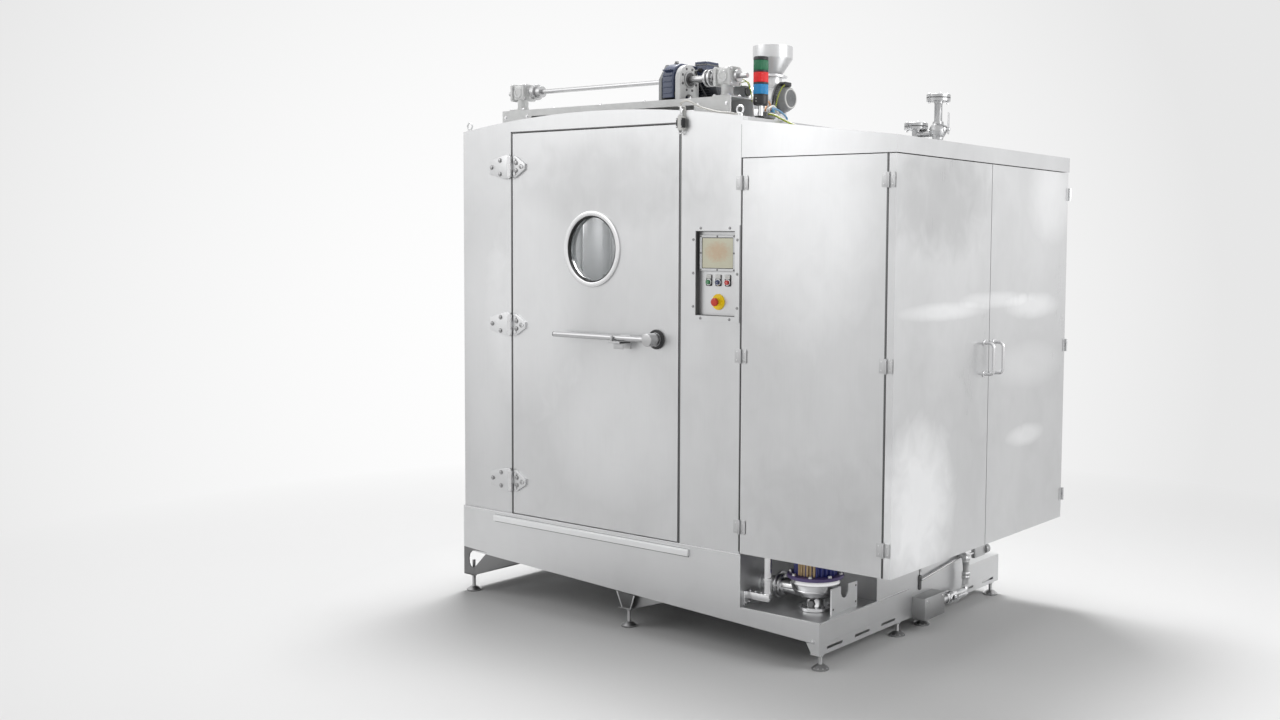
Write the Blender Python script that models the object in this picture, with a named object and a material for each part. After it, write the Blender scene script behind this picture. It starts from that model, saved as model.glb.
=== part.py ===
"""Trolley washing cabin: wash chamber, technical cabinet, sump base and roof drive.

Units are metres, +Z is up and the front faces -Y. Lengths are first given in cabin
coordinates: x from the chamber's left face, y back from the front face, z up from the
floor. ORIGIN moves them to the part's own origin, the middle of its footprint.
"""
import math

import bmesh
import bpy
from mathutils import Vector

# Overall sizes
CABIN_WIDTH = 2.75
CABIN_DEPTH = 1.77
PLINTH_TOP = 0.48
CHAMBER_WIDTH = 1.918
ROOF_EDGE_HEIGHT = 2.05
ROOF_RISE = 0.068
PANEL_THICKNESS = 0.04
ROOF_THICKNESS = 0.03
SEAT_GAP = 0.0003
RUNNING_GAP = 0.0004
CABLE_GAP = 0.001
WELD_OVERLAP = 0.0015
OVERRUN = 0.05

# Sump base
BASE_WIDTH = 2.385
PLINTH_PROUD = 0.006
SUMP_DEPTH_LEFT = 0.245
SUMP_DEPTH_RIGHT = 0.353
TANK_SHEET = 0.004
PUMP_BAY_LEFT = 1.93
PUMP_BAY_DEPTH = 0.484
PUMP_BAY_HEIGHT = 0.255
REAR_BAY_START = 1.385
SEAM_SLOT_Y = 0.886
SEAM_SLOT_WIDTH = 0.008
SEAM_SLOT_TOP = 0.17
SEAM_SLOT_HEIGHT = 0.11
LEDGE_LEFT = 0.247
LEDGE_LENGTH = 1.37
LEDGE_TOP = 0.022
LEDGE_HEIGHT = 0.032
LEDGE_PROUD = 0.012

# Floor grate
GRATE_TOP = 0.004
GRATE_THICKNESS = 0.03
GRATE_RIM = 0.05
GRATE_SLOTS = 11
GRATE_BAR = 0.03

# Legs
LEG_BOTTOM = 0.095
LEG_PLATE = 0.006
LEG_FOOT_WIDTH = 0.08
CORNER_GUSSET_LENGTH = 0.45
MIDDLE_GUSSET_LEFT_REACH = 0.06
MIDDLE_GUSSET_RIGHT_REACH = 0.20
LEG_HOLE_RADIUS = 0.033
LEG_HOLE_INSET = 0.1
LEG_HOLE_HEIGHT = 0.095
MIDDLE_LEG_X = 1.195
RAIL_BOTTOM = 0.075
RAIL_WIDTH = 0.05
RAIL_END_WIDTH = 0.073
RAIL_SLOT_LENGTH = 0.13
RAIL_SLOT_HEIGHT = 0.012
RAIL_SLOT_FIRST = 0.06
RAIL_SLOT_PITCH = 0.235
RAIL_SLOTS = 3
FOOT_DISC_RADIUS = 0.04
FOOT_DISC_HEIGHT = 0.01
FOOT_CONE_HEIGHT = 0.014
FOOT_STEM_RADIUS = 0.009
FOOT_NUT_RADIUS = 0.016
FOOT_NUT_HEIGHT = 0.012
FOOT_INSET = 0.042
LEG_FOOT_INSET = 0.03
SIDE_FOOT_FRONT_Y = 0.72
SIDE_FOOT_BACK_Y = 0.965

# Wash door
DOOR_LEFT = 0.382
DOOR_WIDTH = 1.158
DOOR_HEIGHT = 2.03
DOOR_THICKNESS = 0.045
DOOR_GAP = 0.004
SEAL_WIDTH = 0.022
SEAL_THICKNESS = 0.012
SEAL_INSET = 0.006
WINDOW_X = 0.963
WINDOW_Z = 1.425
WINDOW_RADIUS = 0.172
WINDOW_RING_RADIUS = 0.193
WINDOW_RING_OVERLAP = 0.005
WINDOW_RING_PROUD = 0.009
GLASS_THICKNESS = 0.016

# Heavy door hinges
HINGE_HEIGHTS = (1.852, 1.018, 0.18)
HINGE_AXIS_PROUD = 0.02
HINGE_KNUCKLE_RADIUS = 0.013
HINGE_PIN_RADIUS = 0.006
HINGE_KNUCKLE_LENGTH = 0.035
HINGE_LEAF_THICKNESS = 0.01
HINGE_FRAME_LEAF_LENGTH = 0.15
HINGE_FRAME_LEAF_HEIGHT = 0.125
HINGE_FRAME_LEAF_TIP = 0.07
HINGE_DOOR_LEAF_LENGTH = 0.09
HINGE_DOOR_LEAF_HEIGHT = 0.11
HINGE_DOOR_LEAF_TIP = 0.03
HINGE_BOLT_RADIUS = 0.009
HINGE_BOLT_HEIGHT = 0.006
PIN_HEAD_HEIGHT = 0.008
HINGE_KNUCKLE_CLEARANCE = 0.0015
HINGE_SHOULDER_SHARE = 0.25

# Door lever
LEVER_X = 1.4
LEVER_Z = 0.988
LEVER_BAR_RADIUS = 0.014
LEVER_BAR_LENGTH = 0.65
LEVER_BAR_PROUD = 0.058
LEVER_HUB_RADIUS = 0.032
LEVER_HUB_LENGTH = 0.068
LEVER_SHAFT_RADIUS = 0.012
LEVER_BOSS_RADIUS = 0.046
LEVER_BOSS_THICKNESS = 0.012
LEVER_CAM_LENGTH = 0.085
LEVER_CAM_WIDTH = 0.036
LEVER_CAM_THICKNESS = 0.01
CATCH_X = 1.155
CATCH_WIDTH = 0.075
CATCH_WALL = 0.01
CATCH_PLATE = 0.006
CATCH_PLATE_DROP = 0.055
CATCH_LUG_RISE = 0.012
CATCH_CLEARANCE = 0.002

# Interlock switch and its cable
SWITCH_X = 1.546
SWITCH_Z = 1.995
SWITCH_WIDTH = 0.03
SWITCH_HEIGHT = 0.07
SWITCH_PROUD = 0.03
SWITCH_BRACKET = 0.004
SWITCH_BRACKET_RISE = 0.045
SWITCH_STUD_RADIUS = 0.006
CABLE_RADIUS = 0.005
CABLE_BLOCK_X = 1.785
CABLE_BLOCK_Y = 0.29
CABLE_BLOCK_WIDTH = 0.055
CABLE_BLOCK_LENGTH = 0.075
CABLE_BLOCK_HEIGHT = 0.03

# Roof drive
COLUMN_Y = 0.2
COLUMN_SPREAD = 0.707
DRIVE_SHAFT_HEIGHT = 2.264
BEAM_TOP = 2.162
BEAM_WIDTH = 0.18
BEAM_LEFT = 0.19
BEAM_LENGTH = 1.57
BEAM_SHEET = 0.005
BEAM_BAR_HEIGHT = 0.035
BEAM_LEFT_PAD = 0.22
BEAM_RIGHT_PAD = 0.225
GEARBOX_SIZE = 0.076
GEARBOX_FLANGE_SIZE = 0.092
GEARBOX_FLANGE_THICKNESS = 0.013
GEARBOX_POST_RADIUS = 0.029
GEARBOX_FOOT_SIZE = 0.11
GEARBOX_FOOT_THICKNESS = 0.01
GEARBOX_CAVITY_RADIUS = 0.031
BEVEL_OUTER = 0.021
BEVEL_INNER = 0.015
BEVEL_CLEARANCE = 0.001
COLUMN_SHAFT_RADIUS = 0.012
DRIVE_NECK_RADIUS = 0.01
DRIVE_SHAFT_RADIUS = 0.012
OUTPUT_SHAFT_RADIUS = 0.016
COUPLING_RADIUS = 0.042
COUPLING_HUB_RADIUS = 0.03
COUPLING_PLATE = 0.012
LEFT_COUPLING_X = 0.345
RIGHT_COUPLING_X = 1.545
SHAFT_STUB = 0.05
REDUCER_LEFT = 1.322
REDUCER_WIDTH = 0.07
REDUCER_FRONT_RADIUS = 0.082
REDUCER_BOTTOM = 2.172
REDUCER_REACH = 0.15
TORQUE_PLATE = 0.018
MOTOR_LENGTH = 0.13
MOTOR_RADIUS = 0.07
MOTOR_FINS = 5
MOTOR_FIN_DEPTH = 0.012
MOTOR_BEHIND = 0.163
MOTOR_BELOW = 0.02
TERMINAL_BOX_LENGTH = 0.08
TERMINAL_BOX_WIDTH = 0.1
TERMINAL_BOX_HEIGHT = 0.05
TERMINAL_BOX_FORWARD = 0.03
BEARING_PLATE_X = 1.4
BEARING_PLATE_THICKNESS = 0.03
BEARING_PLATE_RADIUS = 0.073
BEARING_RING_RADIUS = 0.04
BEARING_RING_PROUD = 0.008
PLATE_NOTCH_RADIUS = 0.03

# Spray columns
SPRAY_PIPE_RADIUS = 0.022
SPRAY_PIPE_FOOT = 0.06
SPRAY_PIPE_TOP = 1.97
SPRAY_NOZZLES = 8
SPRAY_NOZZLE_RADIUS = 0.009
SPRAY_NOZZLE_REACH = 0.045
SPRAY_NOZZLE_MARGIN = 0.12

# Stack light
STACK_X = 1.86
STACK_Y = 0.215
STACK_POLE_RADIUS = 0.012
STACK_FOOT_RADIUS = 0.03
STACK_FOOT_HEIGHT = 0.006
STACK_POLE_HEIGHT = 0.05
STACK_BASE_HEIGHT = 0.052
STACK_RADIUS = 0.036
STACK_LENS_HEIGHT = 0.047
STACK_COLLAR_HEIGHT = 0.009
STACK_CAP_HEIGHT = 0.018

# Exhaust
FAN_X = 1.535
FAN_Y = 0.75
FAN_AXIS_HEIGHT = 2.213
FAN_CASING_RADIUS = 0.076
FAN_CASING_LEFT_REACH = 0.155
FAN_CASING_RIGHT_REACH = 0.052
FAN_CASING_WALL = 0.006
FAN_NECK_RADIUS = 0.05
FAN_NECK_TOP = 2.325
FAN_FOOT_WIDTH = 0.12
FAN_FOOT_THICKNESS = 0.045
FAN_WHEEL_RADIUS = 0.062
FAN_WHEEL_PLATE = 0.006
FAN_BLADES = 6
FAN_BLADE_LENGTH = 0.05
FAN_BLADE_THICKNESS = 0.005
FAN_HUB_RADIUS = 0.02
FAN_SHAFT_RADIUS = 0.01
FAN_MOTOR_LENGTH = 0.068
FAN_MOTOR_RADIUS = 0.07
FAN_MOTOR_TAPER = 0.05
FAN_MOTOR_FLANGE = 0.012
FAN_COWL_SHARE = 0.4
STACK_FLANGE_RADIUS = 0.077
STACK_FLANGE_THICKNESS = 0.008
EXHAUST_WALL = 0.003
EXHAUST_CONE_HEIGHT = 0.08
EXHAUST_COLLAR_HEIGHT = 0.008
EXHAUST_RADIUS = 0.105
EXHAUST_TOP_HEIGHT = 0.063

# Steam pipework on the cabinet roof
STEAM_X = 2.3
STEAM_Y = 1.15
STEAM_PIPE_RADIUS = 0.021
STEAM_FLANGE_RADIUS = 0.062
STEAM_FLANGE_THICKNESS = 0.015
STEAM_FLANGE_GASKET = 0.004
STEAM_TOP_HEIGHT = 2.215
STEAM_VALVE_HEIGHT = 2.05
STEAM_VALVE_RADIUS = 0.046
STEAM_STUB_REACH = 0.13
STEAM_STUB_HEIGHT = 2.075
STEAM_BOLT_RADIUS = 0.007
STEAM_BOLTS = 4

# Technical cabinet
CABINET_ROOF_LEFT = 2.03
CABINET_ROOF_RIGHT = 1.933
CABINET_DOOR_HEIGHT = 1.855
CABINET_ROOF_PROUD = 0.006
CABINET_SHEET = 0.02
SERVICE_DOOR_THICKNESS = 0.036
SIDE_DOOR_SPLIT = 0.89
FLOOR_THICKNESS = 0.02
POST_SIZE = 0.04
POST_CLEARANCE = 0.009
FLOOR_HOLE_CLEARANCE = 0.012

# Butt hinges and pull handles
BUTT_HEIGHTS = (1.74, 0.935, 0.128)
BUTT_KNUCKLE_RADIUS = 0.006
BUTT_KNUCKLE_LENGTH = 0.022
BUTT_AXIS_PROUD = 0.0075
BUTT_LEAF_THICKNESS = 0.003
BUTT_LEAF_WIDTH = 0.03
PULL_HEIGHT = 0.92
PULL_SPACING = 0.15
PULL_ROD_RADIUS = 0.008
PULL_REACH = 0.052
PULL_INSET = 0.05
PULL_FOOT_RADIUS = 0.015
PULL_FOOT_THICKNESS = 0.005
PULL_CORNER_RADIUS = 0.025

# Control panel
PANEL_LEFT = 1.618
PANEL_BOTTOM = 1.09
PANEL_WIDTH = 0.292
PANEL_HEIGHT = 0.455
PANEL_RIM = 0.027
PANEL_FRAME_THICKNESS = 0.005
PANEL_RECESS = 0.024
PANEL_SCREW_RADIUS = 0.006
PANEL_SCREW_HEIGHT = 0.003
SCREW_SIDE_SHARES = (0.15, 0.5, 0.85)
SCREW_ROW_SHARES = (0.2, 0.8)
HMI_WIDTH = 0.215
HMI_HEIGHT = 0.172
HMI_THICKNESS = 0.012
HMI_TOP_MARGIN = 0.018
HMI_BEZEL = 0.014
HMI_SCREEN_INSET = 0.003
BUTTON_DROP = 0.065
BUTTON_PITCH = 0.057
BUTTON_RADIUS = 0.0115
BUTTON_PROUD = 0.012
BUTTON_TRAVEL = 0.003
LEGEND_WIDTH = 0.034
LEGEND_HEIGHT = 0.062
LEGEND_THICKNESS = 0.004
LEGEND_BUTTON_DROP = 0.013
ESTOP_DROP = 0.165
ESTOP_DISC_RADIUS = 0.038
ESTOP_DISC_THICKNESS = 0.004
ESTOP_COLLAR_RADIUS = 0.018
ESTOP_COLLAR_HEIGHT = 0.014
ESTOP_HEAD_RADIUS = 0.02
ESTOP_HEAD_HEIGHT = 0.014
ESTOP_STEM_RADIUS = 0.009
ESTOP_TRAVEL = 0.005
BLIND_DEPTH = 0.004

# Pump
PUMP_X = 2.22
PUMP_Y = 0.2
PUMP_RING_RADIUS = 0.08
PUMP_RING_HEIGHT = 0.018
PUMP_BOSS_RADIUS = 0.045
PUMP_BOSS_HEIGHT = 0.036
PUMP_VOLUTE_RADIUS = 0.12
PUMP_VOLUTE_HEIGHT = 0.1
PUMP_BOWL_SHARES = ((0.7, 0.13), (0.9, 0.43), (1, 0.76))
PUMP_WALL = 0.012
PUMP_WHEEL_RADIUS = 0.068
PUMP_SHAFT_RADIUS = 0.014
PUMP_WHEEL_THICKNESS = 0.03
PUMP_FLANGE_RADIUS = 0.134
PUMP_FLANGE_THICKNESS = 0.018
PUMP_MOTOR_RADIUS = 0.105
PUMP_MOTOR_HEIGHT = 0.3
PUMP_RIBS = 8
PUMP_RIB_WIDTH = 0.03
PUMP_RIB_DEPTH = 0.015
PUMP_BOLTS = 8
PUMP_BOLT_RADIUS = 0.009
PUMP_BOLT_HEIGHT = 0.01
PUMP_BOLT_INSET = 0.014
SUCTION_RADIUS = 0.038
SUCTION_CLAMP_RADIUS = 0.056
SUCTION_CLAMP_WIDTH = 0.013
SUCTION_CLAMP_GAP = 0.003
SUCTION_SPLIT = 0.1
SUCTION_HEIGHT_SHARE = 0.3
PUMP_PLATE_X = 2.337
PUMP_PLATE_THICKNESS = 0.008
PUMP_PLATE_FRONT = 0.152
PUMP_PLATE_LENGTH = 0.218
PUMP_PLATE_HEIGHT = 0.12
PUMP_PLATE_HOLE_RADIUS = 0.032
PUMP_PLATE_HOLE_SILL = 0.06
RISER_RADIUS = 0.019
RISER_X = 2.055
RISER_Y = 0.045
SUPPORT_TUBE = 0.034
SUPPORT_HEIGHT = 0.04
SUPPORT_BRACKET = 0.008
SUPPORT_BRACKET_HEIGHT = 0.036

# Drain
DRAIN_BOX_WIDTH = 0.076
DRAIN_BOX_FRONT = 0.82
DRAIN_BOX_LENGTH = 0.2
DRAIN_BOX_BOTTOM = 0.067
DRAIN_BOX_HEIGHT = 0.112
DRAIN_PIPE_RADIUS = 0.019
DRAIN_PIPE_OUT = 0.045
DRAIN_PIPE_RISE = 0.055
DRAIN_RISER_Y = 1.3
DRAIN_RISER_TOP = 0.31
DRAIN_BEND = 0.035
DRAIN_VALVE_RADIUS = 0.034
DRAIN_VALVE_LENGTH = 0.06
DRAIN_VALVE_Y = 1.13
DRAIN_NUT_RADIUS = 0.028
DRAIN_NUT_LENGTH = 0.018
DRAIN_STEM_RADIUS = 0.008
DRAIN_STEM_LENGTH = 0.02
DRAIN_LEVER_LENGTH = 0.12
DRAIN_LEVER_WIDTH = 0.022
DRAIN_LEVER_THICKNESS = 0.005

# Eye bolts
EYE_RING_RADIUS = 0.019
EYE_WIRE_RADIUS = 0.005
EYE_COLLAR_RADIUS = 0.013
EYE_COLLAR_HEIGHT = 0.008
EYE_INSET = 0.03

# Facet counts
ARC_STEPS = 12
FINE_SIDES = 22
ROUND_SIDES = 14
SMALL_SIDES = 10
BOLT_SIDES = 6
CABLE_SIDES = 6
SMOOTH_ANGLE = math.radians(35)

# Worked out from the sizes above
FRONT_REACH = LEVER_BAR_PROUD + LEVER_BAR_RADIUS + CATCH_CLEARANCE + CATCH_WALL
BACK_REACH = BUTT_AXIS_PROUD + BUTT_KNUCKLE_RADIUS * math.sin(math.tau / BOLT_SIDES)
RIGHT_REACH = PULL_REACH + PULL_ROD_RADIUS
ORIGIN = Vector((
    -(CABIN_WIDTH + RIGHT_REACH - PLINTH_PROUD) / 2,
    -(CABIN_DEPTH + BACK_REACH - FRONT_REACH) / 2,
    0,
))
CHAMBER_MIDDLE = CHAMBER_WIDTH / 2
DOOR_RIGHT = DOOR_LEFT + DOOR_WIDTH
DOOR_MIDDLE = (DOOR_LEFT + DOOR_RIGHT) / 2
COLUMN_LEFT_X = DOOR_MIDDLE - COLUMN_SPREAD
COLUMN_RIGHT_X = DOOR_MIDDLE + COLUMN_SPREAD
BEAM_TOP_Z = PLINTH_TOP + BEAM_TOP
SHAFT_Z = PLINTH_TOP + DRIVE_SHAFT_HEIGHT
TRAY_Z = PLINTH_TOP - PUMP_BAY_HEIGHT
CABINET_LEFT = CHAMBER_WIDTH + SEAT_GAP
SIDE_DOOR_INNER = CABIN_WIDTH - SERVICE_DOOR_THICKNESS
SERVICE_DOOR_RIGHT = SIDE_DOOR_INNER - DOOR_GAP / 2
SERVICE_DOOR_LEFT = CHAMBER_WIDTH + DOOR_GAP
SERVICE_AXIS_X = (CHAMBER_WIDTH + SERVICE_DOOR_LEFT) / 2
CORNER_AXIS_X = (SIDE_DOOR_INNER + SERVICE_DOOR_RIGHT) / 2
REAR_AXIS_X = CABIN_WIDTH + BUTT_AXIS_PROUD
REAR_AXIS_Y = CABIN_DEPTH + BUTT_AXIS_PROUD
FAN_AXIS_Z = PLINTH_TOP + FAN_AXIS_HEIGHT
PANEL_MIDDLE_X = PANEL_LEFT + PANEL_WIDTH / 2
HMI_BOTTOM_Z = (
    PLINTH_TOP + PANEL_BOTTOM + PANEL_HEIGHT - PANEL_RIM - HMI_TOP_MARGIN - HMI_HEIGHT
)
BUTTON_Z = HMI_BOTTOM_Z - BUTTON_DROP + LEGEND_BUTTON_DROP
ESTOP_Z = HMI_BOTTOM_Z - ESTOP_DROP
PUMP_VOLUTE_BOTTOM = TRAY_Z + SEAT_GAP + PUMP_RING_HEIGHT + PUMP_BOSS_HEIGHT
PUMP_VOLUTE_TOP = PUMP_VOLUTE_BOTTOM + PUMP_VOLUTE_HEIGHT
SUCTION_Z = PUMP_VOLUTE_BOTTOM + PUMP_VOLUTE_HEIGHT * SUCTION_HEIGHT_SHARE
DRAIN_PIPE_X = BASE_WIDTH + DRAIN_PIPE_OUT
DRAIN_PIPE_Z = DRAIN_BOX_BOTTOM + DRAIN_PIPE_RISE


def clear_scene():
    """Remove every object, mesh and material that the file starts with."""
    for group in (bpy.data.objects, bpy.data.meshes, bpy.data.materials):
        for item in list(group):
            group.remove(item)


class Shape:
    """A set of closed solids gathered in one mesh, in cabin coordinates."""

    def __init__(self):
        self.mesh = bmesh.new()

    def hull_faces(self, rings, closed_ends=True):
        """Join equal rings of points by quads and close the two ends."""
        rows = [[self.mesh.verts.new(point) for point in ring] for ring in rings]
        count = len(rows[0])
        for low, high in zip(rows, rows[1:]):
            for i in range(count):
                j = (i + 1) % count
                self.mesh.faces.new((low[i], low[j], high[j], high[i]))
        if closed_ends:
            self.mesh.faces.new(list(reversed(rows[0])))
            self.mesh.faces.new(rows[-1])
        return rows

    def box(self, low, high):
        """Add a box between two corners."""
        (x0, y0, z0), (x1, y1, z1) = low, high
        ring = ((x0, y0), (x1, y0), (x1, y1), (x0, y1))
        self.hull_faces([[(x, y, z) for x, y in ring] for z in (z0, z1)])
        return self

    def prism(self, axis, outline, start, end):
        """Extrude a flat outline along an axis; outline pairs follow X, Y, Z order."""
        order = {"X": lambda a, b, t: (t, a, b), "Y": lambda a, b, t: (a, t, b),
                 "Z": lambda a, b, t: (a, b, t)}[axis]
        self.hull_faces([[order(a, b, t) for a, b in outline] for t in (start, end)])
        return self

    def turned(self, axis, centre, profile, sides, closed=False):
        """Turn a profile of (radius, distance along axis) pairs about an axis.

        An open profile starts and ends on the axis; a closed one is a ring's section.
        """
        frame = {"X": lambda u, v, t: (t, centre[0] + u, centre[1] + v),
                 "Y": lambda u, v, t: (centre[0] + u, t, centre[1] + v),
                 "Z": lambda u, v, t: (centre[0] + u, centre[1] + v, t)}[axis]
        turn = [math.tau * k / sides for k in range(sides)]
        rows = []
        for radius, along in profile:
            if radius == 0:
                rows.append([self.mesh.verts.new(frame(0, 0, along))])
            else:
                rows.append([self.mesh.verts.new(frame(
                    radius * math.cos(a), radius * math.sin(a), along)) for a in turn])
        pairs = list(zip(rows, rows[1:]))
        if closed:
            pairs.append((rows[-1], rows[0]))
        for low, high in pairs:
            for i in range(sides):
                j = (i + 1) % sides
                if len(low) == 1 and len(high) == 1:
                    continue
                if len(low) == 1:
                    self.mesh.faces.new((low[0], high[j], high[i]))
                elif len(high) == 1:
                    self.mesh.faces.new((low[i], low[j], high[0]))
                else:
                    self.mesh.faces.new((low[i], low[j], high[j], high[i]))
        return self

    def rod(self, axis, centre, start, end, radius, sides=ROUND_SIDES):
        """Add a plain round bar along an axis."""
        profile = [(0, start), (radius, start), (radius, end), (0, end)]
        return self.turned(axis, centre, profile, sides)

    def ring(self, axis, centre, start, end, inner, outer, sides=ROUND_SIDES):
        """Add a plain round tube along an axis."""
        profile = [(inner, start), (outer, start), (outer, end), (inner, end)]
        return self.turned(axis, centre, profile, sides, closed=True)

    def pipe(self, points, radius, sides=SMALL_SIDES):
        """Sweep a round section along points, keeping it square to the path."""
        path = [Vector(point) for point in points]
        tangents = []
        for i in range(len(path)):
            ahead = path[min(i + 1, len(path) - 1)]
            behind = path[max(i - 1, 0)]
            tangents.append((ahead - behind).normalized())
        helper = Vector((0, 0, 1)) if abs(tangents[0].z) < 0.9 else Vector((1, 0, 0))
        side = tangents[0].cross(helper).normalized()
        rings = []
        for point, tangent in zip(path, tangents):
            side = (side - tangent * side.dot(tangent)).normalized()
            up = tangent.cross(side)
            rings.append([
                point + radius * (math.cos(a) * side + math.sin(a) * up)
                for a in (math.tau * k / sides for k in range(sides))])
        self.hull_faces(rings)
        return self


def bend(corner, before, after, radius, steps=3):
    """Return the points of a round bend between two straight runs at a corner."""
    corner = Vector(corner)
    into = (Vector(before) - corner).normalized() * radius
    out = (Vector(after) - corner).normalized() * radius
    points = []
    for k in range(steps + 1):
        angle = math.pi / 2 * k / steps
        points.append(corner + into * (1 - math.sin(angle)) + out * (1 - math.cos(angle)))
    return points


def rounded_route(points, radius):
    """Return a route whose inner points are replaced by round bends."""
    route = [Vector(points[0])]
    for before, corner, after in zip(points, points[1:], points[2:]):
        route.extend(bend(corner, before, after, radius))
    route.append(Vector(points[-1]))
    return route


def smooth_route(points, steps=3):
    """Return points on a smooth curve through the given ones."""
    knots = [Vector(p) for p in points]
    knots = [2 * knots[0] - knots[1]] + knots + [2 * knots[-1] - knots[-2]]
    route = []
    for a, b, c, d in zip(knots, knots[1:], knots[2:], knots[3:]):
        for k in range(steps):
            t = k / steps
            route.append(0.5 * (2 * b + (c - a) * t + (2 * a - 5 * b + 4 * c - d) * t ** 2
                                + (3 * b - a - 3 * c + d) * t ** 3))
    route.append(knots[-2])
    return route


def running_bore(radius):
    """Return the bore whose flats still clear a shaft of this radius."""
    return (radius + RUNNING_GAP) / math.cos(math.pi / SMALL_SIDES)


def paint(name, colour, roughness, metallic):
    """Return a new material with the given base colour and surface."""
    material = bpy.data.materials.new(name)
    material.use_nodes = True
    shader = material.node_tree.nodes["Principled BSDF"]
    shader.inputs["Base Color"].default_value = (*colour, 1)
    shader.inputs["Roughness"].default_value = roughness
    shader.inputs["Metallic"].default_value = metallic
    material.diffuse_color = (*colour, 1)
    return material


FINISHES = {
    "brushed steel": ((0.72, 0.73, 0.74), 0.32, 1.0),
    "polished steel": ((0.80, 0.81, 0.82), 0.18, 1.0),
    "white paint": ((0.82, 0.82, 0.81), 0.40, 0.0),
    "slate paint": ((0.16, 0.20, 0.31), 0.45, 0.0),
    "motor black": ((0.05, 0.05, 0.06), 0.50, 0.0),
    "motor grey": ((0.33, 0.34, 0.35), 0.45, 0.0),
    "motor blue": ((0.10, 0.10, 0.42), 0.35, 0.0),
    "black plastic": ((0.03, 0.03, 0.035), 0.45, 0.0),
    "black rubber": ((0.02, 0.02, 0.02), 0.75, 0.0),
    "dark glass": ((0.35, 0.38, 0.40), 0.05, 0.0),
    "cream screen": ((0.74, 0.68, 0.54), 0.35, 0.0),
    "green lens": ((0.02, 0.38, 0.18), 0.20, 0.0),
    "red lens": ((0.75, 0.02, 0.03), 0.20, 0.0),
    "blue lens": ((0.02, 0.42, 0.80), 0.20, 0.0),
    "green cap": ((0.05, 0.45, 0.15), 0.35, 0.0),
    "blue cap": ((0.04, 0.08, 0.35), 0.35, 0.0),
    "red cap": ((0.80, 0.04, 0.03), 0.35, 0.0),
    "yellow disc": ((0.92, 0.72, 0.03), 0.40, 0.0),
    "cable jacket": ((0.75, 0.74, 0.70), 0.55, 0.0),
}


def make_object(name, shape, pivot):
    """Make an object from a shape, with its origin on the pivot."""
    bmesh.ops.recalc_face_normals(shape.mesh, faces=shape.mesh.faces)
    bmesh.ops.translate(shape.mesh, verts=shape.mesh.verts, vec=-Vector(pivot))
    mesh = bpy.data.meshes.new(name)
    shape.mesh.to_mesh(mesh)
    shape.mesh.free()
    body = bpy.data.objects.new(name, mesh)
    body.location = ORIGIN + Vector(pivot)
    bpy.context.scene.collection.objects.link(body)
    return body


def add_boolean(body, shape, operation, label):
    """Join or cut a shape from an object through a hidden guide object."""
    guide = make_object(f"{body.name}_{label}", shape, (0, 0, 0))
    guide.hide_render = True
    guide.hide_viewport = False
    guide.display_type = "WIRE"
    modifier = body.modifiers.new(label, "BOOLEAN")
    modifier.operation = operation
    modifier.solver = "EXACT"
    modifier.object = guide


def piece(name, finish, shape, joins=(), cuts=(), additions=(), pivot=(0, 0, 0)):
    """Make one named sub-part with its material; additions are joined after the cuts."""
    body = make_object(name, shape, pivot)
    body.data.materials.append(paint(name, *FINISHES[finish]))
    for operation, shapes, label in (("UNION", joins, "join"), ("DIFFERENCE", cuts, "cut"),
                                     ("UNION", additions, "addition")):
        for number, extra in enumerate(shapes):
            add_boolean(body, extra, operation, f"{label}_{number}")
    body.data.shade_smooth()
    body.data.set_sharp_from_angle(angle=SMOOTH_ANGLE)
    return body


def roof_height(x):
    """Return the height above the floor of the arched roof's top at x."""
    share = (x - CHAMBER_MIDDLE) / CHAMBER_MIDDLE
    return PLINTH_TOP + ROOF_EDGE_HEIGHT + ROOF_RISE * (1 - share * share)


def roof_curve(start, end, steps, lift=0):
    """Return (x, z) points on the arched roof from start to end."""
    points = []
    for k in range(steps + 1):
        x = start + (end - start) * k / steps
        points.append((x, roof_height(x) + lift))
    return points


def roof_facet_height(x):
    """Return the height above the floor of the roof's flat facet at x."""
    step = CHAMBER_WIDTH / ARC_STEPS
    start = step * math.floor(x / step)
    share = (x - start) / step
    return roof_height(start) * (1 - share) + roof_height(start + step) * share


def cabinet_roof_height(x):
    """Return the height above the floor of the cabinet's sloping roof at x."""
    share = (x - CHAMBER_WIDTH) / (CABIN_WIDTH - CHAMBER_WIDTH)
    return PLINTH_TOP + CABINET_ROOF_LEFT + (CABINET_ROOF_RIGHT - CABINET_ROOF_LEFT) * share


def sump_floor(x):
    """Return the height above the floor of the sloping sump bottom at x."""
    share = x / BASE_WIDTH
    return PLINTH_TOP - SUMP_DEPTH_LEFT - (SUMP_DEPTH_RIGHT - SUMP_DEPTH_LEFT) * share


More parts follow.
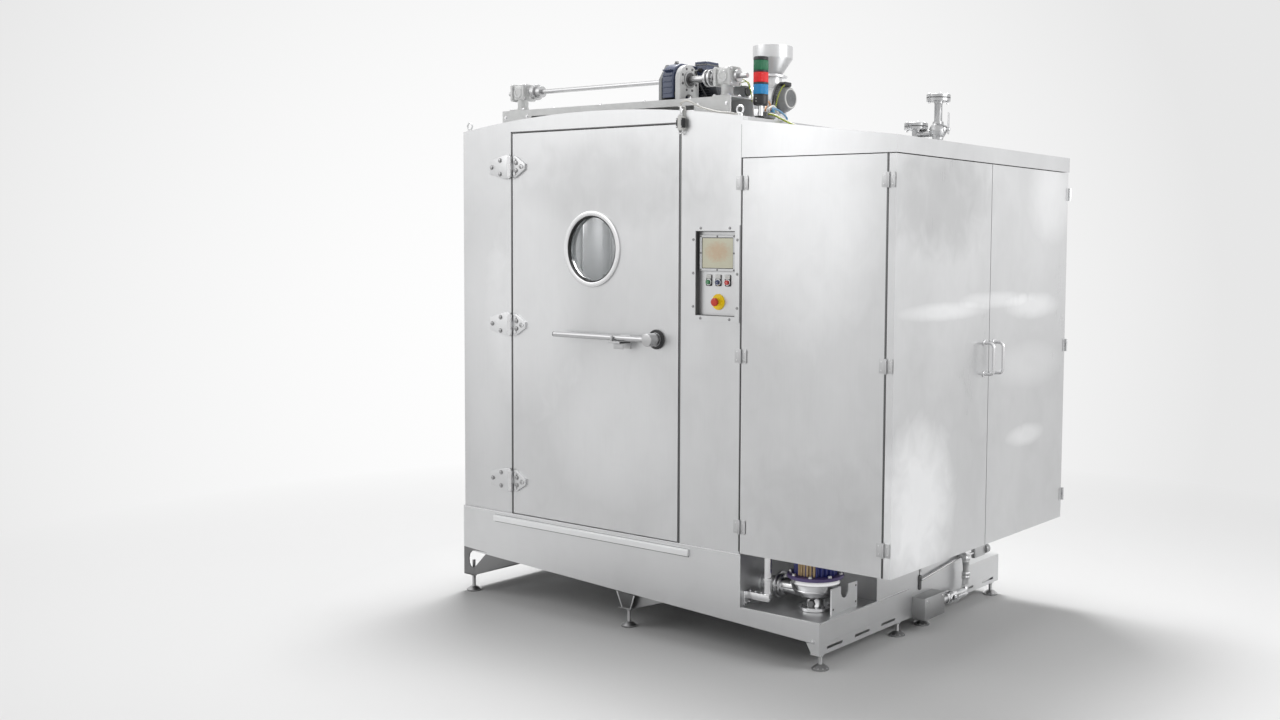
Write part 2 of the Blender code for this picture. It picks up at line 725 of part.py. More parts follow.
def build_sump_tank():
    """Sump with a bottom that falls to the right, and the pump's tray beside it."""
    left, front, back = -PLINTH_PROUD, -PLINTH_PROUD, CABIN_DEPTH
    shape = Shape().prism("Y", [
        (left, PLINTH_TOP), (left, sump_floor(left)),
        (BASE_WIDTH, sump_floor(BASE_WIDTH)), (BASE_WIDTH, PLINTH_TOP)], front, back)
    top = PLINTH_TOP + OVERRUN
    inner_left, inner_right = left + TANK_SHEET, PUMP_BAY_LEFT - TANK_SHEET
    wash_cavity = Shape().prism("Y", [
        (inner_left, top), (inner_left, sump_floor(inner_left) + TANK_SHEET),
        (inner_right, sump_floor(inner_right) + TANK_SHEET), (inner_right, top)],
        front + TANK_SHEET, back - TANK_SHEET)
    pump_bay = Shape().box(
        (PUMP_BAY_LEFT, front - OVERRUN, TRAY_Z),
        (BASE_WIDTH + OVERRUN, PUMP_BAY_DEPTH, top))
    rear_bay = Shape().box(
        (PUMP_BAY_LEFT, REAR_BAY_START, TRAY_Z),
        (BASE_WIDTH + OVERRUN, back + OVERRUN, top))
    side_tank = Shape().box(
        (PUMP_BAY_LEFT, PUMP_BAY_DEPTH + TANK_SHEET, TRAY_Z + TANK_SHEET),
        (BASE_WIDTH - TANK_SHEET, REAR_BAY_START - TANK_SHEET, top))
    under_tray = Shape().box(
        (PUMP_BAY_LEFT, front + TANK_SHEET, sump_floor(BASE_WIDTH) - OVERRUN),
        (BASE_WIDTH - TANK_SHEET, back - TANK_SHEET, TRAY_Z - TANK_SHEET))
    slot_top = PLINTH_TOP - SEAM_SLOT_TOP
    seam_slot = Shape().box(
        (BASE_WIDTH - 2 * TANK_SHEET, SEAM_SLOT_Y, slot_top - SEAM_SLOT_HEIGHT),
        (BASE_WIDTH + OVERRUN, SEAM_SLOT_Y + SEAM_SLOT_WIDTH, slot_top))
    ledge_top = PLINTH_TOP - LEDGE_TOP
    ledge = Shape().prism("X", [
        (front + TANK_SHEET / 2, ledge_top), (front - LEDGE_PROUD, ledge_top),
        (front - LEDGE_PROUD, ledge_top - LEDGE_HEIGHT),
        (front + TANK_SHEET / 2, ledge_top - LEDGE_HEIGHT)],
        LEDGE_LEFT, LEDGE_LEFT + LEDGE_LENGTH)
    piece("sump_tank", "brushed steel", shape, joins=[ledge],
          cuts=[wash_cavity, pump_bay, rear_bay, side_tank, under_tray, seam_slot],
          additions=[suction_pipe(), bracket_plate()])


def suction_pipe():
    """Return the flanged suction pipe that stands out of the tank towards the pump."""
    wall = PUMP_BAY_LEFT - WELD_OVERLAP
    flange = PUMP_BAY_LEFT + SUCTION_CLAMP_WIDTH / 2
    split = PUMP_BAY_LEFT + SUCTION_SPLIT - SUCTION_CLAMP_GAP / 2
    inside = SUCTION_RADIUS - PUMP_WALL / 2
    return Shape().turned("X", (PUMP_Y, SUCTION_Z), [
        (inside, wall), (SUCTION_CLAMP_RADIUS, wall), (SUCTION_CLAMP_RADIUS, flange),
        (SUCTION_RADIUS, flange), (SUCTION_RADIUS, split - SUCTION_CLAMP_WIDTH),
        (SUCTION_CLAMP_RADIUS, split - SUCTION_CLAMP_WIDTH), (SUCTION_CLAMP_RADIUS, split),
        (inside, split)], ROUND_SIDES, closed=True)


def bracket_plate():
    """Return the upright plate with a round-bottomed notch, welded on the pump's tray."""
    left, right = PUMP_PLATE_X, PUMP_PLATE_X + PUMP_PLATE_THICKNESS
    front, back = PUMP_PLATE_FRONT, PUMP_PLATE_FRONT + PUMP_PLATE_LENGTH
    low, high = TRAY_Z - WELD_OVERLAP, TRAY_Z + PUMP_PLATE_HEIGHT
    middle = (front + back) / 2
    radius = PUMP_PLATE_HOLE_RADIUS
    centre = TRAY_Z + PUMP_PLATE_HOLE_SILL + radius
    notch = [(middle - radius * math.cos(a), centre - radius * math.sin(a))
             for a in (math.pi * k / 8 for k in range(9))]
    return Shape().prism("X", [
        (front, high), (middle - radius, high)] + notch + [
        (middle + radius, high), (back, high), (back, low), (front, low)], left, right)


def build_floor_grate():
    """Slotted floor that the trolley stands on, over the sump."""
    low_x = -PLINTH_PROUD + TANK_SHEET + SEAT_GAP
    high_x = PUMP_BAY_LEFT - TANK_SHEET - SEAT_GAP
    low_y = -PLINTH_PROUD + TANK_SHEET + SEAT_GAP
    high_y = CABIN_DEPTH - TANK_SHEET - SEAT_GAP
    top = PLINTH_TOP - GRATE_TOP
    shape = Shape().box((low_x, low_y, top - GRATE_THICKNESS), (high_x, high_y, top))
    slots = Shape()
    pitch = (high_x - low_x - 2 * GRATE_RIM + GRATE_BAR) / GRATE_SLOTS
    for k in range(GRATE_SLOTS):
        start = low_x + GRATE_RIM + pitch * k
        slots.box((start, low_y + GRATE_RIM, top - GRATE_THICKNESS - OVERRUN),
                  (start + pitch - GRATE_BAR, high_y - GRATE_RIM, top + OVERRUN))
    piece("floor_grate", "brushed steel", shape, cuts=[slots])


def add_foot(shape, place, under):
    """Add a levelling foot under a plate: disc, cone, threaded stem and lock nut."""
    top = under + WELD_OVERLAP
    nut = under - FOOT_NUT_HEIGHT
    cone = FOOT_DISC_HEIGHT + FOOT_CONE_HEIGHT
    shape.turned("Z", place, [
        (0, 0), (FOOT_DISC_RADIUS, 0), (FOOT_DISC_RADIUS, FOOT_DISC_HEIGHT),
        (FOOT_NUT_RADIUS, cone), (FOOT_STEM_RADIUS, cone), (FOOT_STEM_RADIUS, nut),
        (FOOT_NUT_RADIUS, nut), (FOOT_NUT_RADIUS, top), (0, top)], SMALL_SIDES)


def build_leg_frame(name, x, left_reach, right_reach, hole):
    """Foot bar from front to back with a gusset and a levelling foot at each end."""
    left, right = x - LEG_FOOT_WIDTH / 2, x + LEG_FOOT_WIDTH / 2
    outer, inner = left - left_reach, right + right_reach
    low_y = -PLINTH_PROUD
    bar = Shape().box((left, low_y, LEG_BOTTOM), (right, CABIN_DEPTH, LEG_BOTTOM + LEG_PLATE))
    gussets, feet, holes = Shape(), Shape(), Shape()
    for y, foot_y in ((low_y, LEG_FOOT_INSET),
                      (CABIN_DEPTH - LEG_PLATE, CABIN_DEPTH - LEG_FOOT_INSET)):
        gussets.prism("Y", [
            (left, LEG_BOTTOM + LEG_PLATE / 2), (right, LEG_BOTTOM + LEG_PLATE / 2),
            (inner, sump_floor(inner) - SEAT_GAP), (outer, sump_floor(outer) - SEAT_GAP)],
            y, y + LEG_PLATE)
        add_foot(feet, (x, foot_y), LEG_BOTTOM)
        holes.rod("Y", (LEG_HOLE_INSET, LEG_BOTTOM + LEG_HOLE_HEIGHT),
                  y - OVERRUN, y + OVERRUN, LEG_HOLE_RADIUS, SMALL_SIDES)
    piece(name, "brushed steel", bar, joins=[gussets, feet], cuts=[holes] if hole else ())


def build_legs():
    """Left and middle leg frames, and the slotted foot rail on the right."""
    build_leg_frame("left_leg_frame", -PLINTH_PROUD + LEG_FOOT_WIDTH / 2, 0,
                    CORNER_GUSSET_LENGTH - LEG_FOOT_WIDTH, True)
    build_leg_frame("middle_leg_frame", MIDDLE_LEG_X, MIDDLE_GUSSET_LEFT_REACH,
                    MIDDLE_GUSSET_RIGHT_REACH, False)
    right, low_y = BASE_WIDTH, -PLINTH_PROUD
    rail_top = sump_floor(right) - SEAT_GAP
    rail = Shape().prism("Y", [
        (right - LEG_PLATE, rail_top), (right - LEG_PLATE, RAIL_BOTTOM + LEG_PLATE),
        (right - RAIL_WIDTH, RAIL_BOTTOM + LEG_PLATE), (right - RAIL_WIDTH, RAIL_BOTTOM),
        (right, RAIL_BOTTOM), (right, rail_top)], low_y, CABIN_DEPTH)
    ends, feet, slots = Shape(), Shape(), Shape()
    end_left = right - RAIL_END_WIDTH
    end_right = right - LEG_PLATE / 2
    for y in (low_y + WELD_OVERLAP, CABIN_DEPTH - LEG_PLATE - WELD_OVERLAP):
        ends.prism("Y", [
            (end_left, sump_floor(right) - SEAT_GAP), (end_right, rail_top),
            (end_right, RAIL_BOTTOM + LEG_PLATE / 2),
            (right - RAIL_WIDTH + LEG_PLATE, RAIL_BOTTOM + LEG_PLATE / 2)], y, y + LEG_PLATE)
    for y in (FOOT_INSET, SIDE_FOOT_FRONT_Y, SIDE_FOOT_BACK_Y, CABIN_DEPTH - FOOT_INSET):
        add_foot(feet, (right - RAIL_WIDTH / 2, y), RAIL_BOTTOM)
    middle = (rail_top + RAIL_BOTTOM) / 2
    for k in range(RAIL_SLOTS):
        for start in (RAIL_SLOT_FIRST + RAIL_SLOT_PITCH * k,
                      CABIN_DEPTH - RAIL_SLOT_FIRST - RAIL_SLOT_PITCH * k - RAIL_SLOT_LENGTH):
            slots.box((right - 2 * LEG_PLATE, start, middle - RAIL_SLOT_HEIGHT / 2),
                      (right + OVERRUN, start + RAIL_SLOT_LENGTH, middle + RAIL_SLOT_HEIGHT / 2))
    piece("right_foot_rail", "brushed steel", rail, joins=[ends, feet], cuts=[slots])


def lifting_eyes(y):
    """Return the collars and the rings of the two lifting eyes over a wall at depth y."""
    collars, rings = Shape(), Shape()
    for x in (EYE_INSET, CHAMBER_WIDTH - EYE_INSET):
        outward = math.copysign(EYE_COLLAR_RADIUS, x - CHAMBER_MIDDLE)
        base = roof_height(x + outward) - WELD_OVERLAP
        top = roof_height(x) + EYE_COLLAR_HEIGHT
        collars.rod("Z", (x, y), base, top, EYE_COLLAR_RADIUS, SMALL_SIDES)
        section = [(EYE_RING_RADIUS + EYE_WIRE_RADIUS * math.cos(a),
                    y + EYE_WIRE_RADIUS * math.sin(a))
                   for a in (math.tau * k / BOLT_SIDES for k in range(BOLT_SIDES))]
        rings.turned("Y", (x, top + EYE_RING_RADIUS), section, SMALL_SIDES, closed=True)
    return [collars, rings]


def build_chamber():
    """Left wall, back wall, partition, front with the door opening, and arched roof."""
    bottom = PLINTH_TOP + SEAT_GAP
    front, back = PANEL_THICKNESS + SEAT_GAP, CABIN_DEPTH - PANEL_THICKNESS
    wall_top = PLINTH_TOP + ROOF_EDGE_HEIGHT - ROOF_THICKNESS - SEAT_GAP
    walls = Shape()
    for x in (0, CHAMBER_WIDTH - PANEL_THICKNESS):
        walls.box((x, front, bottom), (x + PANEL_THICKNESS, back + WELD_OVERLAP, wall_top))
    rear = Shape().prism("Y", [(0, bottom)] + roof_curve(0, CHAMBER_WIDTH, ARC_STEPS)
                         + [(CHAMBER_WIDTH, bottom)], back, CABIN_DEPTH)
    piece("chamber_walls", "brushed steel", rear,
          joins=[walls] + lifting_eyes(CABIN_DEPTH - PANEL_THICKNESS / 2))

    door_top = PLINTH_TOP + DOOR_HEIGHT
    face = Shape().prism("Y", [(0, bottom)] + roof_curve(0, CHAMBER_WIDTH, ARC_STEPS) + [
        (CHAMBER_WIDTH, bottom), (DOOR_RIGHT, bottom), (DOOR_RIGHT, door_top),
        (DOOR_LEFT, door_top), (DOOR_LEFT, bottom)], 0, PANEL_THICKNESS)
    left, low = PANEL_LEFT + PANEL_RIM, PLINTH_TOP + PANEL_BOTTOM + PANEL_RIM
    pocket = Shape().box(
        (left, -OVERRUN, low),
        (left + PANEL_WIDTH - 2 * PANEL_RIM, PANEL_RECESS, low + PANEL_HEIGHT - 2 * PANEL_RIM))
    jamb_leaf = [Shape(), Shape(), Shape()]
    add_butt_leaf(jamb_leaf, (SERVICE_AXIS_X, -BUTT_AXIS_PROUD), (-1, 0), (0, -1), False)
    piece("chamber_front", "brushed steel", face,
          joins=lifting_eyes(PANEL_THICKNESS / 2) + jamb_leaf, cuts=[pocket])

    upper = roof_curve(0, CHAMBER_WIDTH, ARC_STEPS)
    lower = roof_curve(CHAMBER_WIDTH, 0, ARC_STEPS, -ROOF_THICKNESS)
    roof = Shape().prism("Y", upper + lower, front, back - SEAT_GAP)
    crown = PLINTH_TOP + ROOF_EDGE_HEIGHT + ROOF_RISE
    holes = Shape()
    for x in (COLUMN_LEFT_X, COLUMN_RIGHT_X):
        holes.rod("Z", (x, COLUMN_Y), crown - 2 * ROOF_RISE - ROOF_THICKNESS, crown + OVERRUN,
                  running_bore(COLUMN_SHAFT_RADIUS), SMALL_SIDES)
    holes.rod("Z", (FAN_X, FAN_Y), crown - 2 * ROOF_RISE - ROOF_THICKNESS, crown + OVERRUN,
              FAN_NECK_RADIUS - FAN_CASING_WALL)
    piece("chamber_roof", "brushed steel", roof, cuts=[holes])


def build_wash_door():
    """Wash door with its seal and round window."""
    pivot = (DOOR_LEFT, -HINGE_AXIS_PROUD, 0)
    left, right = DOOR_LEFT + DOOR_GAP, DOOR_RIGHT - DOOR_GAP
    low, high = PLINTH_TOP + DOOR_GAP, PLINTH_TOP + DOOR_HEIGHT - DOOR_GAP
    centre = (WINDOW_X, PLINTH_TOP + WINDOW_Z)
    leaf = Shape().box((left, 0, low), (right, DOOR_THICKNESS, high))
    holes = Shape().rod("Y", centre, -OVERRUN, DOOR_THICKNESS + OVERRUN, WINDOW_RADIUS, FINE_SIDES)
    lever = (LEVER_X, PLINTH_TOP + LEVER_Z)
    holes.rod("Y", lever, -OVERRUN, DOOR_THICKNESS + OVERRUN,
              running_bore(LEVER_SHAFT_RADIUS), SMALL_SIDES)
    boss = Shape().rod("Y", lever, -LEVER_BOSS_THICKNESS, WELD_OVERLAP, LEVER_BOSS_RADIUS)
    knuckles, plates, bolts, pins = Shape(), Shape(), Shape(), Shape()
    for height in HINGE_HEIGHTS:
        z = PLINTH_TOP + height
        low_z, high_z = z - HINGE_KNUCKLE_LENGTH / 2, z + HINGE_KNUCKLE_LENGTH / 2
        knuckles.rod("Z", pivot[:2], low_z, high_z, HINGE_KNUCKLE_RADIUS, SMALL_SIDES)
        pins.rod("Z", pivot[:2], low_z - OVERRUN, high_z + OVERRUN,
                 running_bore(HINGE_PIN_RADIUS), SMALL_SIDES)
        add_hinge_leaf(plates, bolts, z, 1, HINGE_DOOR_LEAF_LENGTH,
                       HINGE_DOOR_LEAF_HEIGHT, HINGE_DOOR_LEAF_TIP, WELD_OVERLAP)
    piece("wash_door", "brushed steel", leaf, joins=[boss, knuckles, plates, bolts],
          cuts=[holes, pins], pivot=pivot)

    seat = DOOR_THICKNESS + SEAT_GAP
    outer = Shape().box((left + SEAL_INSET, seat, low + SEAL_INSET),
                        (right - SEAL_INSET, seat + SEAL_THICKNESS, high - SEAL_INSET))
    margin = SEAL_INSET + SEAL_WIDTH
    inner = Shape().box((left + margin, seat - OVERRUN, low + margin),
                        (right - margin, seat + OVERRUN, high - margin))
    piece("door_seal", "black rubber", outer, cuts=[inner], pivot=pivot)

    inside, outside = WINDOW_RADIUS - WINDOW_RING_OVERLAP, WINDOW_RING_RADIUS
    sleeve, proud = WINDOW_RADIUS - SEAT_GAP, WINDOW_RING_PROUD
    rings = Shape().turned("Y", centre, [
        (inside, -proud / 2), (inside + WINDOW_RING_OVERLAP, -proud),
        (outside - WINDOW_RING_OVERLAP, -proud), (outside, -proud / 2), (outside, -SEAT_GAP),
        (sleeve, -SEAT_GAP), (sleeve, seat), (outside, seat), (outside, seat + proud),
        (inside, seat + proud)], FINE_SIDES, closed=True)
    piece("window_rings", "polished steel", rings, pivot=pivot)

    middle = DOOR_THICKNESS / 2
    glass = Shape().rod("Y", centre, middle - GLASS_THICKNESS / 2, middle + GLASS_THICKNESS / 2,
                        inside - SEAT_GAP, FINE_SIDES)
    piece("window_glass", "dark glass", glass, pivot=pivot)


def build_door_hinges():
    """Fixed halves of the three heavy strap hinges, each with its pin."""
    axis = (DOOR_LEFT, -HINGE_AXIS_PROUD)
    half = HINGE_KNUCKLE_LENGTH / 2
    for name, height in zip(("upper_hinge", "middle_hinge", "lower_hinge"), HINGE_HEIGHTS):
        z = PLINTH_TOP + height
        plates, bolts = Shape(), Shape()
        near, far = half + SEAT_GAP, half + SEAT_GAP + HINGE_KNUCKLE_LENGTH
        pin, knuckle, reach = HINGE_PIN_RADIUS, HINGE_KNUCKLE_RADIUS, far + PIN_HEAD_HEIGHT
        barrel = Shape().turned("Z", axis, [
            (0, z - reach), (pin, z - reach), (pin, z - far), (knuckle, z - far),
            (knuckle, z - near), (pin, z - near), (pin, z + near), (knuckle, z + near),
            (knuckle, z + far), (pin, z + far), (pin, z + reach), (0, z + reach)],
            SMALL_SIDES)
        add_hinge_leaf(plates, bolts, z, -1, HINGE_FRAME_LEAF_LENGTH,
                       HINGE_FRAME_LEAF_HEIGHT, HINGE_FRAME_LEAF_TIP, -SEAT_GAP)
        piece(name, "polished steel", barrel, joins=[plates, bolts])


def add_hinge_leaf(plates, bolts, z, side, length, height, tip_height, face):
    """Add a tapered leaf on one side of the axis, cut clear of the other's knuckles."""
    outer = -SEAT_GAP - HINGE_LEAF_THICKNESS
    clear = HINGE_KNUCKLE_RADIUS + HINGE_KNUCKLE_CLEARANCE
    root = DOOR_LEFT + side * HINGE_KNUCKLE_CLEARANCE
    shoulder, tip = DOOR_LEFT + side * clear, DOOR_LEFT + side * (clear + length)
    waist = DOOR_LEFT + side * (clear + length * HINGE_SHOULDER_SHARE)
    edge = HINGE_KNUCKLE_LENGTH / 2 - SEAT_GAP
    tall, low = height / 2, tip_height / 2
    if side > 0:
        outline = [(root, edge), (shoulder, edge), (shoulder, tall), (waist, tall), (tip, low),
                   (tip, -low), (waist, -tall), (shoulder, -tall), (shoulder, -edge),
                   (root, -edge)]
    else:
        inner = edge + HINGE_KNUCKLE_CLEARANCE
        outer_edge = edge + HINGE_KNUCKLE_LENGTH
        outline = [(shoulder, inner), (root, inner), (root, outer_edge), (shoulder, outer_edge),
                   (shoulder, tall), (waist, tall), (tip, low), (tip, -low), (waist, -tall),
                   (shoulder, -tall), (shoulder, -outer_edge), (root, -outer_edge),
                   (root, -inner), (shoulder, -inner)]
    plates.prism("Y", [(x, z + up) for x, up in outline], outer, face)
    bolt_x = shoulder + side * 2 * HINGE_BOLT_RADIUS
    tip_x = tip - side * 2 * HINGE_BOLT_RADIUS
    rise = tall - 2 * HINGE_BOLT_RADIUS
    for x, up in ((bolt_x, rise), (bolt_x, -rise), (tip_x, 0)):
        bolts.rod("Y", (x, z + up), outer - HINGE_BOLT_HEIGHT, outer + WELD_OVERLAP,
                  HINGE_BOLT_RADIUS, BOLT_SIDES)


def build_door_lever():
    """Lever with its shaft and inner cam, and the catch fixed to the door."""
    door_pivot = (DOOR_LEFT, -HINGE_AXIS_PROUD, 0)
    z = PLINTH_TOP + LEVER_Z
    centre = (LEVER_X, z)
    hub_back = -LEVER_BOSS_THICKNESS - RUNNING_GAP
    hub_front = hub_back - LEVER_HUB_LENGTH
    cam_front = DOOR_THICKNESS + RUNNING_GAP
    cam_back = cam_front + LEVER_CAM_THICKNESS
    lever = Shape().turned("Y", centre, [
        (0, cam_back), (LEVER_SHAFT_RADIUS, cam_back), (LEVER_SHAFT_RADIUS, hub_back),
        (LEVER_HUB_RADIUS, hub_back), (LEVER_HUB_RADIUS, hub_front), (0, hub_front)],
        SMALL_SIDES)
    bar = Shape().rod("X", (-LEVER_BAR_PROUD, z), LEVER_X - LEVER_BAR_LENGTH, LEVER_X,
                      LEVER_BAR_RADIUS, SMALL_SIDES)
    cam = Shape().box((LEVER_X, cam_front, z - LEVER_CAM_WIDTH / 2),
                      (LEVER_X + LEVER_CAM_LENGTH, cam_back, z + LEVER_CAM_WIDTH / 2))
    piece("door_lever", "polished steel", lever, joins=[bar, cam], pivot=(LEVER_X, 0, z))

    plate = -SEAT_GAP - CATCH_PLATE
    under = z - LEVER_BAR_RADIUS - SEAT_GAP
    lug_back = -LEVER_BAR_PROUD - LEVER_BAR_RADIUS - CATCH_CLEARANCE
    lug_front = lug_back - CATCH_WALL
    catch = Shape().prism("X", [
        (-SEAT_GAP, z - CATCH_PLATE_DROP), (-SEAT_GAP, z + CATCH_LUG_RISE),
        (plate, z + CATCH_LUG_RISE), (plate, under), (lug_back, under),
        (lug_back, z + CATCH_LUG_RISE), (lug_front, z + CATCH_LUG_RISE),
        (lug_front, under - CATCH_WALL), (plate, under - CATCH_WALL),
        (plate, z - CATCH_PLATE_DROP)], CATCH_X, CATCH_X + CATCH_WIDTH)
    piece("lever_catch", "brushed steel", catch, pivot=door_pivot)


def build_interlock_switch():
    """Door interlock switch on its bracket at the frame's top right corner."""
    low = PLINTH_TOP + SWITCH_Z
    right, high = SWITCH_X + SWITCH_WIDTH, low + SWITCH_HEIGHT
    bracket = Shape().box(
        (SWITCH_X, -SEAT_GAP - SWITCH_BRACKET, low + SWITCH_BRACKET),
        (right, -SEAT_GAP, high + SWITCH_BRACKET_RISE))
    front = -SEAT_GAP - SWITCH_BRACKET / 2
    body = Shape().box((SWITCH_X - SWITCH_BRACKET, front - SWITCH_PROUD, low),
                       (right + SWITCH_BRACKET, front, high))
    stud = Shape().rod("Z", ((SWITCH_X + right) / 2, front - SWITCH_PROUD / 2),
                       high - WELD_OVERLAP, high + SWITCH_BRACKET_RISE, SWITCH_STUD_RADIUS,
                       SMALL_SIDES)
    piece("interlock_switch", "black plastic", bracket, joins=[body, stud])


def build_drive_beam():
    """Folded channel across the roof that carries the spray drive."""
    left, right = BEAM_LEFT, BEAM_LEFT + BEAM_LENGTH
    front, back = COLUMN_Y - BEAM_WIDTH / 2, COLUMN_Y + BEAM_WIDTH / 2
    pad_end, box_start = left + BEAM_LEFT_PAD, right - BEAM_RIGHT_PAD
    bar_bottom = BEAM_TOP_Z - BEAM_BAR_HEIGHT
    outline = [(left, BEAM_TOP_Z)]
    outline += roof_curve(left, pad_end, 3, RUNNING_GAP)
    outline += [(pad_end, bar_bottom), (box_start, bar_bottom)]
    outline += roof_curve(box_start, right, 3, RUNNING_GAP)
    outline += [(right, BEAM_TOP_Z)]
    beam = Shape().prism("Y", outline, front, back)
    inside = Shape().box((left + BEAM_SHEET, front + BEAM_SHEET, PLINTH_TOP),
                         (right + OVERRUN, back - BEAM_SHEET, BEAM_TOP_Z - BEAM_SHEET))
    holes = Shape()
    for x in (COLUMN_LEFT_X, COLUMN_RIGHT_X):
        holes.rod("Z", (x, COLUMN_Y), BEAM_TOP_Z - 2 * BEAM_SHEET, BEAM_TOP_Z + OVERRUN,
                  running_bore(COLUMN_SHAFT_RADIUS), SMALL_SIDES)
    piece("drive_beam", "white paint", beam, cuts=[inside, holes])


def build_gearbox(name, x):
    """Right-angle gearbox: post, housing with a gear cavity, and two square flanges."""
    half = GEARBOX_SIZE / 2
    bottom = BEAM_TOP_Z + SEAT_GAP
    foot_top = bottom + GEARBOX_FOOT_THICKNESS
    post = Shape().rod("Z", (x, COLUMN_Y), bottom + GEARBOX_FOOT_THICKNESS / 2,
                       SHAFT_Z - half / 2, GEARBOX_POST_RADIUS)
    foot = GEARBOX_FOOT_SIZE / 2
    foot_plate = Shape().box((x - foot, COLUMN_Y - foot, bottom),
                             (x + foot, COLUMN_Y + foot, foot_top))
    housing = Shape().box((x - half, COLUMN_Y - half, SHAFT_Z - half),
                          (x + half, COLUMN_Y + half, SHAFT_Z + half))
    flanges = Shape()
    wide = GEARBOX_FLANGE_SIZE / 2
    for side in (-1, 1):
        face, end = x + side * (half - WELD_OVERLAP), x + side * (half + GEARBOX_FLANGE_THICKNESS)
        flanges.box((min(face, end), COLUMN_Y - wide, SHAFT_Z - wide),
                    (max(face, end), COLUMN_Y + wide, SHAFT_Z + wide))
    reach, bore = half + GEARBOX_FLANGE_THICKNESS + OVERRUN, running_bore(DRIVE_SHAFT_RADIUS)
    room = GEARBOX_CAVITY_RADIUS
    hollow = Shape().turned("X", (COLUMN_Y, SHAFT_Z), [
        (0, x - reach), (bore, x - reach), (bore, x - room), (room, x - room),
        (room, x + room), (bore, x + room), (bore, x + reach), (0, x + reach)], ROUND_SIDES)
    column_bore = Shape().rod("Z", (x, COLUMN_Y), bottom - OVERRUN,
                              SHAFT_Z - BEVEL_INNER / 2,
                              running_bore(COLUMN_SHAFT_RADIUS), SMALL_SIDES)
    piece(name, "white paint", foot_plate, joins=[post, housing, flanges],
          cuts=[hollow, column_bore])


def build_drive_shaft():
    """Cross shaft with its couplings and the two driving bevel gears."""
    overhang = GEARBOX_SIZE / 2 + GEARBOX_FLANGE_THICKNESS
    start = COLUMN_LEFT_X - overhang - SHAFT_STUB
    profile = [(0, start), (DRIVE_SHAFT_RADIUS, start)]

    def step(x, radius):
        """Change the shaft's radius at x."""
        profile.append((profile[-1][0], x))
        profile.append((radius, x))

    def bevel(x):
        """Add a neck at a gearbox's middle and a bevel gear on its right side."""
        step(x - BEVEL_OUTER, DRIVE_NECK_RADIUS)
        profile.append((DRIVE_NECK_RADIUS, x + BEVEL_INNER))
        profile.append((BEVEL_INNER - BEVEL_CLEARANCE, x + BEVEL_INNER))
        profile.append((BEVEL_OUTER - BEVEL_CLEARANCE, x + BEVEL_OUTER))
        profile.append((DRIVE_SHAFT_RADIUS, x + BEVEL_OUTER))

    bevel(COLUMN_LEFT_X)
    step(LEFT_COUPLING_X - COUPLING_PLATE, COUPLING_HUB_RADIUS)
    step(LEFT_COUPLING_X, COUPLING_RADIUS)
    step(LEFT_COUPLING_X + 2 * COUPLING_PLATE, COUPLING_HUB_RADIUS)
    step(LEFT_COUPLING_X + 5 * COUPLING_PLATE, DRIVE_SHAFT_RADIUS)
    step(REDUCER_LEFT - TORQUE_PLATE - COUPLING_PLATE, OUTPUT_SHAFT_RADIUS)
    step(RIGHT_COUPLING_X - COUPLING_PLATE, COUPLING_HUB_RADIUS)
    step(RIGHT_COUPLING_X, COUPLING_RADIUS)
    step(RIGHT_COUPLING_X + COUPLING_PLATE, COUPLING_HUB_RADIUS)
    step(RIGHT_COUPLING_X + 2 * COUPLING_PLATE, COUPLING_RADIUS)
    step(RIGHT_COUPLING_X + 3 * COUPLING_PLATE, COUPLING_HUB_RADIUS)
    step(RIGHT_COUPLING_X + 4 * COUPLING_PLATE, DRIVE_SHAFT_RADIUS)
    bevel(COLUMN_RIGHT_X)
    end = COLUMN_RIGHT_X + overhang + COUPLING_PLATE
    step(end, COUPLING_HUB_RADIUS)
    step(end + COUPLING_PLATE, DRIVE_SHAFT_RADIUS)
    step(end + SHAFT_STUB, 0)
    shape = Shape().turned("X", (COLUMN_Y, SHAFT_Z), profile, SMALL_SIDES)
    piece("drive_shaft", "polished steel", shape, pivot=(0, COLUMN_Y, SHAFT_Z))


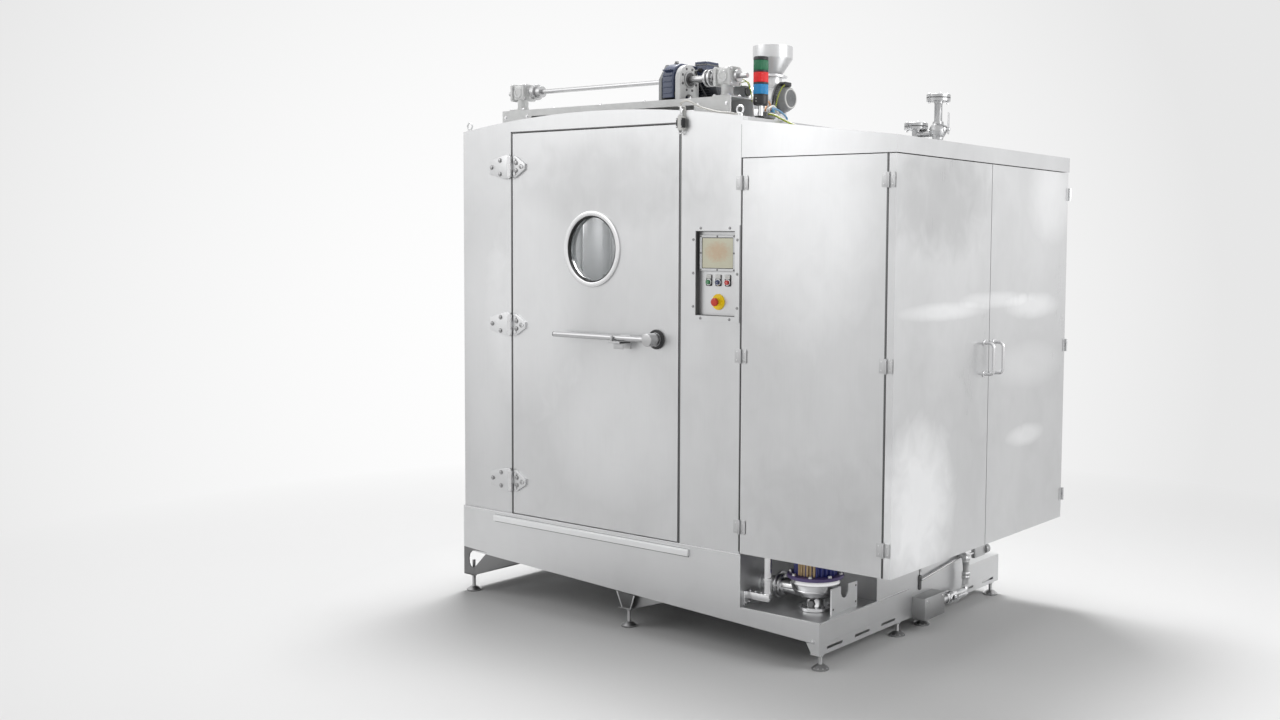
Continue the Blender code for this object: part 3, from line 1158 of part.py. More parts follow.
def build_gear_motor():
    """Shaft-mounted reducer with its torque plate, motor and terminal box."""
    left, right = REDUCER_LEFT, REDUCER_LEFT + REDUCER_WIDTH
    bottom, radius = PLINTH_TOP + REDUCER_BOTTOM, REDUCER_FRONT_RADIUS
    front_y, back_y = COLUMN_Y, COLUMN_Y + REDUCER_REACH
    motor_y, motor_z = COLUMN_Y + MOTOR_BEHIND, SHAFT_Z - MOTOR_BELOW
    arc = [(front_y - radius * math.sin(a), SHAFT_Z + radius * math.cos(a))
           for a in (math.pi / 2 * k / 6 for k in range(7))]
    back_edge = back_y + MOTOR_RADIUS
    outline = [(back_edge, bottom), (back_edge, SHAFT_Z + radius / 2),
               (back_y, SHAFT_Z + radius)] + arc + [(front_y - radius, bottom)]
    reducer = Shape().prism("X", outline, left, right)
    plate_left = left - TORQUE_PLATE
    wide, narrow = BEAM_WIDTH / 2 - BEAM_SHEET, OUTPUT_SHAFT_RADIUS + TORQUE_PLATE
    plate = Shape().prism("X", [
        (COLUMN_Y - wide, BEAM_TOP_Z + SEAT_GAP), (COLUMN_Y + wide, BEAM_TOP_Z + SEAT_GAP),
        (COLUMN_Y + wide, SHAFT_Z), (COLUMN_Y + narrow, SHAFT_Z + radius - BEAM_SHEET),
        (COLUMN_Y - narrow, SHAFT_Z + radius - BEAM_SHEET), (COLUMN_Y - wide, SHAFT_Z)],
        plate_left, left + WELD_OVERLAP)
    bore = Shape().rod("X", (COLUMN_Y, SHAFT_Z), plate_left - OVERRUN, right + OVERRUN,
                       running_bore(OUTPUT_SHAFT_RADIUS))
    piece("gear_reducer", "slate paint", reducer, joins=[plate], cuts=[bore])

    start = right + SEAT_GAP
    profile = [(0, start), (MOTOR_RADIUS, start)]
    fin = MOTOR_LENGTH / (2 * MOTOR_FINS + 1)
    for k in range(MOTOR_FINS):
        x = start + fin * (2 * k + 1)
        profile += [(MOTOR_RADIUS, x), (MOTOR_RADIUS - MOTOR_FIN_DEPTH, x),
                    (MOTOR_RADIUS - MOTOR_FIN_DEPTH, x + fin), (MOTOR_RADIUS, x + fin)]
    profile += [(MOTOR_RADIUS, start + MOTOR_LENGTH), (0, start + MOTOR_LENGTH)]
    motor = Shape().turned("X", (motor_y, motor_z), profile, ROUND_SIDES)
    top = motor_z + MOTOR_RADIUS
    box_y = motor_y - TERMINAL_BOX_FORWARD
    box = Shape().box(
        (start, box_y - TERMINAL_BOX_WIDTH / 2, motor_z),
        (start + TERMINAL_BOX_LENGTH, box_y + TERMINAL_BOX_WIDTH / 2,
         top + TERMINAL_BOX_HEIGHT))
    piece("drive_motor", "motor black", motor, joins=[box])


def build_bearing_plate():
    """Round-topped plate with the output bearing and a half-round notch."""
    x0, x1 = BEARING_PLATE_X, BEARING_PLATE_X + BEARING_PLATE_THICKNESS
    radius, bottom = BEARING_PLATE_RADIUS, BEAM_TOP_Z + SEAT_GAP
    arc = [(COLUMN_Y + radius * math.cos(a), SHAFT_Z + radius * math.sin(a))
           for a in (math.pi * k / 12 for k in range(13))]
    notch = [(COLUMN_Y - PLATE_NOTCH_RADIUS * math.cos(a),
              bottom + PLATE_NOTCH_RADIUS * math.sin(a))
             for a in (math.pi * k / 8 for k in range(9))]
    plate = Shape().prism("X", [(COLUMN_Y + radius, bottom)] + arc
                          + [(COLUMN_Y - radius, bottom)] + notch, x0, x1)
    ring = Shape().rod("X", (COLUMN_Y, SHAFT_Z), x0 + BEARING_RING_PROUD,
                       x1 + BEARING_RING_PROUD, BEARING_RING_RADIUS)
    bore = Shape().rod("X", (COLUMN_Y, SHAFT_Z), x0 - OVERRUN, x1 + OVERRUN,
                       running_bore(OUTPUT_SHAFT_RADIUS))
    piece("bearing_plate", "white paint", plate, joins=[ring], cuts=[bore])


def build_spray_column(name, x):
    """Turning spray pipe with nozzles, its shaft through the roof and its bevel gear."""
    low = PLINTH_TOP + SPRAY_PIPE_FOOT
    high = PLINTH_TOP + SPRAY_PIPE_TOP
    profile = [
        (0, low), (SPRAY_PIPE_RADIUS, low), (SPRAY_PIPE_RADIUS, high),
        (COLUMN_SHAFT_RADIUS, high), (COLUMN_SHAFT_RADIUS, SHAFT_Z - BEVEL_OUTER),
        (BEVEL_OUTER - BEVEL_CLEARANCE, SHAFT_Z - BEVEL_OUTER),
        (BEVEL_INNER - BEVEL_CLEARANCE, SHAFT_Z - BEVEL_INNER), (0, SHAFT_Z - BEVEL_INNER)]
    pipe = Shape().turned("Z", (x, COLUMN_Y), profile, SMALL_SIDES)
    nozzles = Shape()
    pitch = (high - low - 2 * SPRAY_NOZZLE_MARGIN) / (SPRAY_NOZZLES - 1)
    for k in range(SPRAY_NOZZLES):
        nozzles.rod("Y", (x, low + SPRAY_NOZZLE_MARGIN + pitch * k), COLUMN_Y,
                    COLUMN_Y + SPRAY_NOZZLE_REACH, SPRAY_NOZZLE_RADIUS, BOLT_SIDES)
    piece(name, "polished steel", pipe, joins=[nozzles], pivot=(x, COLUMN_Y, 0))


def build_stack_light():
    """Signal tower: foot, pole, base, three lenses with collars, and cap."""
    place = (STACK_X, STACK_Y)
    seat = roof_facet_height(STACK_X - STACK_FOOT_RADIUS) + SEAT_GAP
    foot = seat + STACK_FOOT_HEIGHT
    base = foot + STACK_POLE_HEIGHT
    lens = base + STACK_BASE_HEIGHT
    profile = [
        (0, seat), (STACK_FOOT_RADIUS, seat), (STACK_FOOT_RADIUS, foot),
        (STACK_POLE_RADIUS, foot), (STACK_POLE_RADIUS, base), (STACK_RADIUS, base)]
    for name, finish, cover in (
            ("blue_lens", "blue lens", STACK_COLLAR_HEIGHT),
            ("red_lens", "red lens", STACK_COLLAR_HEIGHT),
            ("green_lens", "green lens", STACK_CAP_HEIGHT)):
        low = lens + SEAT_GAP
        high = low + STACK_LENS_HEIGHT
        piece(name, finish, Shape().ring("Z", place, low, high,
                                         STACK_POLE_RADIUS + SEAT_GAP, STACK_RADIUS))
        profile += [(STACK_RADIUS, lens), (STACK_POLE_RADIUS, lens),
                    (STACK_POLE_RADIUS, high + SEAT_GAP), (STACK_RADIUS, high + SEAT_GAP)]
        lens = high + SEAT_GAP + cover
    profile += [(STACK_RADIUS, lens - STACK_COLLAR_HEIGHT / 2),
                (STACK_RADIUS - STACK_COLLAR_HEIGHT / 2, lens), (0, lens)]
    piece("stack_light_post", "black plastic", Shape().turned("Z", place, profile, ROUND_SIDES))


def build_exhaust():
    """Exhaust fan on the roof: casing, wheel, motor and the stack above it."""
    centre = (FAN_Y, FAN_AXIS_Z)
    left, right = FAN_X - FAN_CASING_LEFT_REACH, FAN_X + FAN_CASING_RIGHT_REACH
    seat = roof_height(left) + RUNNING_GAP
    neck_top = PLINTH_TOP + FAN_NECK_TOP
    drum = Shape().rod("X", centre, left, right, FAN_CASING_RADIUS)
    neck = Shape().rod("Z", (FAN_X, FAN_Y), FAN_AXIS_Z, neck_top, FAN_NECK_RADIUS)
    foot_left, foot_right = left + FAN_CASING_WALL / 2, right - FAN_CASING_WALL / 2
    foot = Shape().prism("Y", [
        (foot_right, seat + FAN_FOOT_THICKNESS), (foot_left, seat + FAN_FOOT_THICKNESS)]
        + roof_curve(foot_left, foot_right, 3, RUNNING_GAP),
        FAN_Y - FAN_FOOT_WIDTH / 2, FAN_Y + FAN_FOOT_WIDTH / 2)
    hollow = Shape().rod("X", centre, left + FAN_CASING_WALL, right - FAN_CASING_WALL,
                         FAN_CASING_RADIUS - FAN_CASING_WALL)
    duct = Shape().rod("Z", (FAN_X, FAN_Y), PLINTH_TOP + ROOF_EDGE_HEIGHT, neck_top + OVERRUN,
                       FAN_NECK_RADIUS - FAN_CASING_WALL)
    shaft_hole = Shape().rod("X", centre, FAN_X, right + OVERRUN, running_bore(FAN_SHAFT_RADIUS),
                             SMALL_SIDES)
    piece("fan_casing", "brushed steel", drum, joins=[neck, foot],
          cuts=[hollow, duct, shaft_hole])

    plate_left = right - 3 * FAN_CASING_WALL
    blade_left = plate_left - FAN_BLADE_LENGTH
    motor_left = right + SEAT_GAP
    shaft_end = motor_left + FAN_MOTOR_LENGTH / 2
    wheel = Shape().turned("X", centre, [
        (0, blade_left), (FAN_HUB_RADIUS, blade_left), (FAN_HUB_RADIUS, plate_left), (FAN_WHEEL_RADIUS, plate_left),
        (FAN_WHEEL_RADIUS, plate_left + FAN_WHEEL_PLATE),
        (FAN_SHAFT_RADIUS, plate_left + FAN_WHEEL_PLATE), (FAN_SHAFT_RADIUS, shaft_end),
        (0, shaft_end)], SMALL_SIDES)
    blades = Shape()
    low, high = FAN_HUB_RADIUS - FAN_BLADE_THICKNESS / 2, FAN_WHEEL_RADIUS - FAN_WHEEL_PLATE
    for k in range(FAN_BLADES):
        angle = math.tau * k / FAN_BLADES
        along = Vector((math.cos(angle), math.sin(angle)))
        across = Vector((-along.y, along.x)) * FAN_BLADE_THICKNESS / 2
        corners = [along * low - across, along * high - across,
                   along * high + across, along * low + across]
        blades.prism("X", [(FAN_Y + p.x, FAN_AXIS_Z + p.y) for p in corners],
                     blade_left, plate_left + FAN_WHEEL_PLATE / 2)
    piece("fan_wheel", "brushed steel", wheel, joins=[blades], pivot=(FAN_X, FAN_Y, FAN_AXIS_Z))

    cowl = motor_left + FAN_MOTOR_LENGTH * FAN_COWL_SHARE
    flange = FAN_MOTOR_RADIUS + FAN_MOTOR_FLANGE / 2
    end = motor_left + FAN_MOTOR_LENGTH
    motor = Shape().turned("X", centre, [
        (0, motor_left), (flange, motor_left), (flange, motor_left + FAN_MOTOR_FLANGE),
        (FAN_MOTOR_RADIUS, motor_left + FAN_MOTOR_FLANGE), (FAN_MOTOR_RADIUS, cowl),
        (FAN_MOTOR_TAPER, end), (0, end)], ROUND_SIDES)
    shaft_bore = Shape().rod("X", centre, motor_left - OVERRUN, shaft_end + RUNNING_GAP,
                             running_bore(FAN_SHAFT_RADIUS), SMALL_SIDES)
    piece("fan_motor", "motor grey", motor, cuts=[shaft_bore])

    low = neck_top + SEAT_GAP
    throat = FAN_NECK_RADIUS
    wide = EXHAUST_RADIUS
    wall = EXHAUST_WALL
    z1 = low + STACK_FLANGE_THICKNESS
    z2 = z1 + EXHAUST_COLLAR_HEIGHT
    z3 = z2 + EXHAUST_CONE_HEIGHT
    z4 = z3 + EXHAUST_TOP_HEIGHT
    stack = Shape().turned("Z", (FAN_X, FAN_Y), [
        (throat - wall, low), (STACK_FLANGE_RADIUS, low), (STACK_FLANGE_RADIUS, z1),
        (throat, z1), (throat, z2), (wide, z3), (wide, z4), (wide - wall, z4),
        (wide - wall, z3), (throat - wall, z2)], ROUND_SIDES, closed=True)
    piece("exhaust_stack", "brushed steel", stack)


def build_steam_pipework():
    """Flanged steam riser with its valve and a lower flanged branch on the cabinet roof."""
    pipe, ball = STEAM_PIPE_RADIUS, STEAM_VALVE_RADIUS
    valve_z = PLINTH_TOP + STEAM_VALVE_HEIGHT
    branch_x = STEAM_X - STEAM_STUB_REACH

    def column(x, top, valve):
        """Return the profile of one upright: pipe, optional valve body and flange pair."""
        seat = cabinet_roof_height(x - pipe) + SEAT_GAP
        profile = [(0, seat), (pipe, seat)]
        if valve:
            profile += [(pipe, valve_z - ball), (ball, valve_z - ball / 2),
                        (ball, valve_z + ball / 2), (pipe, valve_z + ball)]
        low = top - STEAM_FLANGE_THICKNESS
        high = top + STEAM_FLANGE_GASKET
        end = high + STEAM_FLANGE_THICKNESS
        rim = STEAM_FLANGE_RADIUS
        profile += [(pipe, low), (rim, low), (rim, top), (rim - STEAM_FLANGE_GASKET, top),
                    (rim - STEAM_FLANGE_GASKET, high), (rim, high), (rim, end), (0, end)]
        return profile, low, end

    main, low, high = column(STEAM_X, PLINTH_TOP + STEAM_TOP_HEIGHT, True)
    shape = Shape().turned("Z", (STEAM_X, STEAM_Y), main, ROUND_SIDES)
    branch, branch_low, branch_high = column(branch_x, PLINTH_TOP + STEAM_STUB_HEIGHT, False)
    shape.turned("Z", (branch_x, STEAM_Y), branch, ROUND_SIDES)
    cross = Shape().rod("X", (STEAM_Y, valve_z - pipe / 2), branch_x, STEAM_X, pipe / 2,
                        SMALL_SIDES)
    bolts = Shape()
    circle = STEAM_FLANGE_RADIUS - 2 * STEAM_BOLT_RADIUS
    for x, start, end in ((STEAM_X, low, high), (branch_x, branch_low, branch_high)):
        for k in range(STEAM_BOLTS):
            angle = math.tau * (k + 0.5) / STEAM_BOLTS
            bolts.rod("Z", (x + circle * math.cos(angle), STEAM_Y + circle * math.sin(angle)),
                      start - STEAM_BOLT_RADIUS, end + STEAM_BOLT_RADIUS, STEAM_BOLT_RADIUS,
                      BOLT_SIDES)
    piece("steam_pipework", "brushed steel", shape, joins=[cross, bolts])


def roof_point(x, y, lift):
    """Return a point at a height over the chamber's roof."""
    return (x, y, roof_height(x) + lift)


def build_roof_cables():
    """Switch conduit, and the hoses and earth wires that leave a block on the roof."""
    radius, sides = CABLE_RADIUS, CABLE_SIDES
    lie = radius + CABLE_GAP
    stud_top = PLINTH_TOP + SWITCH_Z + SWITCH_HEIGHT + SWITCH_BRACKET_RISE
    stud_x = SWITCH_X + SWITCH_WIDTH / 2
    stud_y = -SEAT_GAP - SWITCH_BRACKET / 2 - SWITCH_PROUD / 2
    conduit = Shape().pipe(smooth_route([
        (stud_x, stud_y, stud_top + 0.002), (stud_x, stud_y, stud_top + 0.015),
        (1.60, -0.012, stud_top + 0.022), roof_point(1.66, 0.012, 0.02),
        roof_point(1.74, 0.03, lie), roof_point(1.80, 0.05, lie), roof_point(1.84, 0.09, lie)]),
        radius, sides)
    piece("switch_conduit", "cable jacket", conduit)

    left, front, bottom = CABLE_BLOCK_X, CABLE_BLOCK_Y, roof_height(CABLE_BLOCK_X) + SEAT_GAP
    right, back = left + CABLE_BLOCK_WIDTH, front + CABLE_BLOCK_LENGTH
    top = bottom + CABLE_BLOCK_HEIGHT
    inside = top - radius
    block = Shape().box((left, front, bottom), (right, back, top))
    middle_x, middle_y = (left + right) / 2, (front + back) / 2
    cables = [block]
    for shift, rise, end in ((-0.016, 0.09, (1.700, 0.520)), (0, 0.07, (1.715, 0.560)),
                             (0.016, 0.05, (1.735, 0.600))):
        start_y = middle_y + 0.02 + shift / 2
        start_x = middle_x + shift
        cables.append(Shape().pipe(smooth_route([
            (start_x, start_y, inside), (start_x, start_y, top + 0.02),
            roof_point((start_x + end[0]) / 2, (start_y + end[1]) / 2, rise),
            roof_point(*end, rise / 2), roof_point(*end, radius)]), radius, sides))
    for shift in (0, 0.016):
        y = front + 0.014 + shift
        cables.append(Shape().pipe(smooth_route([
            (right - radius, y, inside - radius), (1.87, y + 0.004, bottom + 0.012),
            roof_point(1.905, y + 0.006, lie + 0.006),
            (1.945, y + 0.008, cabinet_roof_height(1.945) + lie + 0.012),
            (1.985, y + 0.01, cabinet_roof_height(1.985) + lie)]), radius, sides))
    piece("roof_hoses", "cable jacket", cables[0], joins=cables[1:])


def build_cabinet_shell():
    """Technical cabinet's sloping cap, floor, back panel and inner posts."""
    left, right = CABINET_LEFT, CABIN_WIDTH + CABINET_ROOF_PROUD
    front, back = -CABINET_ROOF_PROUD, CABIN_DEPTH
    bottom = PLINTH_TOP + CABINET_DOOR_HEIGHT + DOOR_GAP / 2
    sheet = CABINET_SHEET
    cap = Shape().prism("Y", [
        (left, cabinet_roof_height(left)), (left, bottom), (right, bottom),
        (right, cabinet_roof_height(right))], front, back)
    hollow = Shape().prism("Y", [
        (left + sheet, cabinet_roof_height(left + sheet) - sheet),
        (left + sheet, bottom - OVERRUN), (right - sheet, bottom - OVERRUN),
        (right - sheet, cabinet_roof_height(right - sheet) - sheet)],
        front + sheet, back - sheet)
    piece("cabinet_roof", "brushed steel", cap, cuts=[hollow])

    low = PLINTH_TOP + SEAT_GAP
    inner_right = SIDE_DOOR_INNER - DOOR_GAP / 2
    floor_front = SERVICE_DOOR_THICKNESS + DOOR_GAP / 2
    panel_front = CABIN_DEPTH - SERVICE_DOOR_THICKNESS
    floor_top = low + FLOOR_THICKNESS
    floor = Shape().box((left, floor_front, low), (inner_right, panel_front - SEAT_GAP, floor_top))
    hole = Shape().rod("Z", (PUMP_X, PUMP_Y), low - OVERRUN, floor_top + OVERRUN,
                       PUMP_MOTOR_RADIUS + FLOOR_HOLE_CLEARANCE)
    piece("cabinet_floor", "brushed steel", floor, cuts=[hole])

    panel = Shape().box((left, panel_front, low), (inner_right, CABIN_DEPTH, bottom - SEAT_GAP))
    post_right = inner_right - POST_CLEARANCE
    post_left = post_right - POST_SIZE
    post_top = cabinet_roof_height(post_right) - sheet - SEAT_GAP
    corner_front = SERVICE_DOOR_THICKNESS + POST_CLEARANCE
    rail_top = bottom - SEAT_GAP - POST_CLEARANCE
    rail = Shape().box((post_left + WELD_OVERLAP, corner_front + WELD_OVERLAP,
                        rail_top - POST_SIZE),
                       (post_right - WELD_OVERLAP, panel_front + WELD_OVERLAP, rail_top))
    posts = Shape()
    for start in (corner_front, SIDE_DOOR_SPLIT - POST_SIZE / 2):
        posts.box((post_left, start, floor_top + SEAT_GAP),
                  (post_right, start + POST_SIZE, post_top))
    leaves, welds = [Shape(), Shape(), Shape()], Shape()
    add_rear_fixed_leaf(leaves, welds)
    piece("cabinet_frame", "brushed steel", panel, joins=[rail, posts, welds] + leaves)


def add_butt_leaf(parts, axis, along, normal, middle):
    """Add one body's share of a butt hinge: knuckles, plate and the tongues between.

    Args:
        parts: knuckle, plate and tongue shapes of the body.
        axis: x and y of the hinge's axis.
        along: unit direction in which the plate leaves the axis.
        normal: unit direction in which the plate's face looks.
        middle: True for the middle knuckle, False for the two outer ones.
    """
    knuckles, plates, tongues = parts
    pitch = BUTT_KNUCKLE_LENGTH + SEAT_GAP
    root = BUTT_KNUCKLE_RADIUS + RUNNING_GAP
    back = -BUTT_AXIS_PROUD - WELD_OVERLAP
    front = BUTT_LEAF_THICKNESS - BUTT_AXIS_PROUD

    def slab(shape, start, end, low, high):
        """Add a plate between two distances along, sunk a little in the hinge's seat."""
        corners = [[axis[i] + along[i] * t + normal[i] * n for i in (0, 1)]
                   for t, n in ((start, back), (end, front))]
        (x0, x1), (y0, y1) = (sorted(pair) for pair in zip(*corners))
        shape.box((x0, y0, low), (x1, y1, high))

    for height in BUTT_HEIGHTS:
        z = PLINTH_TOP + height
        reach = pitch + BUTT_KNUCKLE_LENGTH / 2
        slab(plates, root, BUTT_LEAF_WIDTH, z - reach, z + reach)
        for offset in ((0,) if middle else (-pitch, pitch)):
            low = z + offset - BUTT_KNUCKLE_LENGTH / 2
            high = low + BUTT_KNUCKLE_LENGTH
            knuckles.rod("Z", axis, low, high, BUTT_KNUCKLE_RADIUS, BOLT_SIDES)
            slab(tongues, 0, root + BUTT_LEAF_THICKNESS, low + SEAT_GAP, high - SEAT_GAP)


def build_pull_handle(name, y, pivot):
    """Round D handle with two foot discs on the side doors' outer face at depth y."""
    face = CABIN_WIDTH + SEAT_GAP
    z = PLINTH_TOP + PULL_HEIGHT
    low, high = z - PULL_SPACING / 2, z + PULL_SPACING / 2
    root, out = face + PULL_FOOT_THICKNESS / 2, CABIN_WIDTH + PULL_REACH
    grip = Shape().pipe(rounded_route([(root, y, low), (out, y, low), (out, y, high),
                                       (root, y, high)], PULL_CORNER_RADIUS), PULL_ROD_RADIUS)
    feet = Shape()
    for height in (low, high):
        feet.rod("X", (y, height), face, face + PULL_FOOT_THICKNESS, PULL_FOOT_RADIUS)
    piece(name, "polished steel", grip, joins=[feet], pivot=pivot)


def build_cabinet_doors():
    """Service door, folding side door in front and rear side door, hinges and handles."""
    service_pivot = (SERVICE_AXIS_X, -BUTT_AXIS_PROUD, 0)
    corner_pivot = (CORNER_AXIS_X, -BUTT_AXIS_PROUD, 0)
    rear_pivot = (REAR_AXIS_X, REAR_AXIS_Y, 0)
    forward, left, right = (0, -1), (-1, 0), (1, 0)
    service, service_far, corner, rear = ([Shape(), Shape(), Shape()] for _ in range(4))
    add_butt_leaf(service, service_pivot[:2], right, forward, True)
    add_butt_leaf(service_far, corner_pivot[:2], left, forward, False)
    add_butt_leaf(corner, corner_pivot[:2], right, forward, True)
    add_butt_leaf(rear, rear_pivot[:2], (0, -1), right, True)
    low, high = PLINTH_TOP + DOOR_GAP / 2, PLINTH_TOP + CABINET_DOOR_HEIGHT - DOOR_GAP / 2
    split = DOOR_GAP / 2
    piece("service_door", "brushed steel", Shape().box(
        (SERVICE_DOOR_LEFT, 0, low), (SERVICE_DOOR_RIGHT, SERVICE_DOOR_THICKNESS, high)),
        joins=service + service_far, pivot=service_pivot)
    piece("side_door_front", "brushed steel", Shape().box(
        (SIDE_DOOR_INNER, 0, low), (CABIN_WIDTH, SIDE_DOOR_SPLIT - split, high)),
        joins=corner, pivot=corner_pivot)
    piece("side_door_rear", "brushed steel", Shape().box(
        (SIDE_DOOR_INNER, SIDE_DOOR_SPLIT + split, low), (CABIN_WIDTH, CABIN_DEPTH, high)),
        joins=rear, pivot=rear_pivot)
    build_pull_handle("front_pull_handle", SIDE_DOOR_SPLIT - PULL_INSET, corner_pivot)
    build_pull_handle("rear_pull_handle", SIDE_DOOR_SPLIT + PULL_INSET, rear_pivot)


def add_rear_fixed_leaf(parts, welds):
    """Add the rear hinge's fixed leaves, which reach past the door to the back panel."""
    knuckles, plates, tongues = parts
    pitch = BUTT_KNUCKLE_LENGTH + SEAT_GAP
    seat, outer = CABIN_DEPTH + SEAT_GAP, CABIN_DEPTH + SEAT_GAP + BUTT_LEAF_THICKNESS
    root = CABIN_WIDTH - WELD_OVERLAP - RUNNING_GAP
    tongue = REAR_AXIS_Y - BUTT_KNUCKLE_RADIUS
    edge = SIDE_DOOR_INNER - DOOR_GAP / 2 - BUTT_LEAF_WIDTH
    for height in BUTT_HEIGHTS:
        z = PLINTH_TOP + height
        reach = pitch + BUTT_KNUCKLE_LENGTH / 2
        plates.box((edge, seat, z - reach), (root, outer, z + reach))
        welds.box((edge + WELD_OVERLAP, CABIN_DEPTH - WELD_OVERLAP, z - reach + WELD_OVERLAP),
                  (SIDE_DOOR_INNER - DOOR_GAP, outer - WELD_OVERLAP, z + reach - WELD_OVERLAP))
        for offset in (-pitch, pitch):
            low = z + offset - BUTT_KNUCKLE_LENGTH / 2
            high = low + BUTT_KNUCKLE_LENGTH
            knuckles.rod("Z", (REAR_AXIS_X, REAR_AXIS_Y), low, high, BUTT_KNUCKLE_RADIUS,
                         BOLT_SIDES)
            tongues.box((root - BUTT_LEAF_THICKNESS, tongue, low + SEAT_GAP),
                        (REAR_AXIS_X, tongue + BUTT_LEAF_THICKNESS, high - SEAT_GAP))


def build_control_panel():
    """Control panel in its pocket: frame, screen, three buttons and emergency stop."""
    bottom, top = PLINTH_TOP + PANEL_BOTTOM, PLINTH_TOP + PANEL_BOTTOM + PANEL_HEIGHT
    right = PANEL_LEFT + PANEL_WIDTH
    rim = PANEL_RIM
    frame = Shape().box((PANEL_LEFT, -SEAT_GAP - PANEL_FRAME_THICKNESS, bottom),
                        (right, -SEAT_GAP, top))
    opening = Shape().box((PANEL_LEFT + rim, -OVERRUN, bottom + rim),
                          (right - rim, OVERRUN, top - rim))
    screws = [(PANEL_LEFT + rim / 2, bottom + PANEL_HEIGHT * s) for s in SCREW_SIDE_SHARES]
    screws += [(right - rim / 2, bottom + PANEL_HEIGHT * s) for s in SCREW_SIDE_SHARES]
    screws += [(PANEL_LEFT + PANEL_WIDTH * s, z) for s in SCREW_ROW_SHARES
               for z in (bottom + rim / 2, top - rim / 2)]
    heads = Shape()
    front = -SEAT_GAP - PANEL_FRAME_THICKNESS
    for x, z in screws:
        heads.rod("Y", (x, z), front - PANEL_SCREW_HEIGHT, front + WELD_OVERLAP,
                  PANEL_SCREW_RADIUS, SMALL_SIDES)
    piece("control_frame", "brushed steel", frame, joins=[heads], cuts=[opening])

    seat = PANEL_RECESS - SEAT_GAP
    hmi_left, hmi_right = PANEL_MIDDLE_X - HMI_WIDTH / 2, PANEL_MIDDLE_X + HMI_WIDTH / 2
    hmi = Shape().box((hmi_left, seat - HMI_THICKNESS, HMI_BOTTOM_Z),
                      (hmi_right, seat, HMI_BOTTOM_Z + HMI_HEIGHT))
    screen = Shape().box(
        (hmi_left + HMI_BEZEL, seat - HMI_THICKNESS - OVERRUN, HMI_BOTTOM_Z + HMI_BEZEL),
        (hmi_right - HMI_BEZEL, seat - HMI_THICKNESS + HMI_SCREEN_INSET,
         HMI_BOTTOM_Z + HMI_HEIGHT - HMI_BEZEL))
    piece("hmi_panel", "cream screen", hmi, cuts=[screen])

    legends, bores = Shape(), Shape()
    centres = [PANEL_MIDDLE_X + BUTTON_PITCH * k for k in (-1, 0, 1)]
    cap_back = PANEL_RECESS - BUTTON_TRAVEL - RUNNING_GAP
    cap_front = seat - LEGEND_THICKNESS - BUTTON_PROUD
    legend_low = BUTTON_Z - LEGEND_HEIGHT / 2 - LEGEND_BUTTON_DROP
    for x in centres:
        legends.box((x - LEGEND_WIDTH / 2, seat - LEGEND_THICKNESS, legend_low),
                    (x + LEGEND_WIDTH / 2, seat, legend_low + LEGEND_HEIGHT))
        bores.rod("Y", (x, BUTTON_Z), -OVERRUN, PANEL_RECESS + OVERRUN,
                  BUTTON_RADIUS + SEAT_GAP)
    strip = Shape().box(
        (centres[0], seat - LEGEND_THICKNESS / 2, legend_low + LEGEND_BUTTON_DROP / 4),
        (centres[2], seat - SEAT_GAP, legend_low + LEGEND_BUTTON_DROP / 2))
    piece("legend_plates", "black plastic", legends, joins=[strip], cuts=[bores])
    for name, finish, x in zip(("start_button", "reset_button", "stop_button"),
                               ("green cap", "blue cap", "red cap"), centres):
        piece(name, finish, Shape().rod("Y", (x, BUTTON_Z), cap_front, cap_back, BUTTON_RADIUS),
              pivot=(x, cap_back, BUTTON_Z))

    centre = (PANEL_MIDDLE_X, ESTOP_Z)
    disc_front = seat - ESTOP_DISC_THICKNESS
    collar_front = disc_front - ESTOP_COLLAR_HEIGHT
    base = Shape().turned("Y", centre, [
        (0, seat), (ESTOP_DISC_RADIUS, seat), (ESTOP_DISC_RADIUS, disc_front),
        (ESTOP_COLLAR_RADIUS, disc_front), (ESTOP_COLLAR_RADIUS, collar_front),
        (0, collar_front)], ROUND_SIDES)
    bore_end = disc_front
    socket = Shape().rod("Y", centre, collar_front - OVERRUN, bore_end,
                         running_bore(ESTOP_STEM_RADIUS), SMALL_SIDES)
    piece("estop_base", "yellow disc", base, cuts=[socket])
    head_back = collar_front - ESTOP_TRAVEL - RUNNING_GAP
    stem_back = bore_end - ESTOP_TRAVEL - RUNNING_GAP
    edge = ESTOP_HEAD_HEIGHT / 4
    mushroom = Shape().turned("Y", centre, [
        (0, stem_back), (ESTOP_STEM_RADIUS, stem_back), (ESTOP_STEM_RADIUS, head_back),
        (ESTOP_HEAD_RADIUS - edge, head_back), (ESTOP_HEAD_RADIUS, head_back - edge),
        (ESTOP_HEAD_RADIUS, head_back - ESTOP_HEAD_HEIGHT + edge),
        (ESTOP_HEAD_RADIUS - edge, head_back - ESTOP_HEAD_HEIGHT),
        (0, head_back - ESTOP_HEAD_HEIGHT)], ROUND_SIDES)
    piece("estop_mushroom", "red cap", mushroom, pivot=(PANEL_MIDDLE_X, head_back, ESTOP_Z))


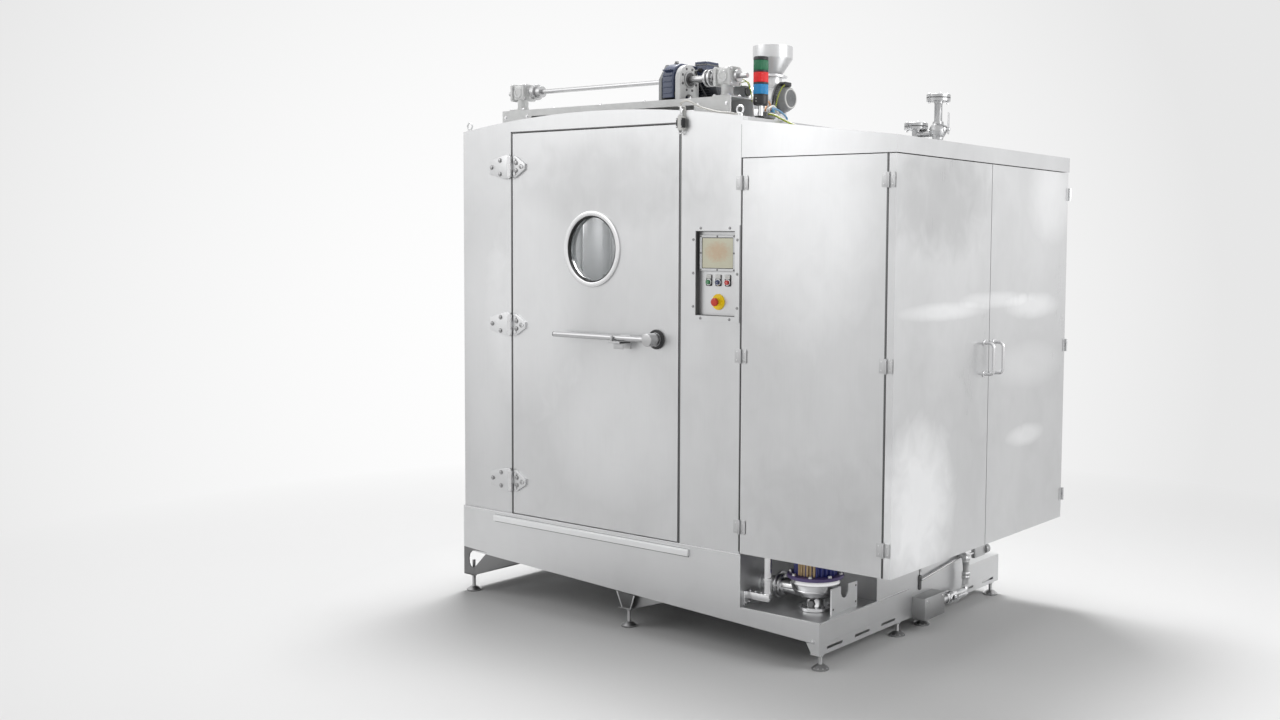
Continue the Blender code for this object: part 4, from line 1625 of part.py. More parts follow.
def build_pump():
    """Upright wash pump: casing, impeller and motor."""
    place = (PUMP_X, PUMP_Y)
    base = TRAY_Z + SEAT_GAP
    ring_top = base + PUMP_RING_HEIGHT
    low, high = PUMP_VOLUTE_BOTTOM, PUMP_VOLUTE_TOP
    bowl = [(PUMP_VOLUTE_RADIUS * wide, low + PUMP_VOLUTE_HEIGHT * high_share)
            for wide, high_share in PUMP_BOWL_SHARES]
    room = [(radius - PUMP_WALL, height + PUMP_WALL / 2) for radius, height in reversed(bowl)]
    shaft_bore = running_bore(PUMP_SHAFT_RADIUS)
    casing = Shape().turned("Z", place, [
        (0, base), (PUMP_RING_RADIUS, base), (PUMP_RING_RADIUS, ring_top),
        (PUMP_BOSS_RADIUS, ring_top), (PUMP_BOSS_RADIUS, low)] + bowl + [
        (PUMP_VOLUTE_RADIUS, high), (shaft_bore, high), (shaft_bore, high - PUMP_WALL),
        (PUMP_VOLUTE_RADIUS - PUMP_WALL, high - PUMP_WALL)] + room + [
        (0, low + PUMP_WALL)], FINE_SIDES)
    split = PUMP_BAY_LEFT + SUCTION_SPLIT + SUCTION_CLAMP_GAP / 2
    suction = Shape().turned("X", (PUMP_Y, SUCTION_Z), [
        (0, split), (SUCTION_CLAMP_RADIUS, split),
        (SUCTION_CLAMP_RADIUS, split + SUCTION_CLAMP_WIDTH),
        (SUCTION_RADIUS, split + SUCTION_CLAMP_WIDTH),
        (SUCTION_RADIUS, PUMP_X - PUMP_RING_RADIUS), (0, PUMP_X - PUMP_RING_RADIUS)],
        ROUND_SIDES)
    bore = Shape().rod("X", (PUMP_Y, SUCTION_Z), split - OVERRUN,
                       PUMP_X - PUMP_WHEEL_RADIUS - PUMP_WALL / 2,
                       SUCTION_RADIUS - PUMP_WALL / 2)
    piece("pump_casing", "polished steel", casing, joins=[suction], cuts=[bore])

    wheel_low = low + 2 * PUMP_WALL
    shaft_top = high + PUMP_FLANGE_THICKNESS + PUMP_WALL
    wheel = Shape().turned("Z", place, [
        (0, wheel_low), (PUMP_WHEEL_RADIUS, wheel_low),
        (PUMP_WHEEL_RADIUS, wheel_low + PUMP_WHEEL_THICKNESS),
        (PUMP_SHAFT_RADIUS, wheel_low + PUMP_WHEEL_THICKNESS), (PUMP_SHAFT_RADIUS, shaft_top),
        (0, shaft_top)], ROUND_SIDES)
    piece("pump_impeller", "brushed steel", wheel, pivot=(PUMP_X, PUMP_Y, low))

    flange_low = high + SEAT_GAP
    flange_high = flange_low + PUMP_FLANGE_THICKNESS
    top = flange_high + PUMP_MOTOR_HEIGHT
    core = PUMP_MOTOR_RADIUS - PUMP_RIB_DEPTH
    motor = Shape().turned("Z", place, [
        (0, flange_low), (PUMP_FLANGE_RADIUS, flange_low), (PUMP_FLANGE_RADIUS, flange_high),
        (core, flange_high), (core, top), (0, top)], FINE_SIDES)
    ribs, bolts = Shape(), Shape()
    for k in range(PUMP_RIBS):
        angle = math.tau * k / PUMP_RIBS
        along = Vector((math.cos(angle), math.sin(angle)))
        across = Vector((-along.y, along.x)) * PUMP_RIB_WIDTH / 2
        near, far = along * (core - PUMP_RIB_DEPTH), along * PUMP_MOTOR_RADIUS
        ribs.prism("Z", [(PUMP_X + p.x, PUMP_Y + p.y) for p in (
            near - across, far - across, far + across, near + across)],
            flange_high - PUMP_FLANGE_THICKNESS / 2, top - PUMP_RIB_DEPTH)
    circle = PUMP_FLANGE_RADIUS - PUMP_BOLT_INSET
    for k in range(PUMP_BOLTS):
        angle = math.tau * (k + 0.5) / PUMP_BOLTS
        bolts.rod("Z", (PUMP_X + circle * math.cos(angle), PUMP_Y + circle * math.sin(angle)),
                  flange_high - WELD_OVERLAP, flange_high + PUMP_BOLT_HEIGHT,
                  PUMP_BOLT_RADIUS, BOLT_SIDES)
    socket = Shape().rod("Z", place, flange_low - OVERRUN, shaft_top + RUNNING_GAP,
                         running_bore(PUMP_SHAFT_RADIUS), SMALL_SIDES)
    piece("pump_motor", "motor blue", motor, joins=[ribs, bolts], cuts=[socket])


def build_pump_riser():
    """Delivery pipe up through the bay, on its square-tube bracket."""
    wall = PUMP_BAY_LEFT + SEAT_GAP
    tube = SUPPORT_TUBE / 2
    arm_low = TRAY_Z + SUPPORT_HEIGHT
    arm_high = arm_low + SUPPORT_TUBE
    bracket = Shape().box(
        (wall, RISER_Y - tube - SUPPORT_BRACKET, arm_low - SUPPORT_HEIGHT + SUPPORT_BRACKET),
        (wall + SUPPORT_BRACKET, RISER_Y + tube + SUPPORT_BRACKET,
         arm_low + SUPPORT_BRACKET_HEIGHT))
    arm = Shape().box((wall + SUPPORT_BRACKET / 2, RISER_Y - tube, arm_low),
                      (RISER_X + tube, RISER_Y + tube, arm_high))
    riser = Shape().rod("Z", (RISER_X, RISER_Y), arm_high - tube, PLINTH_TOP, RISER_RADIUS)
    piece("pump_riser", "polished steel", arm, joins=[bracket, riser])


def build_drain():
    """Drain box, ball valve with its lever, and the pipe back to the tank."""
    wall = BASE_WIDTH + SEAT_GAP
    x, z, pipe = DRAIN_PIPE_X, DRAIN_PIPE_Z, DRAIN_PIPE_RADIUS
    back = DRAIN_BOX_FRONT + DRAIN_BOX_LENGTH
    box = Shape().box((wall, DRAIN_BOX_FRONT, DRAIN_BOX_BOTTOM),
                      (wall + DRAIN_BOX_WIDTH, back, DRAIN_BOX_BOTTOM + DRAIN_BOX_HEIGHT))
    route = Shape().pipe(rounded_route([
        (x, back - pipe, z), (x, DRAIN_RISER_Y, z), (x, DRAIN_RISER_Y, DRAIN_RISER_TOP),
        (wall, DRAIN_RISER_Y, DRAIN_RISER_TOP)], DRAIN_BEND), pipe)
    half = DRAIN_VALVE_LENGTH / 2
    valve = Shape().rod("Y", (x, z), DRAIN_VALVE_Y - half, DRAIN_VALVE_Y + half,
                        DRAIN_VALVE_RADIUS)
    nuts = Shape()
    for side in (-1, 1):
        start = DRAIN_VALVE_Y + side * (half - WELD_OVERLAP)
        end = start + side * DRAIN_NUT_LENGTH
        nuts.rod("Y", (x, z), min(start, end), max(start, end), DRAIN_NUT_RADIUS, BOLT_SIDES)
    stem_end = x + DRAIN_VALVE_RADIUS + DRAIN_STEM_LENGTH
    stem = Shape().rod("X", (DRAIN_VALVE_Y, z), x, stem_end, DRAIN_STEM_RADIUS, SMALL_SIDES)
    piece("drain_pipework", "brushed steel", box, joins=[route, valve, nuts, stem])

    start = x + DRAIN_VALVE_RADIUS + DRAIN_STEM_LENGTH / 4
    hub = Shape().rod("X", (DRAIN_VALVE_Y, z), start, start + DRAIN_LEVER_THICKNESS,
                      DRAIN_LEVER_WIDTH)
    arm = Shape().box(
        (start, DRAIN_VALVE_Y, z - DRAIN_LEVER_WIDTH / 2),
        (start + DRAIN_LEVER_THICKNESS, DRAIN_VALVE_Y + DRAIN_LEVER_LENGTH,
         z + DRAIN_LEVER_WIDTH / 2))
    bore = Shape().rod("X", (DRAIN_VALVE_Y, z), start - OVERRUN, start + OVERRUN,
                       running_bore(DRAIN_STEM_RADIUS), SMALL_SIDES)
    piece("drain_valve_lever", "polished steel", hub, joins=[arm], cuts=[bore],
          pivot=(x, DRAIN_VALVE_Y, z))


def build_cabin():
    """Build every sub-part of the cabin."""
    clear_scene()
    build_sump_tank()
    build_floor_grate()
    build_legs()
    build_chamber()
    build_wash_door()
    build_door_hinges()
    build_door_lever()
    build_interlock_switch()
    build_drive_beam()
    build_gearbox("left_gearbox", COLUMN_LEFT_X)
    build_gearbox("right_gearbox", COLUMN_RIGHT_X)
    build_gear_motor()
    build_bearing_plate()
    build_drive_shaft()
    build_spray_column("spray_column_left", COLUMN_LEFT_X)
    build_spray_column("spray_column_right", COLUMN_RIGHT_X)
    build_stack_light()
    build_exhaust()
    build_steam_pipework()
    build_roof_cables()
    build_cabinet_shell()
    build_cabinet_doors()
    build_control_panel()
    build_pump()
    build_pump_riser()
    build_drain()


build_cabin()
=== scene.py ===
"""Looks of a walk-in trolley washing cabin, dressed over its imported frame.

Units are metres, +Z is up and the wash door faces -Y. Places are first given in cabin
coordinates: x from the chamber's left face, y back from the front face, z up from the
floor; ``at`` moves them into the part's own frame.
"""
import logging
import math
from dataclasses import dataclass
from enum import Enum
from typing import Any, Iterable, Optional, Sequence, Union

import bpy
import numpy as np
from mathutils import Matrix


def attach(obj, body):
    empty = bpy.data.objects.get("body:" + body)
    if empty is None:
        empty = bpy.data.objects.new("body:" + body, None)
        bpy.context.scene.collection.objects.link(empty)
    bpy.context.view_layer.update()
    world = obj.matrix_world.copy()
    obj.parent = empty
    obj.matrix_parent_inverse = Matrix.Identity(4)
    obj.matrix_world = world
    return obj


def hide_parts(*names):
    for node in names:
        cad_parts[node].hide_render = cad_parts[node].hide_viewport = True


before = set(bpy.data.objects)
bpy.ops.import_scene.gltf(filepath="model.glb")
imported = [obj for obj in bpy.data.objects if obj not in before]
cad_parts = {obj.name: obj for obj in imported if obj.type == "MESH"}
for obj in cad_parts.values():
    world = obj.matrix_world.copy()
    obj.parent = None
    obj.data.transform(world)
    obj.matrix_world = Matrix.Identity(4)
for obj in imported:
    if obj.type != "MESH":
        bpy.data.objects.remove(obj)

LOG = logging.getLogger("cabin")
ORIGIN = np.array((-1.402, -0.84935, 0.0))
PLINTH_TOP = 0.48
CHAMBER_WIDTH, CABINET_WIDTH = 1.918, 0.832
WALL_HEIGHT, ROOF_RISE = 2.05, 0.068
CAP_HEIGHT, CAP_FALL = 2.03, 0.097
BODY_DEPTH = 1.77
HINGE_HEIGHTS = (2.332, 1.498, 0.66)
FIT = 0.0003  # clearance between a piece and the one that it sits on
SHARP_EDGE = math.radians(34)
RGB = tuple[float, float, float]
Points = np.ndarray


def at(x: float, y: float, z: float) -> Points:
    """Place in the part's own frame of a point in cabin coordinates."""
    return ORIGIN + (x, y, z)


# ------------------------------------------------------------------ shader expressions


class Wire:
    """A shader socket that can stand in a Python sum, product or power."""

    def __init__(self, recipe: "Recipe", socket: bpy.types.NodeSocket) -> None:
        """Keep the socket and the recipe that its Math nodes are added to."""
        self.recipe = recipe
        self.socket = socket

    def math(self, operation: str, *values: "Value") -> "Wire":
        """Result of one Math node on the given values."""
        node = self.recipe.node("ShaderNodeMath", {"operation": operation},
                                dict(enumerate(values)))
        return Wire(self.recipe, node.outputs[0])

    def __add__(self, other: "Value") -> "Wire":
        """self + other."""
        return self.math("ADD", self, other)

    def __sub__(self, other: "Value") -> "Wire":
        """self - other."""
        return self.math("SUBTRACT", self, other)

    def __rsub__(self, other: "Value") -> "Wire":
        """other - self."""
        return self.math("SUBTRACT", other, self)

    def __mul__(self, other: "Value") -> "Wire":
        """self * other."""
        return self.math("MULTIPLY", self, other)

    def __pow__(self, other: "Value") -> "Wire":
        """self to the power of other."""
        return self.math("POWER", self, other)

    __radd__ = __add__
    __rmul__ = __mul__

    def ramp(self, low: float, high: float) -> "Wire":
        """0 below low, 1 above high and a straight slope between."""
        node = self.recipe.node("ShaderNodeMapRange", {"clamp": True},
                                {"Value": self, "From Min": low, "From Max": high})
        return Wire(self.recipe, node.outputs[0])


Value = Union[Wire, float, Sequence[float]]


class Recipe:
    """Node tree of one material or of the world."""

    def __init__(self, owner: Union[str, bpy.types.World]) -> None:
        """Start a material of that name, or a world, with an empty node tree."""
        self.material = bpy.data.materials.new(owner) if isinstance(owner, str) else owner
        self.material.use_nodes = True
        self.tree = self.material.node_tree
        self.tree.nodes.clear()
        self.place = self.node("ShaderNodeTexCoord", {}, {}).outputs["Object"]

    def node(self, kind: str, settings: dict[str, Any],
             sockets: dict[Union[str, int], Value]) -> bpy.types.Node:
        """Add a node of this kind: its settings first, then values or links of its sockets."""
        node = self.tree.nodes.new(kind)
        for key, value in settings.items():
            setattr(node, key, value)
        for key, value in sockets.items():
            socket = node.inputs[key]
            if isinstance(value, Wire):
                self.tree.links.new(value.socket, socket)
            elif isinstance(value, bpy.types.NodeSocket):
                self.tree.links.new(value, socket)
            else:
                socket.default_value = value
        return node

    def noise(self, scale: Sequence[float], detail: float = 2.0,
              distortion: float = 0.0) -> Wire:
        """Cloudy value around 0.5 whose waves per metre differ along x, y and z."""
        mapping = self.node("ShaderNodeMapping", {}, {"Vector": self.place, "Scale": scale})
        noise = self.node("ShaderNodeTexNoise", {}, {
            "Vector": mapping.outputs[0], "Scale": 1.0, "Detail": detail,
            "Distortion": distortion})
        return Wire(self, noise.outputs[0])

    def blend(self, share: Value, first: Value, second: Value) -> Wire:
        """Colour that goes from first at share 0 to second at share 1."""
        node = self.node("ShaderNodeMix", {"data_type": "RGBA"},
                         {0: share, 6: first, 7: second})
        return Wire(self, node.outputs[2])

    def shade(self, colour: RGB, amount: Value) -> Wire:
        """Colour multiplied by an amount near 1."""
        node = self.node("ShaderNodeVectorMath", {"operation": "SCALE"},
                         {0: colour, "Scale": amount})
        return Wire(self, node.outputs[0])

    def bump(self, height: Wire, depth: float, strength: float = 0.5) -> Wire:
        """Normal of a surface that stands out by depth where height is 1."""
        node = self.node("ShaderNodeBump", {}, {"Height": height, "Distance": depth,
                                                "Strength": strength})
        return Wire(self, node.outputs[0])

    def finish(self, sockets: dict[Union[str, int], Value]) -> bpy.types.Material:
        """Close the tree with a Principled shader that has these sockets."""
        shader = self.node("ShaderNodeBsdfPrincipled", {}, sockets)
        output = self.node("ShaderNodeOutputMaterial", {}, {})
        self.tree.links.new(shader.outputs[0], output.inputs[0])
        return self.material


def rgba(colour: RGB) -> tuple[float, float, float, float]:
    """Colour with a full alpha."""
    return (*colour, 1.0)


class Grain(Enum):
    """Direction of a sheet's brushing, as waves per metre along x, y and z."""

    UPRIGHT = (420.0, 420.0, 5.0)
    LEVEL = (6.0, 6.0, 420.0)
    ALONG_X = (6.0, 420.0, 420.0)
    NONE = (60.0, 60.0, 60.0)


# --------------------------------------------------------------------------- finishes


@dataclass(frozen=True)
class SheetSteel:
    """Satin stainless: brushing lines, cloudy rolling marks, fine scuffs, painted reflections."""

    name: str
    tone: float = 0.62
    roughness: float = 0.36
    grain: Grain = Grain.UPRIGHT
    clouds: float = 0.05
    # marks are patches of painted reflection, and of painted shade where the gain is below 0.
    marks: tuple[tuple[float, float, float, float, float], ...] = ()
    across: int = 1

    def build(self) -> bpy.types.Material:
        """tone * (1 + clouds + lines + marks), roughness + lines, bump from the lines.

        A mark is a painted reflection, or painted shade where its gain is below 0: its place
        across (x or y, by the field of that name), z, half width, half height and gain. It fades
        as
        1 - the sum of the squared shares.
        """
        r = Recipe(self.name)
        lines = r.noise(self.grain.value, 3.0) - 0.5
        cloud = r.noise((1.6, 1.6, 1.1), 2.5, 0.6) - 0.5
        spots = r.noise((9.0, 9.0, 7.0), 3.0, 0.8) - 0.5
        light = cloud * (2.2 * self.clouds) + lines * 0.07 + spots * (1.1 * self.clouds) + 1.0
        if self.marks:
            split = r.node("ShaderNodeSeparateXYZ", {}, {0: r.place}).outputs
            across, height = Wire(r, split[self.across]), Wire(r, split[2])
            for y, z, wide, high, gain in self.marks:
                reach = ((across - y) * (1 / wide)) ** 2.0 + ((height - z) * (1 / high)) ** 2.0
                light = light + (1.0 - (reach + spots * 0.9)).ramp(0.0, 0.9) * gain
        colour = r.shade((self.tone * 0.995, self.tone, self.tone * 1.008), light)
        rough = cloud * 0.16 + spots * 0.1 + lines * 0.1 + self.roughness
        return r.finish({"Base Color": colour, "Metallic": 0.9, "Roughness": rough,
                         "Normal": r.bump(lines, 0.0003, 0.12)})


@dataclass(frozen=True)
class PolishedSteel:
    """Bright stainless tube or bar with faint turning marks."""

    name: str
    tone: float = 0.78
    roughness: float = 0.16

    def build(self) -> bpy.types.Material:
        """tone and roughness, both slightly clouded."""
        r = Recipe(self.name)
        cloud = r.noise((14.0, 14.0, 14.0), 2.0) - 0.5
        fine = r.noise((240.0, 240.0, 240.0), 2.0) - 0.5
        colour = r.shade((self.tone, self.tone, self.tone * 1.01), cloud * 0.08 + 1.0)
        return r.finish({"Base Color": colour, "Metallic": 1.0,
                         "Roughness": cloud * 0.08 + fine * 0.06 + self.roughness,
                         "Normal": r.bump(fine, 0.0002, 0.08)})


@dataclass(frozen=True)
class CastPaint:
    """Paint over a casting: a slight orange peel, dust in broad clouds."""

    name: str
    colour: RGB
    roughness: float = 0.38
    dust: float = 0.1

    def build(self) -> bpy.types.Material:
        """colour * (1 + dust clouds) with a fine bump."""
        r = Recipe(self.name)
        cloud = r.noise((18.0, 18.0, 18.0), 3.0, 0.5) - 0.5
        peel = r.noise((420.0, 420.0, 420.0), 2.0)
        colour = r.shade(self.colour, cloud * (2.0 * self.dust) + 1.0)
        return r.finish({"Base Color": colour, "Roughness": cloud * 0.14 + self.roughness,
                         "Coat Weight": 0.15, "Normal": r.bump(peel, 0.0004, 0.15)})


@dataclass(frozen=True)
class Moulding:
    """Moulded plastic or rubber with a fine grain."""

    name: str
    colour: RGB
    roughness: float = 0.45
    coat: float = 0.0
    glow: float = 0.0

    def build(self) -> bpy.types.Material:
        """colour with a slight cloud, fine grain in the bump, an even glow (on the stop's parts,
        painted light).
        """
        r = Recipe(self.name)
        cloud = r.noise((40.0, 40.0, 40.0), 2.0) - 0.5
        grain = r.noise((900.0, 900.0, 900.0), 2.0)
        return r.finish({"Base Color": r.shade(self.colour, cloud * 0.12 + 1.0),
                         "Roughness": cloud * 0.08 + self.roughness,
                         "Coat Weight": self.coat, "Emission Color": rgba(self.colour),
                         "Emission Strength": self.glow,
                         "Normal": r.bump(grain, 0.0002, 0.12)})


@dataclass(frozen=True)
class TintedGlass:
    """Grey toughened glass that half shows what is behind it."""

    name: str
    colour: RGB = (0.50, 0.53, 0.54)

    def build(self) -> bpy.types.Material:
        """Clear tint with a gloss coat; faint wiping marks in the roughness."""
        r = Recipe(self.name)
        wipe = r.noise((7.0, 7.0, 16.0), 3.0, 1.2)
        return r.finish({"Base Color": rgba(self.colour), "Roughness": wipe * 0.06 + 0.03,
                         "Alpha": wipe * 0.08 + 0.26, "Coat Weight": 1.0})


@dataclass(frozen=True)
class TwoTone:
    """Jacket of two colours in turn along its length, as on an earth wire."""

    name: str
    first: RGB
    second: RGB
    pitch: float = 0.006

    def build(self) -> bpy.types.Material:
        """Bands of two colours, one pitch wide, across the direction x + y + z."""
        r = Recipe(self.name)
        wave = r.node("ShaderNodeTexWave", {"bands_direction": "DIAGONAL"},
                      {"Vector": r.place, "Scale": 0.3 / self.pitch, "Distortion": 0.4})
        share = Wire(r, wave.outputs[0]).ramp(0.45, 0.55)
        return r.finish({"Base Color": r.blend(share, rgba(self.first), rgba(self.second)),
                         "Roughness": 0.4})


@dataclass(frozen=True)
class LitScreen:
    """Pale touch screen with a warm blurred patch and nothing written on it."""

    name: str
    paper: RGB = (0.62, 0.60, 0.46)
    warm: RGB = (0.60, 0.41, 0.26)
    middle: tuple[float, float] = (0.362, 1.9)

    def build(self) -> bpy.types.Material:
        """Warm patch as 1 - the sum of the squared shares of its size, with faint rows."""
        r = Recipe(self.name)
        split = r.node("ShaderNodeSeparateXYZ", {}, {0: r.place}).outputs
        across = (Wire(r, split[0]) - self.middle[0]) * (1 / 0.085)
        height = (Wire(r, split[2]) - self.middle[1]) * (1 / 0.055)
        cloud = r.noise((60.0, 60.0, 90.0), 3.0, 0.8)
        patch = (1.0 - (across ** 2.0 + height ** 2.0) + (cloud - 0.5) * 1.2).ramp(0.0, 0.9)
        colour = r.blend(patch * 0.7, rgba(self.paper), rgba(self.warm))
        return r.finish({"Base Color": colour, "Roughness": 0.3, "Coat Weight": 0.3,
                         "Emission Color": colour, "Emission Strength": 0.08})


class Palette:
    """Every finish of the cabin, each made once."""

    # Patches of painted reflection on the front and side sheets; a negative gain is painted shade.
    SIDE_PAINTED_LIGHT = ((-0.62, 0.76, 0.36, 0.44, 0.46), (-0.40, 1.64, 0.46, 0.045, 0.24),
                  (0.10, 1.68, 0.40, 0.045, 0.22), (0.52, 1.64, 0.34, 0.07, 0.26),
                  (0.50, 1.34, 0.40, 0.13, 0.14), (0.46, 0.98, 0.24, 0.06, 0.26),
                  (-0.45, 2.15, 0.55, 0.30, -0.16), (0.72, 2.20, 0.30, 0.26, 0.20))
    FRONT_PAINTED_LIGHT = ((0.86, 2.15, 0.46, 0.75, 0.24), (0.95, 0.70, 0.50, 0.32, -0.08),
                   (-1.22, 1.35, 0.25, 0.80, 0.12), (-0.86, 1.60, 0.40, 0.60, 0.16),
                   (-0.30, 2.25, 0.70, 0.28, -0.10), (-0.30, 1.00, 0.50, 0.42, 0.16))

    def __init__(self) -> None:
        """Make the materials from their finishes."""
        finishes = (
            SheetSteel("satin_sheet", tone=0.60, clouds=0.08, marks=self.FRONT_PAINTED_LIGHT, across=0),
            SheetSteel("satin_side_sheet", tone=0.62, roughness=0.33, clouds=0.10,
                       marks=self.SIDE_PAINTED_LIGHT),
            SheetSteel("satin_wall_sheet", tone=0.60, clouds=0.08),
            SheetSteel("leaf_sheet", 0.50, 0.42, Grain.NONE),
            SheetSteel("satin_plinth", tone=0.64, grain=Grain.LEVEL, clouds=0.06),
            # A lighter tone for the drip ledge's face: painted light.
            SheetSteel("ledge_sheet", 0.76, 0.42, Grain.LEVEL),
            # Darker tones of the same steel: painted shade on legs, gussets, gaps and parts in
            # shadow.
            SheetSteel("leg_sheet", 0.34, 0.45, Grain.LEVEL, 0.1),
            SheetSteel("gusset_sheet", 0.20, 0.45, Grain.LEVEL, 0.1),
            SheetSteel("dim_sheet", 0.13, 0.5, Grain.NONE, 0.1),
            SheetSteel("inner_sheet", tone=0.55, roughness=0.42, clouds=0.06),
            SheetSteel("roof_sheet", 0.50, 0.4, Grain.ALONG_X),
            SheetSteel("spun_sheet", 0.60, 0.34, Grain.LEVEL),
            SheetSteel("pipe_sheet", 0.40, 0.36, Grain.LEVEL),
            SheetSteel("cast_steel", 0.52, 0.45, Grain.NONE, 0.12),
            SheetSteel("shadow_sheet", 0.12, 0.6, Grain.NONE),
            PolishedSteel("bright_steel", 0.70, 0.2),
            PolishedSteel("bar_steel", 0.48, 0.3),
            PolishedSteel("bolt_steel", 0.62, 0.28),
            PolishedSteel("foot_steel", 0.36, 0.34),
            PolishedSteel("dark_bolt", 0.16, 0.4),
            CastPaint("white_enamel", (0.70, 0.705, 0.70), 0.42, 0.12),
            CastPaint("slate_enamel", (0.050, 0.066, 0.125), 0.36, 0.2),
            CastPaint("black_enamel", (0.018, 0.02, 0.028), 0.36, 0.3),
            CastPaint("grey_enamel", (0.25, 0.255, 0.26), 0.4, 0.15),
            CastPaint("blue_enamel", (0.035, 0.045, 0.25), 0.34, 0.2),
            CastPaint("violet_enamel", (0.11, 0.075, 0.22), 0.34, 0.2),
            CastPaint("copper_enamel", (0.60, 0.43, 0.22), 0.4, 0.25),
            Moulding("black_moulding", (0.018, 0.018, 0.02), 0.42),
            Moulding("black_sealing", (0.012, 0.012, 0.012), 0.65),
            Moulding("grey_moulding", (0.20, 0.205, 0.21), 0.5),
            Moulding("white_moulding", (0.72, 0.72, 0.70), 0.4),
            Moulding("grey_jacket", (0.42, 0.42, 0.41), 0.45),
            Moulding("white_jacket", (0.66, 0.65, 0.61), 0.4),
            Moulding("orange_jacket", (0.52, 0.22, 0.06), 0.45),
            Moulding("blue_jacket", (0.09, 0.27, 0.46), 0.4),
            Moulding("green_lamp", (0.002, 0.14, 0.055), 0.42, 0.1, 0.05),
            Moulding("red_lamp", (0.70, 0.003, 0.006), 0.42, 0.1, 0.14),
            Moulding("blue_lamp", (0.002, 0.22, 0.50), 0.42, 0.1, 0.1),
            Moulding("green_key", (0.02, 0.22, 0.07), 0.3, 0.5),
            Moulding("navy_key", (0.015, 0.03, 0.12), 0.3, 0.5),
            Moulding("red_key", (0.62, 0.02, 0.015), 0.3, 0.5),
            # The stop's disc and mushroom are no lamps: their faint glow is painted light.
            Moulding("yellow_disc", (0.93, 0.66, 0.008), 0.4, 0.1, 0.06),
            Moulding("stop_red", (0.62, 0.045, 0.018), 0.4, 0.1, 0.03),
            TintedGlass("tinted_glass"),
            TwoTone("earth_jacket", (0.09, 0.30, 0.03), (0.66, 0.56, 0.02)),
            LitScreen("lit_screen"),
        )
        self.materials = {finish.name: finish.build() for finish in finishes}

    def __getitem__(self, name: str) -> bpy.types.Material:
        """Material of that name."""
        return self.materials[name]


# --------------------------------------------------------------------------- surfaces


class Facing(Enum):
    """Direction a piece is built towards: its across, up and outward vectors."""

    FRONT = ((1, 0, 0), (0, 0, 1), (0, -1, 0))
    BACK = ((-1, 0, 0), (0, 0, 1), (0, 1, 0))
    RIGHT = ((0, 1, 0), (0, 0, 1), (1, 0, 0))
    LEFT = ((0, -1, 0), (0, 0, 1), (-1, 0, 0))
    UP = ((1, 0, 0), (0, 1, 0), (0, 0, 1))
    DOWN = ((1, 0, 0), (0, -1, 0), (0, 0, -1))


FRONT, BACK, RIGHT, LEFT, UP, DOWN = Facing


def axes_of(facing: Facing) -> list[Points]:
    """The facing's across, up and outward directions as arrays."""
    return [np.array(axis, float) for axis in facing.value]


def turns(count: int, start: float = 0.0) -> Points:
    """Angles of count equal steps round a full turn."""
    return np.linspace(0, math.tau, count, endpoint=False) + start


def polar(radius: Union[float, Points], angles: Points) -> Points:
    """Outline points: radius * (cos a, sin a)."""
    return np.column_stack((radius * np.cos(angles), radius * np.sin(angles)))


def around(centre: Points, radius: float, angles: Points, facing: Facing = RIGHT) -> Points:
    """Places on a circle: centre + radius * (u cos a + v sin a)."""
    return centre + polar(radius, angles) @ np.array(axes_of(facing)[:2])


def near(place: Points, *offsets: Sequence[float]) -> list[Points]:
    """Places at these offsets from a given one."""
    return [place + offset for offset in offsets]


def corners(centre: Points, wide: float, high: float, facing: Facing = RIGHT) -> Points:
    """Four places, wide to each side of a centre and high above or below it."""
    shares = [(side * wide, up * high) for side in (-1, 1) for up in (-1, 1)]
    return centre + np.array(shares) @ np.array(axes_of(facing)[:2])


def finned(outer: float, inner: float, fins: int, start: float = 0.0) -> Points:
    """Outline whose radius steps between fins and grooves, two points on each."""
    return polar(np.where(np.arange(fins * 4) % 4 < 2, outer, inner), turns(fins * 4, start))


def rounded_rectangle(width: float, height: float, radius: float, steps: int = 4) -> Points:
    """Outline around the middle: four quarter circles of the radius, joined straight."""
    turn = np.linspace(0, math.pi / 2, steps + 1)
    angles = (turn[None, :] + np.arange(4)[:, None] * math.pi / 2).ravel()
    signs = np.repeat(np.array([(1, 1), (-1, 1), (-1, -1), (1, -1)]), steps + 1, axis=0)
    corner = signs * (width / 2 - radius, height / 2 - radius)
    return corner + polar(radius, angles)


def circle(radius: float, sides: int = 48) -> Points:
    """Outline of a circle with this many sides."""
    return polar(radius, turns(sides))


def hole_like(outline: Points, radius: float, centre: tuple[float, float] = (0, 0)) -> Points:
    """Circle with one point in the direction of each point of an outline."""
    angles = np.arctan2(outline[:, 1] - centre[1], outline[:, 0] - centre[0])
    return polar(radius, angles) + centre


def inset(outline: Points, amount: float) -> Points:
    """Outline moved inwards: each corner goes along its mitre by amount."""
    edge = np.roll(outline, -1, axis=0) - outline
    length = np.maximum(np.linalg.norm(edge, axis=1), 1e-9)[:, None]
    out = np.column_stack((edge[:, 1], -edge[:, 0])) / length
    before = np.roll(out, 1, axis=0)
    mitre = (out + before) / np.maximum(1 + np.sum(out * before, axis=1), 0.4)[:, None]
    return outline - amount * mitre


def smooth_route(points: Sequence[Sequence[float]], steps: int = 8) -> Points:
    """Catmull-Rom curve through points: cubic in t between each pair of neighbours."""
    p = np.asarray(points, float)
    p = np.vstack((2 * p[0] - p[1], p, 2 * p[-1] - p[-2]))
    t = np.linspace(0, 1, steps, endpoint=False)[None, :, None]
    a, b, c, d = (p[k:len(p) - 3 + k][:, None, :] for k in range(4))
    curve = 0.5 * (2 * b + (c - a) * t + (2 * a - 5 * b + 4 * c - d) * t ** 2
                   + (3 * b - a - 3 * c + d) * t ** 3)
    return np.vstack((curve.reshape(-1, 3), p[-2]))


